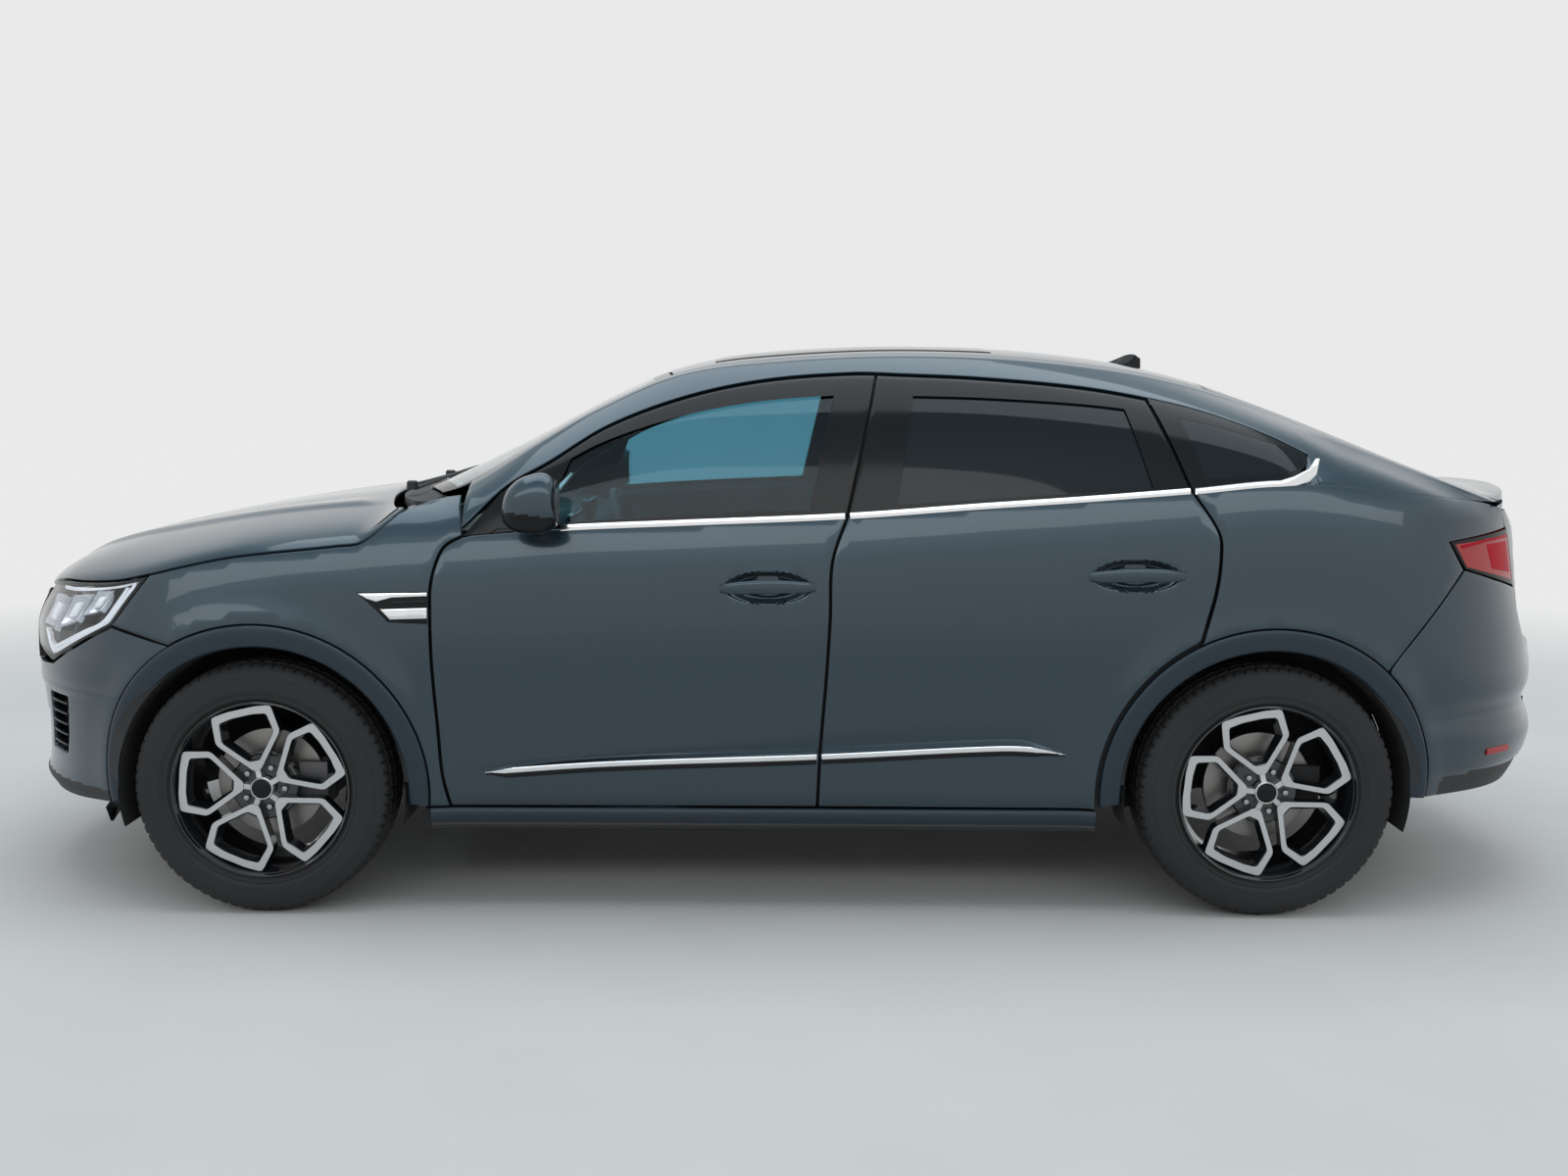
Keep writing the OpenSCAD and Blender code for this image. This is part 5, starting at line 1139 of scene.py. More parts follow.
@dataclass
class BodySide:
    """Fixed painted panels of both sides: fenders, quarters, rails, arch trims and sills."""

    net: float = 24.0
    fender_top: tuple[float, float] = (-1712.0, -1040.0)
    trim_cells: int = 80
    rail_start: float = -866.0
    rail_split: float = 0.55
    rail_end: float = 1988.0
    window_end: float = 1402.0
    window_turn: float = 14.0
    liner_edge: float = -690.0
    liner_inner: float = 70.0
    sill_x: tuple[float, float] = (-962.0, 846.0)
    sill_z: float = 300.0
    vent_step: float = 14.0

    def build(self) -> None:
        """Make every panel of the sides."""
        self.fenders()
        self.quarters()
        self.rails()
        self.arch_trims()
        self.sills()
        self.liners()
        self.vents()
        self.jambs()

    def fenders(self) -> None:
        """Front fenders round the arch, under the bonnet's edge and up to the door."""
        x = np.linspace(*self.fender_top, 40)
        bonnet = pairs(x, BONNET_Z(x) - SHUT_GAP)
        rim = np.concatenate([
            arch_at(FRONT_X, PANEL_R, [BUMPER_SIDE_TOP]),
            mix(LAMP_REAR_LOW, bonnet[0], np.linspace(0, 1, 9)[:, None])[:-1],
            bonnet,
            [(-1005, 1106), (-965, 1121), (-925, 1131), (-886, 1136)],
            [(-880, 1110), (-874, 1080), (-868, 1052)],
            beside(FRONT_SHUT, np.linspace(1, 0, 40), -GAP),
            arch_at(FRONT_X, PANEL_R, np.linspace(FENDER_LOW, BUMPER_SIDE_TOP - 2, 60)),
        ])
        shell = Shell()
        shell.skin(clean(rim), side_surface(), self.net)
        shell.both().place("fenders_dressed", "body", [PAINT], "paint", ["fenders"])

    def quarters(self) -> None:
        """Rear quarter panels."""
        arch = arch_at(REAR_X, PANEL_R, mix(ARCH_MEET, QUARTER_ARCH_END, np.linspace(0, 1, 50)))
        lead = path(REAR_SHUT, np.linspace(0.02, 1, 40)) + np.array([GAP, 0])
        first = lead[-1][0]
        x = np.linspace(first, QUARTER_END, 50)
        top = pairs(x, quarter_top(x, first))
        trail = even(np.array([QUARTER_TIP, LAMP_TIP, LAMP_FRONT_LOW, arch[-1]]), 26)
        trail = trail[: int(np.argmin(np.linalg.norm(trail - arch[-1], axis=1)))]
        loop = np.concatenate([lead, top[1:], trail, arch[::-1]])
        shell = Shell()
        shell.skin(clean(loop), side_surface(), self.net)
        shell.both().place("quarter_panels_dressed", "body", [PAINT], "paint", ["quarter_panels"])

    def rails(self) -> None:
        """Cant rails from the front pillar's foot over the doors to the rear pillar."""
        end = self.window_end
        close = end + np.array([0, 4, 8, self.window_turn])
        x = np.unique(np.concatenate([np.linspace(self.rail_start, self.rail_end, 178), close]))
        t = (x - end) / self.window_turn
        foot = np.where(
            t <= 0, DLO(np.minimum(x, end)) + GAP, mix(DLO(end) + GAP, BELT(x) + 0.3, np.clip(t, 0, 1)),
        )
        rows = []
        for v in np.linspace(0, 1, 26):
            if v < self.rail_split:
                z = mix(foot, RAIL_Z(x), v / self.rail_split)
                rows.append(xyz(x, -skin_w(x, z), z))
            else:
                y = RAIL_W(x) * mix(1, ROOF_SHARE, (v - self.rail_split) / (1 - self.rail_split))
                rows.append(xyz(x, -y, cap_z(x, y)))
        shell = Shell()
        shell.panel(np.array(rows), 16, 1.5)
        shell.both().place("side_rails_dressed", "body", [PAINT], "paint", ["side_rails"])

    def arch_trims(self) -> None:
        """Satin bands round the four arches."""
        shell = Shell()
        inner, outer = ARCH_R, TRIM_R
        for cx, lo, hi in ((FRONT_X, FENDER_LOW, BUMPER_SIDE_LOW), (REAR_X, TAIL_ARCH_LOW, ARCH_LOW - 1)):
            a = np.linspace(lo, hi, self.trim_cells)
            rows = []
            for r, proud in (
                (inner, -16), (inner, -5), (inner + 1.5, -1), (inner + 5, 2.2), (inner + 9, 3.6),
                (inner + 24, 4.6), (inner + 40, 5.2), (outer - 7, 4.6), (outer - 3, 3.4), (outer - 0.6, 1),
                (outer, -2), (outer, -12),
            ):
                rows.append(on_side(*arch_at(cx, r, a).T, -proud))
            band = np.array(rows)
            shell.grid(band)
            ends = list(range(len(rows)))
            shell.add(band[:, 0], [ends[::-1]])
            shell.add(band[:, -1], [ends])
        shell.both().place("arch_trims_dressed", "body", [SATIN], "paint", ["arch_trims"], 50)

    def sills(self) -> None:
        """Sill covers below the doors, with a dark lower edge."""
        x = np.linspace(*self.sill_x, 90)
        face = -side_w(x, np.full_like(x, self.sill_z))
        cover = ((292, 22), (291, 6), (286, 1.5), (276, 0), (262, 4), (248, 12))
        edge = (cover[-1], (242, 10), (232, 14), (227, 26), (226, 90))
        shell = Shell()
        for finish, rows in enumerate((cover, edge)):
            shell.grid(np.array([xyz(x, face + d, z) for z, d in rows]), finish, flip=True)
        shell.both().place("sill_covers", "body", [SATIN, BLACK], "paint")

    def liners(self) -> None:
        """Felt liners of the wheel housings with pressed ribs, inner walls and seals."""
        shell = Shell()
        a = np.linspace(-16, 196, 110)
        low = np.clip(a, 3, 177)
        turn = np.radians(a)
        ribbed = ARCH_R - 3.4 - 3 * (np.sin(np.radians(a * 9)) > 0.2)
        for cx, wall in ((FRONT_X, -480.0), (REAR_X, -668.0)):
            rows = [(ribbed, y) for y in np.linspace(-872, self.liner_edge, 14)]
            disc = [(ARCH_R - 4, self.liner_edge), (ARCH_R - 8, wall), (self.liner_inner, wall)]
            for net in (rows, disc):
                net = [xyz(cx + np.cos(turn) * r, y, AXLE_Z + np.sin(turn) * r) for r, y in net]
                shell.grid(np.array(net), flip=True)
            (qx, qz), rim = arch_at(cx, ARCH_R - 3.4, low).T, arch_at(cx, PANEL_R + 10, low).T
            shell.grid(np.array([xyz(qx, -870.0, qz), on_side(*rim, 16)]), flip=True)
        y, z = np.meshgrid(np.linspace(0, 1, 12), np.linspace(560, 985, 20))
        x = np.full_like(z, self.sill_x[0])
        shell.grid(xyz(x, mix(-side_w(x, z) + 16, -590.0, y), z))
        shell.both().place("wheel_liners_dressed", "body", [FELT], "black_plastic", ["wheel_liners"])

    def vents(self) -> None:
        """Black vents behind the front wheels, each with two bright bars."""
        shell = Shell()
        for loop, lift, finish in (
            ([(-1140, 886), (-950, 889), (-951, 802), (-1056, 807), (-1086, 838)], 1.2, 0),
            ([(-1135, 883), (-952, 886), (-952, 877), (-1046, 873), (-1086, 862), (-1112, 870)], 3.4, 1),
            ([(-1076, 842), (-952, 846), (-952, 818), (-1050, 815)], 3.4, 1),
            ([(-1060, 862), (-953, 866), (-953, 856), (-1046, 853)], 2.0, 0),
        ):
            loop = even(np.array(loop, float), self.vent_step)
            shell.skin(loop, side_surface(), self.vent_step, 5, 1.2, finish, lift)
        shell.both().place("fender_vents", "body", [GLOSS_BLACK, CHROME])

    def jambs(self) -> None:
        """Dark returns behind the shut lines, so that no light shows through them."""
        shell = Shell()
        v = np.linspace(0, 1, 50)
        top = np.linspace(-800, 1390, 120)
        fend = np.linspace(-1800, -1040, 60)

        def straight(a: Sequence[float], b: Sequence[float]) -> Points:
            """Line from a to b."""
            return mix(np.array(a, float), np.array(b, float), v[:, None])

        for line, half, deep in (
            (path(FRONT_SHUT, v), 24, 34),
            (path(MIDDLE_SHUT, v), 26, 34),
            (straight(MIDDLE_SHUT[-1], MIDDLE_TOP), 26, 30),
            (path(REAR_SHUT, v), 24, 34),
            (straight(REAR_SHUT[-1], REAR_TOP), 26, 30),
            (pairs(top, DLO(top) + 1), 16, 28),
            (pairs(fend, BONNET_Z(fend) - 6), 18, 20),
            (straight(LAMP_FRONT_LOW, QUARTER_CORNER), 22, 26),
            (straight((-1830, 786), (-1648, 747)), 22, 26),
            (arch_at(REAR_X, PANEL_R, np.linspace(ARCH_LOW, TAIL_ARCH_LOW, 80)), 34, 20),
            (arch_at(FRONT_X, PANEL_R, np.linspace(BUMPER_SIDE_LOW, FENDER_LOW, 80)), 34, 20),
        ):
            d = unit(np.gradient(line, axis=0))
            side = pairs(d[:, 1], -d[:, 0])
            q = line[:, None] + side[:, None] * np.linspace(-half, half, 5)[None, :, None]
            shell.grid(on_side(q[..., 0], q[..., 1], deep))
        shell.both().place("shut_line_returns", "body", [RUBBER], "black_plastic")


@dataclass
class Door:
    """One door: painted skin, black frame, glass, handle, bright strips and inner card."""

    kind: DoorKind
    side: Side
    net: float = 22.0
    glass_low: float = 0.06
    glass_top: float = 0.86
    hollow: tuple[float, float, float] = (118.0, 43.0, 26.0)
    strip_from: float = -809.0
    strip_to: float = 757.0
    handle_half: tuple[float, float, float] = (124.0, 8.5, 18.0)
    handle_out: float = 15.0
    card_in: tuple[float, float] = (88.0, 116.0)

    @property
    def body(self) -> str:
        """CAD body of the door."""
        return f"{self.kind.value}_door_{self.side.word}"

    @property
    def tag(self) -> str:
        """Ending of the names of this door's nodes."""
        return f"{self.kind.value}_{self.side.word}"

    def hand(self, shell: Shell) -> Shell:
        """The shell on this door's side."""
        return shell if self.side is Side.LEFT else shell.mirrored()

    def edges(self, v: Points) -> tuple[Points, Points]:
        """Front and rear edges of the skin at shares of its height."""
        if self.kind is DoorKind.FRONT:
            return front_edge(v), middle_edge(v, -GAP)
        return middle_edge(v, GAP), rear_edge(v)

    def window(self) -> tuple[float, float, float, float, float, float]:
        """Belt from and to, top from and to, and the glass's first and last share."""
        a, b = self.edges(np.array([1.0]))
        if self.kind is DoorKind.FRONT:
            return a[0, 0], b[0, 0], -770.0, MIDDLE_TOP[0] - GAP, 0.2, 0.9
        return a[0, 0], b[0, 0], MIDDLE_TOP[0] + GAP, REAR_TOP[0] - GAP, 0.14, 0.9

    def build(self) -> None:
        """Make every piece of the door."""
        self.skin()
        self.frame()
        self.glass()
        self.handle()
        self.strips()
        self.card()

    def dish(self) -> tuple[float, float]:
        """Middle of the handle, in x and z."""
        return (-53.0, 902.0) if self.kind is DoorKind.FRONT else (924.0, 938.0)

    def detail(self, x: Points, z: Points) -> Points:
        """Scoop above the strip and the hollow behind the handle."""
        hx, hz = self.dish()
        long, tall, deep = self.hollow
        k = np.clip(1 - ((x - hx - 6) / long) ** 2 - ((z - hz - 1) / tall) ** 2, 0, 1)
        return scoop(x, z) - deep * ramp(k, 0, 0.55)

    def dots(self) -> Points:
        """Extra points of the skin along the strip's ledge and round the handle's hollow."""
        x = np.arange(-860, 800, 15.0)
        low = [pairs(x, STRIP_Z(x) + h) for h in (-14, -9, -5, -1, 3, 9, 17, 27, 39, 53, 69, 88)]
        hx, hz = self.dish()
        long, tall, _ = self.hollow
        a = circle(40)
        rings = [pairs(hx + 6 + long * k * np.cos(a), hz + 1 + tall * k * np.sin(a))
                 for k in (0.25, 0.5, 0.66, 0.76, 0.86, 0.94, 1.0, 1.08)]
        return np.concatenate(low + rings)

    def skin(self) -> None:
        """Painted skin below the belt."""
        a, b = self.edges(np.linspace(0, 1, 60))
        x = np.linspace(a[-1, 0], b[-1, 0], 40)
        low = mix(a[0], b[0], np.linspace(0, 1, 40)[:, None])
        loop = np.concatenate([a, pairs(x, BELT(x))[1:], b[::-1][1:], low[::-1][1:]])
        shell = Shell()
        shell.skin(clean(loop), side_surface(self.detail), self.net, 20, dots=self.dots())
        node = f"door_{self.tag}"
        self.hand(shell).place(node + "_skin", self.body, [PAINT], "paint", [node])

    def place_at(self, u: Points, v: Points, set_in: float = 0.0) -> Points:
        """Points of the window's plane at shares across and up."""
        b0, b1, t0, t1, _, _ = self.window()
        xb, xt = mix(b0, b1, u), mix(t0, t1, u)
        x = mix(xb, xt, v)
        z = mix(BELT(xb), DLO(xt) - GAP - 2, v)
        return xyz(x, -hard_w(x, z + 0.01) + set_in, z)

    def frame(self) -> None:
        """Black window frame with its pillar cover."""
        u0, u1 = self.window()[4:]
        v0, v1 = self.glass_low, self.glass_top
        us = spans((0, u0, 10), (u0, u1, 40), (u1, 1, 8))
        vs = spans((0.004, v0, 3), (v0, v1, 30), (v1, 1, 6))
        p = self.place_at(*np.meshgrid(us, vs), 1.0)
        mid_u, mid_v = mid_of(us), mid_of(vs)
        skip = ((mid_v > v0) & (mid_v < v1))[:, None] & ((mid_u > u0) & (mid_u < u1))[None]
        shell = Shell()
        shell.panel(p, 24, 1.5, 0, skip)
        rows = [int(np.argmin(abs(vs - v))) for v in (v0, v1)]
        columns = [int(np.argmin(abs(us - u))) for u in (u0, u1)]
        ring = hole_edge(p, rows, columns)
        shell.grid(np.stack([ring, ring + np.array([0, 14.0, 0])]), 1, wrap=True, flip=True)
        self.hand(shell).place(f"window_frame_{self.tag}", self.body, [GLOSS_BLACK, RUBBER], "black_plastic")

    def glass(self) -> None:
        """Door glass, clear in front and dark behind."""
        u0, u1 = self.window()[4:]
        u, v = np.meshgrid(np.linspace(u0, u1, 30), np.linspace(self.glass_low, self.glass_top, 20))
        shell = Shell()
        shell.grid(self.place_at(u, v, 9.0))
        shell.grid(self.place_at(u, v, 13.0), flip=True)
        finish = CLEAR_GLASS if self.kind is DoorKind.FRONT else DARK_GLASS
        node = f"glass_{self.tag}"
        self.hand(shell).place(node + "_pane", self.body, [finish], "glass", [node])

    def handle(self) -> None:
        """Pull handle across its hollow."""
        hx, hz = self.dish()
        t = np.linspace(-1, 1, 33)
        long, thick, tall = self.handle_half
        x = hx + 6 + long * t
        z = hz + 5 * (1 - t**2) + 2 * t
        out = self.handle_out * (1 - np.abs(t) ** 5)
        line = xyz(x, -skin_w(x, z) - out + 6 * np.abs(t) ** 8, z)
        tall = tall * (1 - 0.34 * np.abs(t) ** 3)
        a = circle(20)
        section = pairs(thick * signed(np.cos(a), 0.7), signed(np.sin(a), 0.7) * tall[:, None])
        shell = Shell()
        shell.sweep(line, section, LEFTWARDS)
        self.hand(shell).place(f"handle_{self.tag}", self.body, [PAINT], "paint")

    def strips(self) -> None:
        """Bright strip on the belt, and the strip low on the door with a painted shadow under it: a gloss
        black bar.
        """
        a, b = self.edges(np.array([1.0]))
        ahead = self.kind is DoorKind.FRONT
        shell = Shell()
        x = np.linspace(-600.0 if ahead else a[0, 0] + 3, b[0, 0] - 3, 60)
        flat = [(0.4, -9), (3.0, -8), (4.2, 0), (3.0, 8), (0.4, 9), (-9, 9), (-9, -9)]
        shell.sweep(xyz(x, -side_w(x, BELT(x)) + 1, BELT(x) + 3), flat, [0, -1, 0.2], 0)
        x = np.linspace(self.strip_from, 86, 70) if ahead else np.linspace(100, self.strip_to, 60)
        z = STRIP_Z(x)
        grow = np.clip((x - self.strip_from) / 60, 0.12, 1) * np.clip((self.strip_to - x) / 90, 0.06, 1)
        tall = pairs(1.0, grow)[:, None]
        line = xyz(x, -skin_w(x, z) + 1, z - 5)
        bright = [(0, -8.5), (3.6, -8.0), (5.0, -6.5), (5.4, 0), (4.2, 6.5), (2, 8.5), (-16, 9), (-16, -8.5)]
        # Painted shadow: the gloss black bar swept just below the low bright strip stands in for the shade
        # under its ledge.
        dark = [(0, -6.0), (2.6, -5.0), (2.6, 6.0), (-16, 6.0), (-16, -6.0)]
        shell.sweep(line, np.array(bright) * tall, LEFTWARDS, 0)
        shell.sweep(line - xyz(0.0, 3.0, 8.5 * grow + 4), np.array(dark) * tall, LEFTWARDS, 1)
        self.hand(shell).place(f"bright_strips_{self.tag}", self.body, [CHROME, GLOSS_BLACK])

    def card(self) -> None:
        """Inner trim of the door with an armrest and a pocket."""
        a, b = self.edges(np.linspace(0.06, 0.97, 24))
        us = np.linspace(0.1, 0.955, 30)
        net = a[:, None] * (1 - us)[None, :, None] + b[:, None] * us[None, :, None]
        x, z = net[..., 0], net[..., 1]
        rest = 17 * bump_at(z, mix(690, 720, us)[None], 42) * ramp(us, 0.15, 0.3)[None]
        pocket = 13 * bump_at(z, 420, 90) * (ramp(us, 0.1, 0.2) * (1 - ramp(us, 0.75, 0.9)))[None]
        least, most = self.card_in
        y = -side_w(x, z) + np.minimum(least + rest + pocket, most)
        shell = Shell()
        shell.panel(xyz(x, y, z), 80, 3, flip=True)
        self.hand(shell).place(f"door_card_{self.tag}", self.body, [SOFT_TRIM], "black_plastic")


HEADER_X, HEADER_BOW = -362.0, 40.0
SCREEN_X, SCREEN_BOW = -1095.0, 150.0
BONNET_X, BONNET_BOW = -1180.0, 148.0


def rail_in(x: Points) -> Points:
    """Half width of the roof and of the screens."""
    return RAIL_W(x) * ROOF_SHARE


def header(s: Points) -> Points:
    """Station of the windscreen's upper edge at a share of the half width."""
    return HEADER_X + HEADER_BOW * s * s


def screen_foot(s: Points) -> Points:
    """Station of the windscreen's lower edge."""
    return SCREEN_X + SCREEN_BOW * s * s


def bonnet_rear(s: Points) -> Points:
    """Station of the bonnet's rear edge."""
    return BONNET_X + BONNET_BOW * s * s


def cap(x: Points, s: Points, half: Points, sink: Points | float = 0.0) -> Points:
    """Point of the roof's surface at a share of a half width, sunk by a depth."""
    y = s * half
    return xyz(x, y, cap_z(x, y) - sink)


@dataclass
class Roof:
    """Roof panel, its glass, the windscreen, quarter windows, cowl, wipers and fin."""

    rear: float = 1187.0
    pane_from: float = -203.0
    pane_to: float = 588.0
    pane_share: float = 0.87
    lining: float = 26.0
    fin_x: float = 985.0
    fin_size: tuple[float, float, float] = (138.0, 27.0, 50.0)
    window_tip: float = 1396.0
    strip_turn: float = 1310.0
    wipers: Sequence[Sequence[float]] = ((-1078, -430, -985, 250), (-1090, 140, -1000, 560))

    def build(self) -> None:
        """Make every piece of the roof."""
        self.panel()
        self.glass()
        self.cowl()

    def panel(self) -> None:
        """Painted roof round its glass, with the lining below and the fin on top."""
        k = self.pane_share
        us = spans((0, 1, 8), (1, 2, 40), (2, 3, 30))
        ss = spans((-1, -k, 5), (-k, k, 41), (k, 1, 5))
        u, s = np.meshgrid(us, ss, indexing="ij")
        behind = mix(self.pane_to, self.rear, u - 2)
        beside_pane = np.where(u < 2, mix(self.pane_from, self.pane_to, u - 1), behind)
        x = np.where(u < 1, mix(header(s) + 6, self.pane_from, u), beside_pane)
        p = cap(x, s, rail_in(x))
        skip = ((mid_of(us) > 1) & (mid_of(us) < 2))[:, None] & (np.abs(mid_of(ss)) < k)[None]
        shell = Shell()
        shell.panel(p, 12, 1.2, 0, skip, flip=True)
        shell.grid(p - np.array([0, 0, self.lining]), 1)
        self.fin(shell)
        shell.place("roof_panel_dressed", "body", [PAINT, PALE_LINING, GLOSS_BLACK], "paint", ["roof_panel"])

    def fin(self, shell: Shell) -> None:
        """Aerial fin on the rear of the roof."""
        long, half, tall = self.fin_size
        t = np.linspace(0, 1, 26)[:, None]
        x = self.fin_x + long * t
        top = tall * ramp(t, 0.0, 0.86) ** 1.2 * (1 - 0.14 * ramp(t, 0.86, 1))
        wide = half * np.sin(np.pi * np.clip(t * 0.93 + 0.05, 0, 1)) ** 0.6
        a = np.radians(np.linspace(0, 180, 19))
        p = xyz(x, wide * signed(np.cos(a), 2.2), cap_z(x, 0 * x) - 3 + (top + 5) * np.sin(a) ** 0.9)
        shell.grid(p, 2, flip=True)
        shell.add(p[-1], [list(range(len(a)))], 2)

    def glass(self) -> None:
        """Windscreen, roof glass and quarter windows, with printed black edges."""
        v, s = np.meshgrid(np.linspace(0, 1, 30), np.linspace(-1, 1, 61), indexing="ij")
        x = mix(screen_foot(s), header(s), v)
        shell = Shell()
        edge = (np.abs(s) > 0.955) | (v < 0.07) | (v > 0.93)
        edge |= (np.abs(s) < 0.12) & (v > 0.8)
        shell.pane(cap(x, s, rail_in(x) - 0.5, 2), in_all(edge))
        along = np.linspace(self.pane_from + 2, self.pane_to - 2, 40)
        across = np.linspace(-self.pane_share, self.pane_share, 41) * 0.995
        u, s = np.meshgrid(along, across, indexing="ij")
        shell.panel(cap(u, s, rail_in(u), -2), 10, 2, 2, flip=True)
        self.quarter_window(shell)
        shell.place(
            "fixed_glass_dressed", "body", [SCREEN_GLASS, GLOSS_BLACK, ROOF_GLASS, DARK_GLASS, CHROME, PAINT],
            "glass", ["fixed_glass"],
        )

    def quarter_window(self, shell: Shell) -> None:
        """Quarter windows behind the rear doors, and the bright strip below them up to its tip."""
        tip = self.window_tip
        first = rear_edge(np.array([1.0]))[0, 0] + SHUT_GAP
        u = np.linspace(0, 1, 40)
        xf, xh = mix(first, tip, u), mix(REAR_TOP[0] + GAP, tip, u)
        foot = pairs(xf, mix(BELT(xf), DLO(tip) - 22, u**6) + 0.5)
        head = pairs(xh, DLO(xh) + 1)
        v = np.linspace(0, 1, 24)[:, None]
        q = coons(foot, head, mix(foot[:1], head[:1], v), mix(foot[-1:], head[-1:], v))
        left = Shell()
        x, z = q[..., 0], q[..., 1]
        p = xyz(x, -hard_w(x, z + 0.01), z)
        marks = (u < 0.13) | (u > 0.95) | (v < 0.1) | (v > 0.86)
        edge = in_any(marks)
        left.grid(p, 3, skip=edge)
        left.grid(p + np.array([0, -0.8, 0]), 1, skip=~edge)
        left.grid(p + np.array([0, 14.0, 0]), 1, flip=True)
        x = np.linspace(first + 2, self.strip_turn, 30)
        loop = np.concatenate([
            pairs(x, BELT(x) - 7),
            [(1350, 1178), (1386, 1188), (1404, 1208), (1411, 1250)],
            [(1401, 1250), (1383, 1222), (1345, 1203)],
            pairs(x, BELT(x) + 10)[::-1],
        ])

        def ledge(q: Points, depth: float) -> Points:
            """Strip's face: it stands on the body side's edge, and its tip on the pillar."""
            x, z = q.T
            return xyz(x, -np.maximum(side_w(x, BELT(x)) - 2, hard_w(x, z)) + depth, z)

        def pillar(q: Points, depth: float) -> Points:
            """The pillar's own surface."""
            return on_side(*q.T, depth)

        left.skin(loop, ledge, 20, 9, 2.5, 4, 2.5)
        back = [(1376, 1160), (1432, 1160), (1428, 1200), (1416, 1254), (1402, 1254), (1384, 1210)]
        left.skin(even(np.array(back, float), 14), pillar, 14, 5, 1.2, 5, -2.5)
        shell.join(left.both())

    def cowl(self) -> None:
        """Black cowl with its vents, and two wipers at rest."""
        s = np.linspace(-1, 1, 161)
        vents = 1.5 * (np.sin(s * 150) > 0)
        rows = []
        for v in np.linspace(0, 1, 9):
            x = mix(bonnet_rear(s) + SHUT_GAP, screen_foot(s) + 8, v)
            rows.append(cap(x, s, rail_in(x) - 4, 12 + 4 * np.sin(np.pi * v) + vents * (0.2 < v < 0.8)))
        shell = Shell()
        shell.panel(np.array(rows), 26, 2, flip=True)
        for ends in self.wipers:
            self.wiper(shell, ends[:2], ends[2:])
        shell.place("cowl_dressed", "body", [BLACK], "black_plastic", ["cowl"])

    def wiper(self, shell: Shell, foot: Sequence[float], end: Sequence[float]) -> None:
        """Add a wiper at rest: blade, arm and hub, between two places given as (x, y)."""
        t = np.linspace(0, 1, 40)
        x, y = mix(foot[0], end[0], t), mix(foot[1], end[1], t)
        line = xyz(x, y, cap_z(x, y) + 5 + 4 * np.sin(np.pi * t))
        shell.sweep(line, bead(3, 5, 4, 4, 5), UPWARDS)
        arm = line[:18] + np.array([-14.0, 0, 8.0]) * (1 - t[:18, None] * 2.2)
        shell.sweep(arm, bead(3, 5, 7, 3, 8), UPWARDS)
        hub = Shell()
        hub.lathe([(0, 16), (12, 16), (16, 12), (17, -10)], 24)
        ax, ay, az = arm[0]
        shell.join(hub.moved(lambda p: xyz(p[:, 0] + ax, p[:, 2] + ay, p[:, 1] + az - 4), flip=True))


@dataclass
class Bonnet:
    """Bonnet with its creases, inner frame and hinge arms."""

    lead: float = -2262.0
    ridge_from: float = 0.52
    ridge_to: float = 0.64
    hinge_y: float = 738.0
    hinge: Sequence[tuple[float, float]] = ((-1018, 1098), (-1060, 1080), (-1100, 1040), (-1150, 1010))

    def build(self) -> None:
        """Make the bonnet."""
        u, s = np.meshgrid(np.linspace(0, 1, 90) ** 1.15, np.linspace(-1, 1, 101), indexing="ij")
        x = mix(self.lead, bonnet_rear(s), u)
        p = xyz(x, s * bonnet_w(x), bonnet_top(x, s) + self.creases(u, s))
        shell = Shell()
        shell.panel(p, 12, 2.0, 0, flip=True)
        inner = p[4:-3:3, 6:-6:4].copy()
        inner[..., 2] -= 20 + 10 * (np.sin(u[4:-3:3, 6:-6:4] * 22) > 0)
        shell.grid(inner, 1)
        for y in (-self.hinge_y, self.hinge_y):
            arm = [(x, y, z) for x, z in self.hinge]
            shell.sweep(arm, slab(5, 10, 5, 10), UPWARDS, 2)
        shell.place("bonnet_dressed", "bonnet_lid", [PAINT, FELT, STEEL], "paint", ["bonnet"])

    def creases(self, u: Points, s: Points) -> Points:
        """Raised ridges that run back from the grille, and the shallow valley between them."""
        k = np.abs(s)
        off = k - mix(self.ridge_from, self.ridge_to, u)
        fade = ramp(u, 0.02, 0.25) * (1 - ramp(u, 0.9, 1.0))
        ridge = np.where(off < 0, ramp(off, -0.16, 0.0), 1 - ramp(off, 0.0, 0.05))
        return 9 * ridge * fade - 4 * bump_at(k, 0.0, 0.25) * fade


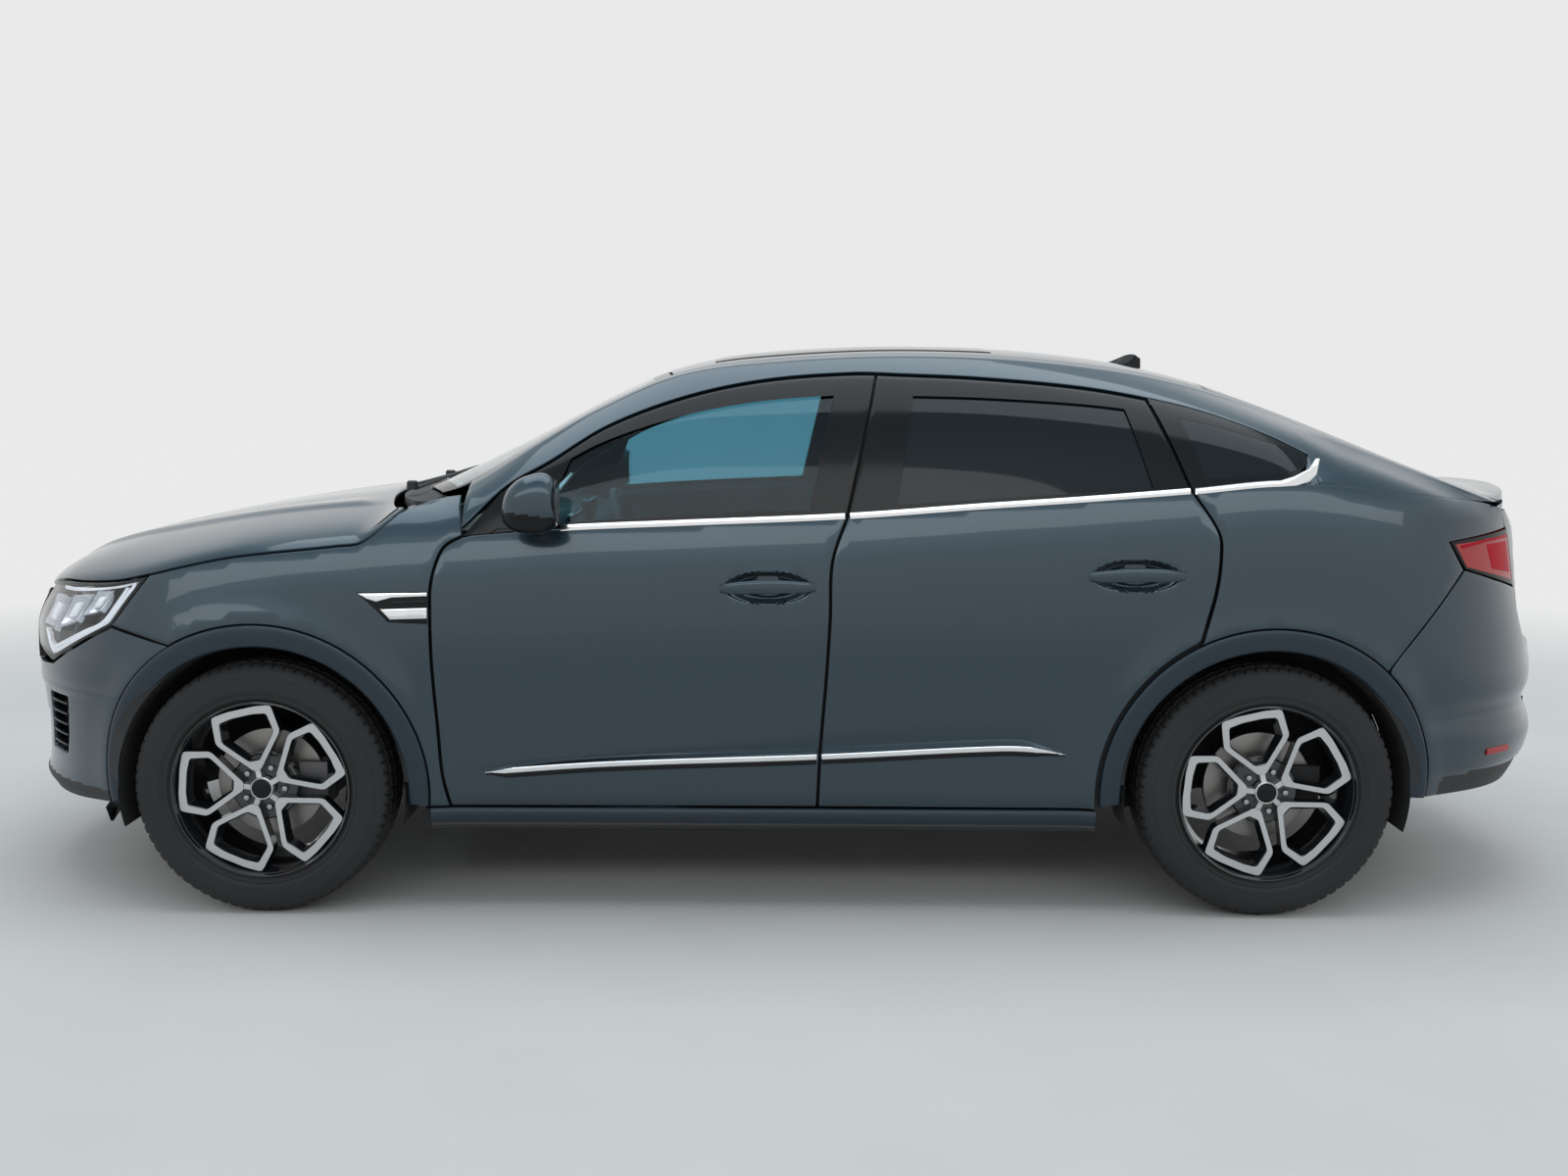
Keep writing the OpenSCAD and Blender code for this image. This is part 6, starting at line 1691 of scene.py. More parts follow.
@dataclass
class Nose:
    """Front bumper, grille, intakes and headlamps."""

    low: float = 262.0
    middle: float = 640.0
    grille_half: float = 30.0
    columns: int = 151
    rows: int = 101
    opening: tuple[float, float, float] = (0.2, 0.56, 0.48)
    slot_turn: float = 43.0
    slot_z: float = 478.0
    slot_lean: float = 0.02
    lip_z: float = 316.0
    slats: tuple[float, float] = (415.0, 541.0)
    mesh_half: float = 34.0
    mesh_z: tuple[float, float] = (322.0, 494.0)

    def arch(self, a: Points) -> Points:
        """Turn and height of the panel's edge on the front arch."""
        return turned(True, arch_at(FRONT_X, PANEL_R, a))

    def build(self) -> None:
        """Make every piece of the nose."""
        self.bumper()
        self.grille()
        self.headlamps()

    def bumper_net(self) -> tuple[Points, Points]:
        """Turn and height over the whole bumper."""
        u, v = np.linspace(0, 1, self.columns), np.linspace(0, 1, self.rows)
        end = self.arch(np.array([BUMPER_SIDE_LOW]))[0]
        bottom = mix(np.array([0, self.low]), end, u[:, None])
        bottom[:, 1] -= (end[1] - self.low) * (u - u**4)
        m = self.middle
        lamp = [turned(True, np.array(p)) for p in ((-2064, 650), (-1945, 716), (-1822, 777))]
        last = self.arch(np.array([BUMPER_SIDE_TOP]))[0] - [0, 4]
        top = chain([(0, m), (18, m), (36, m), *lamp, last], u)
        side = self.arch(mix(BUMPER_SIDE_LOW, BUMPER_SIDE_TOP, v))
        side[:, 1] -= 4 * v
        return both_halves(coons(bottom, top, pairs(0.0, mix(self.low, m, v)), side))

    def slot(self, a: Points, z: Points) -> Points:
        """Share of the side intake at a place: 1 inside it."""
        lean = self.slot_turn + (z - 480) * self.slot_lean
        across = 1 - ramp(np.abs(np.abs(a) - lean), 4.2, 5.2)
        return across * (1 - ramp(np.abs(z - self.slot_z), 80, 88))

    def bumper(self) -> None:
        """Painted bumper with its intakes and dark lower lip."""
        a, z = self.bumper_net()
        slot = self.slot(a, z)
        crease = 5 * bump_at(z, 590, 16) * (1 - ramp(np.abs(a), 50, 75))
        lip = -8 * bump_at(z, 300, 16) * (1 - ramp(np.abs(a), 40, 70))
        p = end_point(True, a, z, 34 * slot - crease + lip)
        foot, head, half = self.opening
        up, aside = mid_of(np.linspace(0, 1, self.rows)), np.abs(mid_of(np.linspace(-1, 1, p.shape[1])))
        skip = ((up > foot) & (up < head))[:, None] & (aside < half)[None]
        dark = (centres(z) < self.lip_z) & ~skip
        black = (centres(slot) > 0.5) & ~skip
        shell = Shell()
        shell.panel(p, 12, 2.0, 0, skip | dark | black, flip=True)
        shell.grid(p, 1, flip=True, skip=~dark)
        shell.grid(p, 2, flip=True, skip=~black)
        last = self.columns - 1
        rows = [round(k * (self.rows - 1)) for k in (foot, head)]
        ring = hole_edge(p, rows, [last + round(k * last) for k in (-half, half)])
        shell.grid(np.stack([ring, ring + np.array([46.0, 0, 0])]), 2, wrap=True)
        for k in (-1, 1):
            for slat in np.linspace(*self.slats, 5):
                turn = (np.linspace(38.6, 47.4, 9) + (slat - 480) * self.slot_lean) * k
                shell.sweep(end_point(True, turn, slat, 14.0), slab(9, 2.5, 14, 3), [-1, 0.7 * k, 0], 2)
        self.teeth(shell)
        shell.place("front_bumper_dressed", "body", [PAINT, BLACK, GLOSS_BLACK], "paint", ["front_bumper"])

    def teeth(self, shell: Shell) -> None:
        """Air deflectors under the bumper ahead of the front wheels."""
        y = np.linspace(640, 800, 13)
        x = -1880 - 0.25 * (720 - y)
        for k in (-1, 1):
            rows = [xyz(x + d, k * y, z) for d, z in ((-12, 275.0), (0, 236.0), (8, 236.0), (22, 278.0))]
            shell.grid(np.array(rows), 1, flip=k < 0)

    def grille(self) -> None:
        """Upper grille with rows of bright studs, and the lower intake's slats."""
        n = 61
        s = np.linspace(-1, 1, n)
        a = self.grille_half * s
        front = end_point(True, self.grille_half * np.abs(s) + 0.01, 800.0)
        top = BONNET_Z(front[:, 0]) - SHUT_GAP - 4 * np.abs(s)
        foot = self.middle + 0.5 + 1.5 * s * s
        shell = Shell()
        v = np.linspace(0, 1, 12)[:, None]
        shell.grid(end_point(True, a, mix(foot, top, v), 36.0), 0, flip=True)
        stud = np.array([(-3.4, 0, 0), (0, -7.5, 0), (0, 0, -4.4), (0, 7.5, 0), (0, 0, 4.4)]) + [-8.0, 0, 0]
        for k in np.linspace(0.06, 0.94, 9):
            line = end_point(True, a, mix(foot, top, k), 20.0)
            shell.sweep(line, bead(7, 9, 4, 14, 5), FORWARDS, 1)
            for j in range(3, n - 3, 3):
                shell.add(line[j] + stud, [(0, 1, 2), (0, 2, 3), (0, 3, 4), (0, 4, 1)], 2)
        for edge, d, finish in ((foot + 5, 3.0, 2), (top - 6, 5.0, 0)):
            shell.sweep(end_point(True, a, edge, d), bead(3, 6, 6, 20, 7), FORWARDS, finish)
        for k in (0, -1):
            line = end_point(True, a[k], mix(foot[k], top[k], v[:, 0]), 6.0)
            shell.sweep(line, bead(3, 6, 6, 30, 7), FORWARDS, 0)
        s = np.linspace(-1, 1, 41)
        z = np.linspace(*self.mesh_z, 10)[:, None]
        shell.grid(end_point(True, self.mesh_half * s, z, 40.0), 0, flip=True)
        for z in np.linspace(345, 470, 6):
            line = end_point(True, (self.mesh_half - 0.5) * s, z, 26.0)
            shell.sweep(line, bead(4, 6, 4, 16, 5), FORWARDS, 1)
        shell.place("grilles_dressed", "body", [GLOSS_BLACK, BLACK, CHROME], "black_plastic", ["grilles"])

    def lamp(self, u: Points, v: Points, d: Points | float) -> Points:
        """Point of the left headlamp at shares along and up, at a depth."""
        nose = end_point(True, -30.6, 760.0)[0]
        f0, f1 = np.array([nose + 14, 690.0]), LAMP_REAR_LOW + [0, 3]
        foot = chain([f0, (-2064, 660), (-1945, 725), f1], u)
        xh = np.array([-2100.0, -1718.0])
        h0, h1 = pairs(xh, BONNET_Z(xh) - SHUT_GAP - 0.3)
        xh = mix(*xh, u)
        head = pairs(xh, BONNET_Z(xh) - SHUT_GAP - 0.3)
        lead = path([f0, (nose, 770.0), h0], v)
        back = mix(f1, h1, v[..., None])
        uu, vv = u[..., None], v[..., None]
        q = foot * (1 - vv) + head * vv + lead * (1 - uu) + back * uu
        q = q - (f0 * (1 - uu) * (1 - vv) + f1 * uu * (1 - vv) + h0 * (1 - uu) * vv + h1 * uu * vv)
        t = turned(True, q)
        return end_point(True, -t[..., 0], t[..., 1], d)

    def headlamps(self) -> None:
        """Headlamps: housing, modules, light guides and clear cover."""
        left = Shell()
        u, v = np.meshgrid(np.linspace(0, 1, 50), np.linspace(0, 1, 26))
        rim = in_any((u < 0.04) | (u > 0.965) | (v < 0.05) | (v > 0.95))
        left.grid(self.lamp(u, v, 46.0 - 10 * np.cos(u * 24) * (v > 0.2)), 1)
        left.panel(self.lamp(u, v, 2.5), 44, 1.0, 1, ~rim)
        for u0, u1, v0, v1 in ((0.1, 0.32, 0.4, 0.8), (0.36, 0.56, 0.44, 0.82), (0.6, 0.76, 0.5, 0.84)):
            a, b = np.meshgrid(np.linspace(u0, u1, 12), np.linspace(v0, v1, 10))
            bowl = 10 * (((a - u0) / (u1 - u0) * 2 - 1) ** 2 + ((b - v0) / (v1 - v0) * 2 - 1) ** 2)
            left.panel(self.lamp(a, b, 30.0 - bowl), 14, 2.0, 2)
            across = np.linspace(mix(u0, u1, 0.3), mix(u0, u1, 0.7), 8)
            a, b = np.meshgrid(across, np.linspace(mix(v0, v1, 0.25), mix(v0, v1, 0.75), 8))
            left.panel(self.lamp(a, b, 18.0), 8, 3.0, 3)
        outer = [
            (0.2, 0.9), (0.5, 0.905), (0.8, 0.91), (0.93, 0.9), (0.935, 0.5), (0.9, 0.13), (0.75, 0.12),
            (0.55, 0.12), (0.36, 0.13), (0.28, 0.2), (0.24, 0.34),
        ]
        inner = [(p - 0.045, mix(0.5, q, 0.8)) for p, q in outer[3:]]
        for guide, h, d in ((outer, 5.5, 9.0), (inner, 3.96, 12.0)):
            q = path(guide, np.linspace(0, 1, 70))
            left.sweep(self.lamp(*q.T, d), bead(3, 4, h, 8, h), [-0.5, -1, 0], 3)
        left.grid(self.lamp(u, v, 0.0), 0)
        left.grid(self.lamp(u, v, 3.0), 0, flip=True)
        finishes = [LENS, GLOSS_BLACK, REFLECTOR, LIGHT_GUIDE]
        left.both().place("headlamps_dressed", "body", finishes, "lens", ["headlamps"])


@dataclass
class Engine:
    """Moulded cover on the engine, with its filler cap and the duct from the radiator."""

    front: float = -1800.0
    rear: float = -1345.0
    half: float = 285.0
    top: float = 826.0
    rise: float = 16.0
    rib: float = 7.0
    ribs: int = 7
    duct_y: float = -190.0
    duct: tuple[float, float] = (34.0, 26.0)

    def build(self) -> None:
        """Make the cover, cap and duct."""
        shell = Shell()
        u, s = np.meshgrid(np.linspace(0, 1, 61), np.linspace(-1, 1, 81), indexing="ij")
        crown = (1 - s**4) * (1 - (2 * u - 1) ** 4)
        ribs = np.clip(np.cos(s * math.pi * self.ribs) * 2.4, 0, 1) * (1 - ramp(np.abs(u - 0.5), 0.3, 0.36))
        inset = 7.8 * (1 - ramp(np.abs(s), 0.9, 1.0)) * ramp(u, 0.84, 0.9)
        z = self.top + self.rise * crown + self.rib * ribs * (np.abs(s) < 0.92) - inset
        shell.panel(xyz(mix(self.front, self.rear, u), s * self.half, z), 24, 8, 0, flip=True)
        turn = np.radians(np.linspace(0, 360, 49))
        x, y, z = spot = np.array([self.front + 52, 200.0, self.top + 4])
        ring = [(0, 22), (30, 22), (34, 18), (34, 0)]
        shell.grid(np.array([xyz(x + r * np.cos(turn), y + r * np.sin(turn), z + h) for r, h in ring]))
        shell.block(spot + [-28, -5, 20], spot + [28, 5, 30], 4, 1)
        knots = [(x, self.duct_y, z) for x, z in ((-2048, 738), (-1960, 768), (-1880, 806), (-1770, 822))]
        around = circle(18)
        section = pairs(self.duct[0] * np.cos(around), self.duct[1] * np.sin(around))
        shell.sweep(path(knots, np.linspace(0, 1, 60)), section, ALONG_Y, 1)
        shell.place("engine_cover", "body", [SOFT_TRIM, BLACK], "black_plastic")


GATE_X = np.array([1838, 1930, 2060, 2150, 2195], float)
GATE_BACK = np.array([0, 0.3, 0.65, 0.9, 1])


@dataclass
class Tail:
    """Rear bumper, tail lamps and tailgate."""

    low: float = 305.0
    top: float = 704.0
    gate_half: float = 560.0
    gate_in: float = 30.0
    margin: float = 566.0
    margin_x: tuple[float, float] = (2080.0, 2032.0)
    reflector_turn: tuple[float, float] = (46.0, 54.0)
    reflector_z: float = 432.0
    recess_z: float = 870.0
    recess: float = 20.0
    sweep: float = 165.0
    plan_half: float = 895.0
    lamp_inner: float = 580.0
    lip_z: float = 378.0
    glass_x: tuple[float, float] = (1246.0, 1838.0)
    glass_share: float = 0.9
    face_top: float = 1046.0
    face_low: float = 712.0
    glass_edge: tuple[float, float, float] = (1280.0, 1800.0, 0.83)
    deck_start: float = 1200.0
    deck_end: float = 2195.0

    def build(self) -> None:
        """Make every piece of the tail."""
        self.bumper()
        self.lamps()
        self.gate()

    def spot(self, y: Points | float, z: Points | float) -> Points:
        """Turn and height of the skin's point that is y out from the middle."""
        turn = np.degrees(np.arcsin(np.clip(y / self.plan_half, 0, 1) ** (TAIL_POWER / 2)))
        return pairs(turn, z)

    def bumper(self) -> None:
        """Rear bumper with its dark lower part and reflectors."""
        u, v = np.linspace(0, 1, 91), np.linspace(0, 1, 50)
        first = turned(False, arch_at(REAR_X, PANEL_R, np.array([TAIL_ARCH_LOW])))[0]
        bottom = mix(np.array([0, self.low]), first, u[:, None])
        knots = [(0, self.top), (20, self.top), self.spot(self.lamp_inner, self.top)]
        knots += [turned(False, np.array(p)) for p in (TAIL_LAMP_END, (1950, 914), (1841, 946))]
        end = QUARTER_ARCH_END - 0.5
        low = turned(False, arch_at(REAR_X, PANEL_R, mix(TAIL_ARCH_LOW, end, np.clip(v / 0.6, 0, 1))))
        k = np.clip((v - 0.6) / 0.4, 0, 1)[:, None]
        high = turned(False, mix(arch_at(REAR_X, PANEL_R, end), LAMP_FRONT_LOW + [5, -2], k))
        side = np.where((v < 0.6)[:, None], low, high)
        a, z = both_halves(coons(bottom, chain(knots, u), pairs(0.0, mix(self.low, self.top, v)), side))
        near = 1 - ramp(np.abs(a), 55, 75)
        hollow = 16 * bump_at(z, 545, 34) * near
        step = 10 * (1 - ramp(z, self.lip_z - 6, self.lip_z + 6)) * near
        p = end_point(False, a, z, hollow + step)
        dark = (centres(z) < self.lip_z) & (np.abs(centres(a)) < 64)
        shell = Shell()
        shell.panel(p, 12, 2.0, 0, dark)
        shell.grid(p, 1, skip=~dark)
        for k in (-1, 1):
            line = end_point(False, k * np.linspace(*self.reflector_turn, 10), self.reflector_z, -1.0)
            shell.sweep(line, bead(2, 4, 9, 9, 10), [1, 0.5 * k, 0], 2)
        self.corner(shell)
        shell.grid(np.stack([p[-1], p[-1] - np.array([40.0, 0, 1.5])]), 0, flip=True)
        shell.place("rear_bumper_dressed", "body", [PAINT, BLACK, RED_LENS], "paint", ["rear_bumper"])

    def corner(self, shell: Shell) -> None:
        """Painted margins beside the tailgate, from the quarters, lamps and bumper in to its edge."""
        left = Shell()
        x = np.linspace(1960, 2030, 16)
        side = np.minimum(x, QUARTER_END)
        z = quarter_top(side, REAR_SHUT[-1][0] + GAP)
        outer = xyz(side, -skin_w(side, z), z)
        y = np.maximum(self.margin, rail_in(x) + 1)
        inner = xyz(x + 4, -y, cap_z(x, y) - 3)
        left.grid(np.stack([outer, mix(outer, inner, 0.5), inner]), 0, flip=True)
        end = (QUARTER_END, QUARTER_END_Z)
        edge = (TAIL_LAMP_END, TAIL_LAMP_FOOT, TAIL_LAMP_TOP, QUARTER_TIP, end)
        knots = [self.spot(self.lamp_inner, self.top)] + [turned(False, np.array(q)) for q in edge]
        turn, height = np.array(knots).T
        z = np.linspace(self.top + 2, QUARTER_END_Z, 48)
        across = np.linspace(0, 1, 6)[:, None]
        a = mix(np.interp(z, height, turn) - 0.2, self.spot(self.margin, z)[:, 0], across)
        p = end_point(False, -a, z)
        limit = np.interp(z, [TAIL_LAMP_TOP[1], QUARTER_END_Z], self.margin_x)
        p[..., 0] = np.minimum(p[..., 0], limit)
        left.grid(np.concatenate([p, p[-1:] - np.array([36.0, 0, 0])]), 0, flip=True)
        shell.join(left.both())

    def lamp(self, u: Points, v: Points, d: Points | float) -> Points:
        """Point of the left tail lamp at shares along and up, at a depth."""
        foot = chain([LAMP_FRONT_LOW + [6, 3], (1950, 919), TAIL_LAMP_FOOT], u)
        head = mix(LAMP_TIP + [5, -1], np.array(TAIL_LAMP_TOP), u[..., None])
        t = turned(False, mix(foot, head, v[..., None]))
        return end_point(False, -t[..., 0], t[..., 1], d)

    def lamps(self) -> None:
        """Tail lamps: dark red cover with brighter light guides on it."""
        left = Shell()
        u, v = np.meshgrid(np.linspace(0, 1, 44), np.linspace(0, 1, 22))
        rim = in_any((u < 0.03) | (v < 0.05) | (v > 0.95))
        left.panel(self.lamp(u, v, -1.0), 30, 2.0, 0)
        left.panel(self.lamp(u, v, -1.6), 20, 1.5, 1, ~rim)
        a, b = np.meshgrid(np.linspace(0.52, 0.94, 24), np.linspace(0.22, 0.8, 12))
        left.panel(self.lamp(a, b, -2.2), 8, 2.0, 2)
        q = path([(0.12, 0.8), (0.5, 0.88), (0.97, 0.88)], np.linspace(0, 1, 30))
        left.sweep(self.lamp(*q.T, -1.0), bead(2, 3, 4, 6, 4), [0.4, -1, 0], 2)
        finishes = [RED_LENS, GLOSS_BLACK, RED_GLOW]
        left.both().place("tail_lamps_dressed", "body", finishes, "red_lens", ["tail_lamps"])

    def gate_top(self, x0: Points, s: Points) -> Points:
        """Point of the tailgate's upper face."""
        x = x0 - np.interp(x0, GATE_X, GATE_BACK) * self.sweep * s * s
        y = s * (rail_in(x) - GAP - 2)
        return xyz(x, y, cap_z(x, y))

    def gate_face(self, z: float, s: Points) -> Points:
        """Point of the tailgate's upright face."""
        y = s * self.gate_half
        turn = self.spot(np.abs(y) + 0.01, z)[..., 0]
        return xyz(end_point(False, turn, z)[..., 0] - self.gate_in, y, z)

    def gate(self) -> None:
        """Tailgate skin, spoiler lip, stop lamp and inner lining."""
        k, (x1, x2) = self.glass_share, self.glass_x
        ss = spans((-1, -k, 5), (-k, k, 45), (k, 1, 5))
        xs = spans((self.deck_start, x1, 4), (x1, x2, 40), (x2, self.deck_end, 34))
        x0, s = np.meshgrid(xs, ss, indexing="ij")
        deck = self.gate_top(x0, s)
        deck[..., 2] += 7 * ramp(x0, 2080, 2190) * (1 - ramp(np.abs(s), 0.9, 1.0))
        last = deck[-1]
        lip = [last + np.array(d) for d in ((3.0, 0, -12), (-2.0, 0, -30), (-14.0, 0, -42))]
        face_x = self.gate_face(self.face_top, ss)[:, 0]
        under = xyz(face_x, mix(last[:, 1], ss * self.gate_half, 0.5), last[:, 2] - 52)
        lip += [mix(lip[-1], under, t) for t in (0.35, 0.7, 1.0)]
        hollow = self.recess * (1 - ramp(np.abs(ss), 0.5, 0.9))
        face = [
            self.gate_face(z, ss) - xyz(hollow * bump_at(z, self.recess_z, 70), 0, 0)
            for z in np.linspace(self.face_top, self.face_low, 40)
        ]
        p = np.concatenate([deck, np.array(lip), np.array(face)])
        mx = mid_of(xs)
        skip = np.zeros((p.shape[0] - 1, p.shape[1] - 1), bool)
        skip[: len(mx)] = ((mx > x1) & (mx < x2))[:, None] & (np.abs(mid_of(ss)) < k)[None]
        shell = Shell()
        shell.panel(p, 16, 2.0, 0, skip, flip=True)
        lining = (p + grid_normals(p) * 34)[2:-2, 2:-2]
        shell.grid(lining, 1, skip=skip[2:-2, 2:-2])
        lamp = self.gate_top(self.deck_end, np.linspace(-0.32, 0.32, 30)) + np.array([1.5, 0, -16.0])
        shell.sweep(lamp, bead(2, 3, 7, 8, 7), [1, 0, 0], 2)
        shell.place("tailgate_dressed", "tailgate_lid", [PAINT, SOFT_TRIM, RED_LENS], "paint", ["tailgate"])
        self.gate_glass()

    def gate_glass(self) -> None:
        """Rear window with its printed edge."""
        k, (x1, x2) = self.glass_share, self.glass_x
        x0, s = np.meshgrid(np.linspace(x1, x2, 40), np.linspace(-k, k, 45), indexing="ij")
        first, last, aside = self.glass_edge
        edge = (x0 < first) | (x0 > last) | (np.abs(s) > aside)
        shell = Shell()
        shell.pane(self.gate_top(x0, s) - np.array([0, 0, 1.0]), in_all(edge))
        finishes = [DARK_GLASS, GLOSS_BLACK]
        shell.place("tailgate_glass_dressed", "tailgate_lid", finishes, "glass", ["tailgate_glass"])


@dataclass
class Mirror:
    """One door mirror: painted cap, black lower shell, glass and foot."""

    side: Side
    x: float = -660.0
    up: float = 78.0
    out: float = 96.0
    half: tuple[float, float, float] = (76.0, 58.0, 77.0)

    def build(self) -> None:
        """Make the mirror on its door."""
        belt = float(BELT(self.x))
        c = np.array([self.x, -float(side_w(self.x, belt)) - self.out, belt + self.up])
        shell = Shell()
        lat = np.linspace(-math.pi / 2, math.pi / 2, 40)
        lon = np.linspace(-math.pi, math.pi, 64, endpoint=False)
        a, b = np.meshgrid(lat, lon, indexing="ij")
        fx = signed(np.cos(a), 0.75) * signed(np.cos(b), 0.8)
        fy = signed(np.cos(a), 0.75) * signed(np.sin(b), 0.8)
        fz = signed(np.sin(a), 0.8)
        long, wide, tall = self.half
        x = fx * long * (1 - 0.12 * fz)
        x = np.where(x > 0, np.minimum(x, 0.86 * long), x)
        y = fy * wide * (1 - 0.14 * (fx < 0) * -fx)
        z = fz * tall * (1 + 0.12 * fx) + 9 * fx
        shell.split(c + xyz(x, y, z), mid_of(z) < -26 - 10 * fx[:-1], wrap=True, flip=True)
        t = np.linspace(0, 2 * math.pi, 40, endpoint=False)
        face = c + xyz(0.87 * long, np.cos(t) * 0.8 * wide, np.sin(t) * 0.72 * tall + 8)
        shell.grid(np.stack([face - np.array([4.0, 0, 0]), face + np.array([1.0, 0, 0])]), 1, wrap=True)
        shell.add(face + np.array([0.6, 0, 0]), [list(range(len(t)))], 2)
        self.foot(shell, c)
        shell = shell if self.side is Side.LEFT else shell.mirrored()
        word = self.side.word
        finishes = [PAINT, GLOSS_BLACK, MIRROR]
        shell.place(f"mirror_{word}_dressed", f"front_door_{word}", finishes, "paint", [f"mirror_{word}"])

    def foot(self, shell: Shell, c: Points) -> None:
        """Arm to the door."""
        line = c + np.array([(4, 30, -62), (4, 62, -72), (2, 94, -78)])
        a = circle(16)
        shell.sweep(line, pairs(13 * np.cos(a), 30 * np.sin(a)), UPWARDS, 1)


@dataclass
class Cabin:
    """Seats, dashboard, steering wheel and the other things seen through the glass."""

    driver_y: float = -372.0
    seat_x: float = -330.0
    seat_lean: float = 22.0
    seat_tilt: float = 6.0
    bench_y: float = 292.0
    bench_lean: float = 16.0
    floor: float = 286.3
    wheel_hub: tuple[float, float, float] = (-440.0, -372.0, 968.0)
    column_turn: float = 66.0
    wheel_r: float = 166.0

    def build(self) -> None:
        """Make every piece of the cabin."""
        self.front_seats()
        self.bench()
        self.dash()
        self.steering()

    def pad(
        self, name: str, size: Sequence[float], to_car: Callable[[Points], Points], finish: Sequence[Finish],
        replaces: Sequence[str], channels: int, wing: float,
    ) -> None:
        """One padded form: crowned, pulled in along its edges and sewn in channels.

        Args:
            name: Name of the piece.
            size: Width, length and thickness.
            to_car: Moves its points to the car.
            finish: Seat face and side finishes.
            replaces: CAD nodes that it stands for.
            channels: Sewn channels across its face.
            wing: How far its sides rise as bolsters.
        """
        w, l, t = size
        a = np.linspace(-math.pi, math.pi, 60, endpoint=False)
        rows = []
        across, along = signed(np.cos(a), 0.42) * w / 2, signed(np.sin(a), 0.42) * l / 2
        for h in np.linspace(-1, 1, 44):
            r = 0.12 + 0.88 * (1 - abs(h) ** 5) ** 0.2 if abs(h) < 0.999 else 0.0
            rows.append(xyz(across * r, along * r, h * t / 2))
        p = np.array(rows)
        top = np.clip(p[..., 2] / (t / 2), 0, 1)
        k = np.abs(p[..., 0]) / (w / 2)
        p[..., 2] += top * (wing * ramp(k, 0.5, 0.86) - 4 * (1 - k**2))
        p[..., 2] += top * 9 * (1 - (p[..., 1] / (l / 2)) ** 2)
        seam = np.abs(np.sin(p[..., 1] / l * math.pi * channels))
        p[..., 2] -= top * 5 * np.exp(-((seam / 0.16) ** 2)) * (1 - ramp(k, 0.5, 0.6))
        p[..., :2] *= 1 - 0.02 * (1 - np.abs(p[..., 2:3]) / (t / 2)).clip(0, 1)
        shell = Shell()
        shell.split(p, k[:-1] > 0.56, wrap=True, flip=True)
        obj = shell.moved(to_car).place(name, "body", finish, "cloth", replaces, 60)

    def laid(self, at: Sequence[float], along: float, fall: float) -> Callable[[Points], Points]:
        """Mover of a cushion to its place: y runs back and falls, z is up."""
        return lambda p: xyz(at[0] + p[:, 1] * along, at[1] + p[:, 0], at[2] - p[:, 1] * fall + p[:, 2])

    def leaned(self, at: Sequence[float], back: float, up: float) -> Callable[[Points], Points]:
        """Mover of a backrest to its place: y runs up and leans back, z is forwards."""
        return lambda p: xyz(
            at[0] + p[:, 1] * back - p[:, 2] * up, at[1] + p[:, 0], at[2] + p[:, 1] * up + p[:, 2] * back
        )

    def front_seats(self) -> None:
        """Two front seats with head restraints."""
        x, h = self.seat_x, self.floor
        lean, tilt = math.radians(self.seat_lean), math.radians(self.seat_tilt)
        cloth, leather = [CLOTH, LEATHER], [LEATHER, LEATHER]
        a = circle(12)
        for side in Side:
            y, word = side.value * abs(self.driver_y), side.word
            base = self.laid((x + 262, y, h + 196), math.cos(tilt), math.sin(tilt))
            back = self.leaned((x + 586, y, h + 500), math.sin(lean), math.cos(lean))
            head = self.leaned((x + 748, y, h + 846), 0.24, 0.97)
            nodes = ["front_seats"] if side is Side.LEFT else []
            self.pad(f"seat_cushion_{word}", (490, 500, 120), base, cloth, nodes, 4, 26)
            self.pad(f"seat_back_{word}", (460, 560, 112), back, cloth, [], 5, 26)
            self.pad(f"head_restraint_{word}", (256, 168, 76), head, leather, [], 1, 0)
            shell = Shell()
            shell.block((x + 80, y - 200, h - 14), (x + 470, y + 200, h + 142), 14)
            for k in (-55, 55):
                post = [(x + 690, y + k, h + 730), (x + 738, y + k, h + 810)]
                shell.sweep(post, pairs(6 * np.cos(a), 6 * np.sin(a)), ALONG_Y, 1)
            shell.place(f"seat_base_{word}", "body", [BLACK, STEEL], "steel")

    def bench(self) -> None:
        """Rear bench: two cushions, two backrests and two head restraints on one base."""
        z = self.floor
        lean = math.radians(self.bench_lean)
        cloth, leather = [CLOTH, LEATHER], [LEATHER, LEATHER]
        for k, y in enumerate((-self.bench_y, self.bench_y)):
            base = self.laid((745, y, z + 176), 0.99, 0.05)
            back = self.leaned((1020, y, 868), math.sin(lean), math.cos(lean))
            head = self.leaned((1108, y, 1176), 0.26, 0.96)
            nodes = ["rear_bench"] if k == 0 else []
            self.pad(f"bench_cushion_{k}", (580, 368, 148), base, cloth, nodes, 3, 10)
            self.pad(f"bench_back_{k}", (580, 520, 110), back, cloth, [], 4, 10)
            self.pad(f"bench_head_{k}", (250, 120, 74), head, leather, [], 1, 0)
        shell = Shell()
        shell.block((575, -570, z), (925, 570, z + 108), 10)
        shell.block((930, -560, 610), (1060, 560, 660), 10)
        shell.place("bench_base", "body", [CARPET], "cloth")

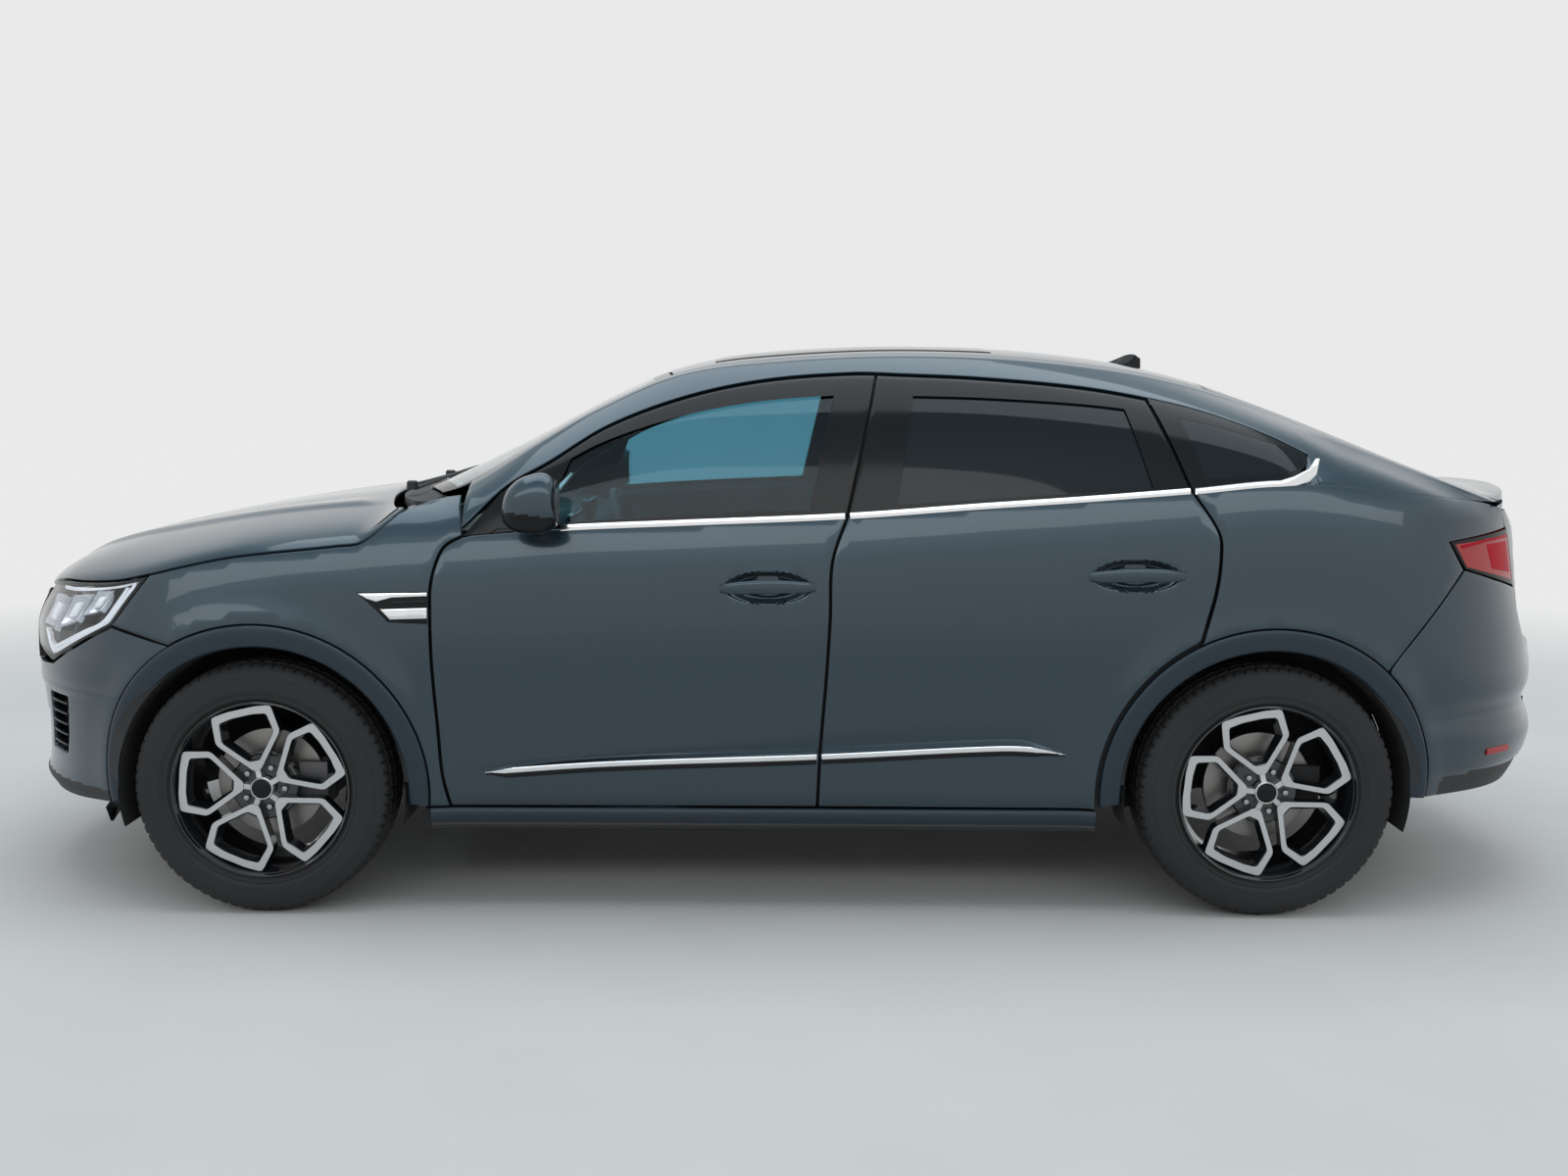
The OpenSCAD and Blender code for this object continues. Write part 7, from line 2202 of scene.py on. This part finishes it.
    def dash(self) -> None:
        """Dashboard with its pad, hood, screen, vents, console and column."""
        loop = [
            (-978, 702), (-978, 1000), (-930, 1030), (-800, 1044), (-690, 1040), (-620, 1012), (-604, 962),
            (-640, 930), (-622, 880), (-640, 800), (-700, 702),
        ]
        x, z = path(np.array(loop, float), np.linspace(0, 1, 70)).T
        y = np.concatenate([[-689], np.linspace(-684, 684, 81), [689]])[:, None]
        hood = np.exp(-(((y - self.driver_y) / 190) ** 4)) * ramp(z, 990, 1030)
        edge = 12 * (np.abs(y) / 690) ** 8 * (x > -900)
        p = xyz(x - edge + 12 * hood, y, z + 30 * hood * ramp(x, -800, -680))
        band = (mid_of(z) > 905) & (mid_of(z) < 985) & (mid_of(x) > -700)
        shell = Shell()
        shell.split(p, np.repeat(band[None], len(y) - 1, 0))
        shell.block((-640, -110, 900), (-618, 110, 1080), 8, 2)
        shell.block((-633, self.driver_y - 130, 985), (-620, self.driver_y + 130, 1062), 8, 2)
        for vent in (-640, -180, 180, 640):
            shell.block((-630, vent - 46, 934), (-606, vent + 46, 980), 6, 3)
            for low in (939, 949, 959, 969):
                shell.block((-604, vent - 40, low), (-600, vent + 40, low + 4), 1.5, 4)
        shell.block((-705, -108, 392.6), (60, 108, 592), 26, 0)
        shell.block((-705, -98, 580), (-600, 98, 800), 20, 0)
        shell.block((-420, -70, 588), (-140, 70, 600), 5, 3)
        knob = Shell()
        knob.lathe([(0, 96), (16, 94), (22, 82), (20, 62), (12, 46), (13, 10), (30, 0)], 32, 0)
        shell.join(knob.moved(lambda q: xyz(q[:, 0] - 260, q[:, 2], q[:, 1] + 598), flip=True))
        self.column(shell)
        finishes = [SOFT_TRIM, LEATHER, DISPLAY, GLOSS_BLACK, CHROME]
        shell.place("dashboard_dressed", "body", finishes, "black_plastic", ["dashboard"])

    def tilted(self, p: Points) -> Points:
        """Points about the steering hub, y along the column, to the car."""
        c, s = math.cos(math.radians(self.column_turn)), math.sin(math.radians(self.column_turn))
        x, y, z = p.T
        return np.array(self.wheel_hub) + xyz(x * c + y * s, z, y * c - x * s)

    def column(self, shell: Shell) -> None:
        """Steering column and its stalks."""
        tube = Shell()
        tube.lathe([(0, 18), (15.9, 18), (15.9, -30), (44, -34), (48, -60), (46, -200), (40, -240)], 40, 0)
        for k in (-1, 1):
            stalk = [(0, -60, 30 * k), (6, -52, 110 * k), (8, -46, 165 * k)]
            tube.sweep(stalk, slab(4, 7, 4, 7), ALONG_Y, 3)
        shell.join(tube.moved(self.tilted, flip=True))

    def steering(self) -> None:
        """Steering wheel: padded rim, three spokes and a plain hub pad."""
        shell = Shell()
        a = np.linspace(0, 2 * math.pi, 96, endpoint=False)[:, None]
        b = np.linspace(0, 2 * math.pi, 20, endpoint=False)
        fat = 14.5 + 1.2 * (np.abs(np.abs(np.sin(a)) - 0.9) < 0.1)
        r = self.wheel_r + fat * np.cos(b)
        p = xyz(r * np.cos(a), fat * np.sin(b), r * np.sin(a))
        shell.grid(np.concatenate([p, p[:1]]), 0, wrap=True)
        shell.lathe([(0, 30), (40, 28), (58, 20), (64, 4), (60, -12), (40, -18), (17, -18)], 48, 1)
        spoke = np.array([(48, 8), (90, 6), (130, 2), (158, 0)], float)
        inlay = np.array([(70, 13), (110, 11), (140, 7.5)])
        for turn in (90, 270, 0):
            c, s = math.cos(math.radians(turn)), math.sin(math.radians(turn))
            line, bright = (xyz(c * q[:, 0], q[:, 1], s * q[:, 0]) for q in (spoke, inlay))
            shell.sweep(line, np.array([bead(6, 8, k, 6, k) for k in (26, 20, 17, 20)]), ALONG_Y, 1)
            shell.sweep(bright, slab(2, 9, 3, 9), ALONG_Y, 2)
        wheel = shell.moved(self.tilted, flip=True)
        finishes = [LEATHER, SOFT_TRIM, GLOSS_BLACK]
        wheel.place("steering_wheel_dressed", "steering", finishes, "black_plastic", ["steering_wheel"])


@dataclass
class Stage:
    """Floor, light and camera."""

    eye: tuple[float, float, float] = (-0.004, -4.88, 1.4256)
    pitch: float = 7.445
    roll: float = 0.25
    lens: float = 34.92
    sensor: float = 36.0
    floor_half: float = 40.0
    backdrop: tuple[float, float, float] = (0.82, 0.825, 0.825)
    fade: tuple[float, float] = (3.6, 7.5)
    light_stops: Sequence[tuple[float, float]] = ((0.0, 0.28), (0.5, 0.4), (1.0, 0.5))
    room_stops: Sequence[tuple[float, float]] = (
        (0.0, 0.3), (0.44, 0.5), (0.47, 0.82), (0.64, 0.82), (0.74, 1.0), (0.86, 0.8), (1.0, 0.6),
    )

    def seen(self, tree: bpy.types.NodeTree) -> bpy.types.NodeSocket:
        """Nodes that tell the rays by which the eye, metal or glass sees the backdrop."""
        rays = add_node(tree, "LightPath").outputs
        total = rays["Is Camera Ray"]
        for name in ("Is Glossy Ray", "Is Transmission Ray"):
            total = add_node(tree, "Math", links={0: total, 1: rays[name]}, operation="MAXIMUM").outputs[0]
        return total

    def build(self) -> None:
        """Set the studio up."""
        scene = bpy.context.scene
        scene.view_settings.view_transform = "Standard"
        self.floor()
        self.world(scene)
        self.lamps()
        cam = bpy.data.cameras.new("camera")
        cam.lens, cam.sensor_width = self.lens, self.sensor
        obj = bpy.data.objects.new("camera", cam)
        obj.location = self.eye
        obj.rotation_euler = Euler((math.radians(90 - self.pitch), 0, 0))
        obj.rotation_euler.rotate_axis("Z", math.radians(self.roll))
        scene.collection.objects.link(obj)
        scene.camera = obj

    def floor(self) -> None:
        """Pale studio floor."""
        mesh = bpy.data.meshes.new("floor")
        s = self.floor_half
        mesh.from_pydata([(-s, -s, 0), (s, -s, 0), (s, s, 0), (-s, s, 0)], [], [(0, 1, 2, 3)])
        mesh.materials.append(FLOOR.material())
        self.melt(FLOOR.material().node_tree)
        obj = bpy.data.objects.new("floor", mesh)
        bpy.context.scene.collection.objects.link(obj)

    def melt(self, tree: bpy.types.NodeTree) -> None:
        """Let the floor pass into the backdrop away from the car."""
        place = add_node(tree, "TexCoord").outputs["Object"]
        far = add_node(tree, "VectorMath", links={0: place}, operation="LENGTH").outputs["Value"]
        ends = {"From Min": self.fade[0], "From Max": self.fade[1]}
        span = add_node(tree, "MapRange", ends, {"Value": far}, interpolation_type="SMOOTHSTEP")
        factors = {0: span.outputs["Result"], 1: self.seen(tree)}
        share = add_node(tree, "Math", links=factors, operation="MULTIPLY").outputs[0]
        glow = add_node(tree, "Emission", {"Color": (*self.backdrop, 1)}).outputs[0]
        plain = tree.nodes["Principled BSDF"].outputs[0]
        both = add_node(tree, "MixShader", links={0: share, 1: plain, 2: glow})
        tree.links.new(both.outputs[0], tree.nodes["Material Output"].inputs["Surface"])

    def world(self, scene: bpy.types.Scene) -> None:
        """Soft surround: the pale room that the eye, metal and glass see, and a dimmer light on the car."""
        world = bpy.data.worlds.new("studio")
        scene.world = world
        world.use_nodes = True
        tree = world.node_tree
        place = add_node(tree, "TexCoord").outputs["Generated"]
        height = add_node(tree, "SeparateXYZ", links={0: place}).outputs["Z"]
        level = add_node(tree, "MapRange", {"From Min": -1.0}, {"Value": height}).outputs["Result"]
        light = self.gradient(tree, level, self.light_stops)
        room = self.gradient(tree, level, self.room_stops)
        mixed = add_node(tree, "Mix", links={0: self.seen(tree), 6: light, 7: room}, data_type="RGBA")
        tree.links.new(mixed.outputs[2], tree.nodes["Background"].inputs["Color"])

    def gradient(
        self, tree: bpy.types.NodeTree, level: bpy.types.NodeSocket, stops: Sequence[tuple[float, float]]
    ) -> bpy.types.NodeSocket:
        """Grey that changes with height, with a cooler tint above 0.64.

        Args:
            tree: Node tree of the world.
            level: Socket that gives the height from 0 to 1.
            stops: (height, brightness) pairs.

        Returns:
            Colour socket.
        """
        made = add_node(tree, "ValToRGB", links={"Fac": level})
        ends = made.color_ramp.elements
        for k, (at, grey) in enumerate(stops):
            stop = ends[0] if k == 0 else ends[-1] if k == len(stops) - 1 else ends.new(at)
            stop.position = at
            cool = 0.25 * ramp(np.array(at), 0.64, 0.9)
            stop.color = (grey * (1 - cool), grey * (1 - cool * 0.4), grey, 1)
        return made.outputs["Color"]

    def lamps(self) -> None:
        """Large soft boxes above and beside the car."""
        for name, spot, turn, size, power in (
            ("top_box", (0, -0.4, 5.0), (0, 0, 0), (6.5, 4.0), 150),
            ("near_box", (0, -7.0, 4.2), (61, 0, 0), (20.0, 1.6), 150),
            ("far_box", (1.0, 7.0, 4.0), (-60, 0, 0), (6.0, 3.0), 90),
            ("nose_box", (-7.0, 0.5, 3.6), (0, -62, 0), (3.0, 3.4), 60),
            ("tail_box", (7.0, 0.5, 3.6), (0, 62, 0), (3.0, 3.4), 60),
        ):
            light = bpy.data.lights.new(name, "AREA")
            light.shape = "RECTANGLE"
            light.size, light.size_y = size
            light.energy = power
            light.color = (0.93, 0.97, 1.0) if name == "top_box" else (1.0, 1.0, 1.0)
            obj = bpy.data.objects.new(name, light)
            obj.location = spot
            obj.rotation_euler = Euler([math.radians(t) for t in turn])
            obj.visible_glossy = name in ("top_box", "near_box")
            bpy.context.scene.collection.objects.link(obj)


def dress_frame(nodes: dict[str, bpy.types.Object]) -> None:
    """Give every CAD node that still shows its finish."""
    finishes = {
        "floor_pan": UNDERSEAL, "roof_panel": PAINT, "fixed_glass": ROOF_GLASS, "front_bumper": PAINT,
        "headlamps": LENS, "rear_bumper": PAINT, "tail_lamps": RED_LENS, "engine": CAST,
        "front_subframe": UNDERSEAL, "rear_axle": UNDERSEAL, "exhaust": STEEL, "dashboard": SOFT_TRIM,
        "hinges": STEEL, "bonnet": PAINT, "tailgate": PAINT, "tailgate_glass": DARK_GLASS,
        "mirror_left": PAINT, "mirror_right": PAINT, "steering_wheel": LEATHER, "knuckle_left": CAST,
        "knuckle_right": CAST, "front_seats": CLOTH, "rear_bench": CLOTH,
    }
    for name, obj in nodes.items():
        obj.data.materials.clear()
        obj.data.materials.append(finishes.get(name, BLACK).material())


def main() -> None:
    """Build the looks in order and report each piece."""
    logging.basicConfig(level=logging.INFO, format="%(name)s: %(message)s")
    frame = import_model()
    dress_frame(frame["nodes"])
    Stage().build()
    for part in (BodySide(), Roof(), Bonnet(), Engine(), Nose(), Tail(), Cabin()):
        part.build()
    for side in Side:
        Mirror(side).build()
        for kind in DoorKind:
            Door(kind, side).build()
        for word, x in (("front", FRONT_X), ("rear", REAR_X)):
            tag = f"{word}_{side.word}"
            Wheel(f"wheel_{tag}", f"rim_{tag}", f"tyre_{tag}", x, side).build()


if __name__ == "__main__":
    main()
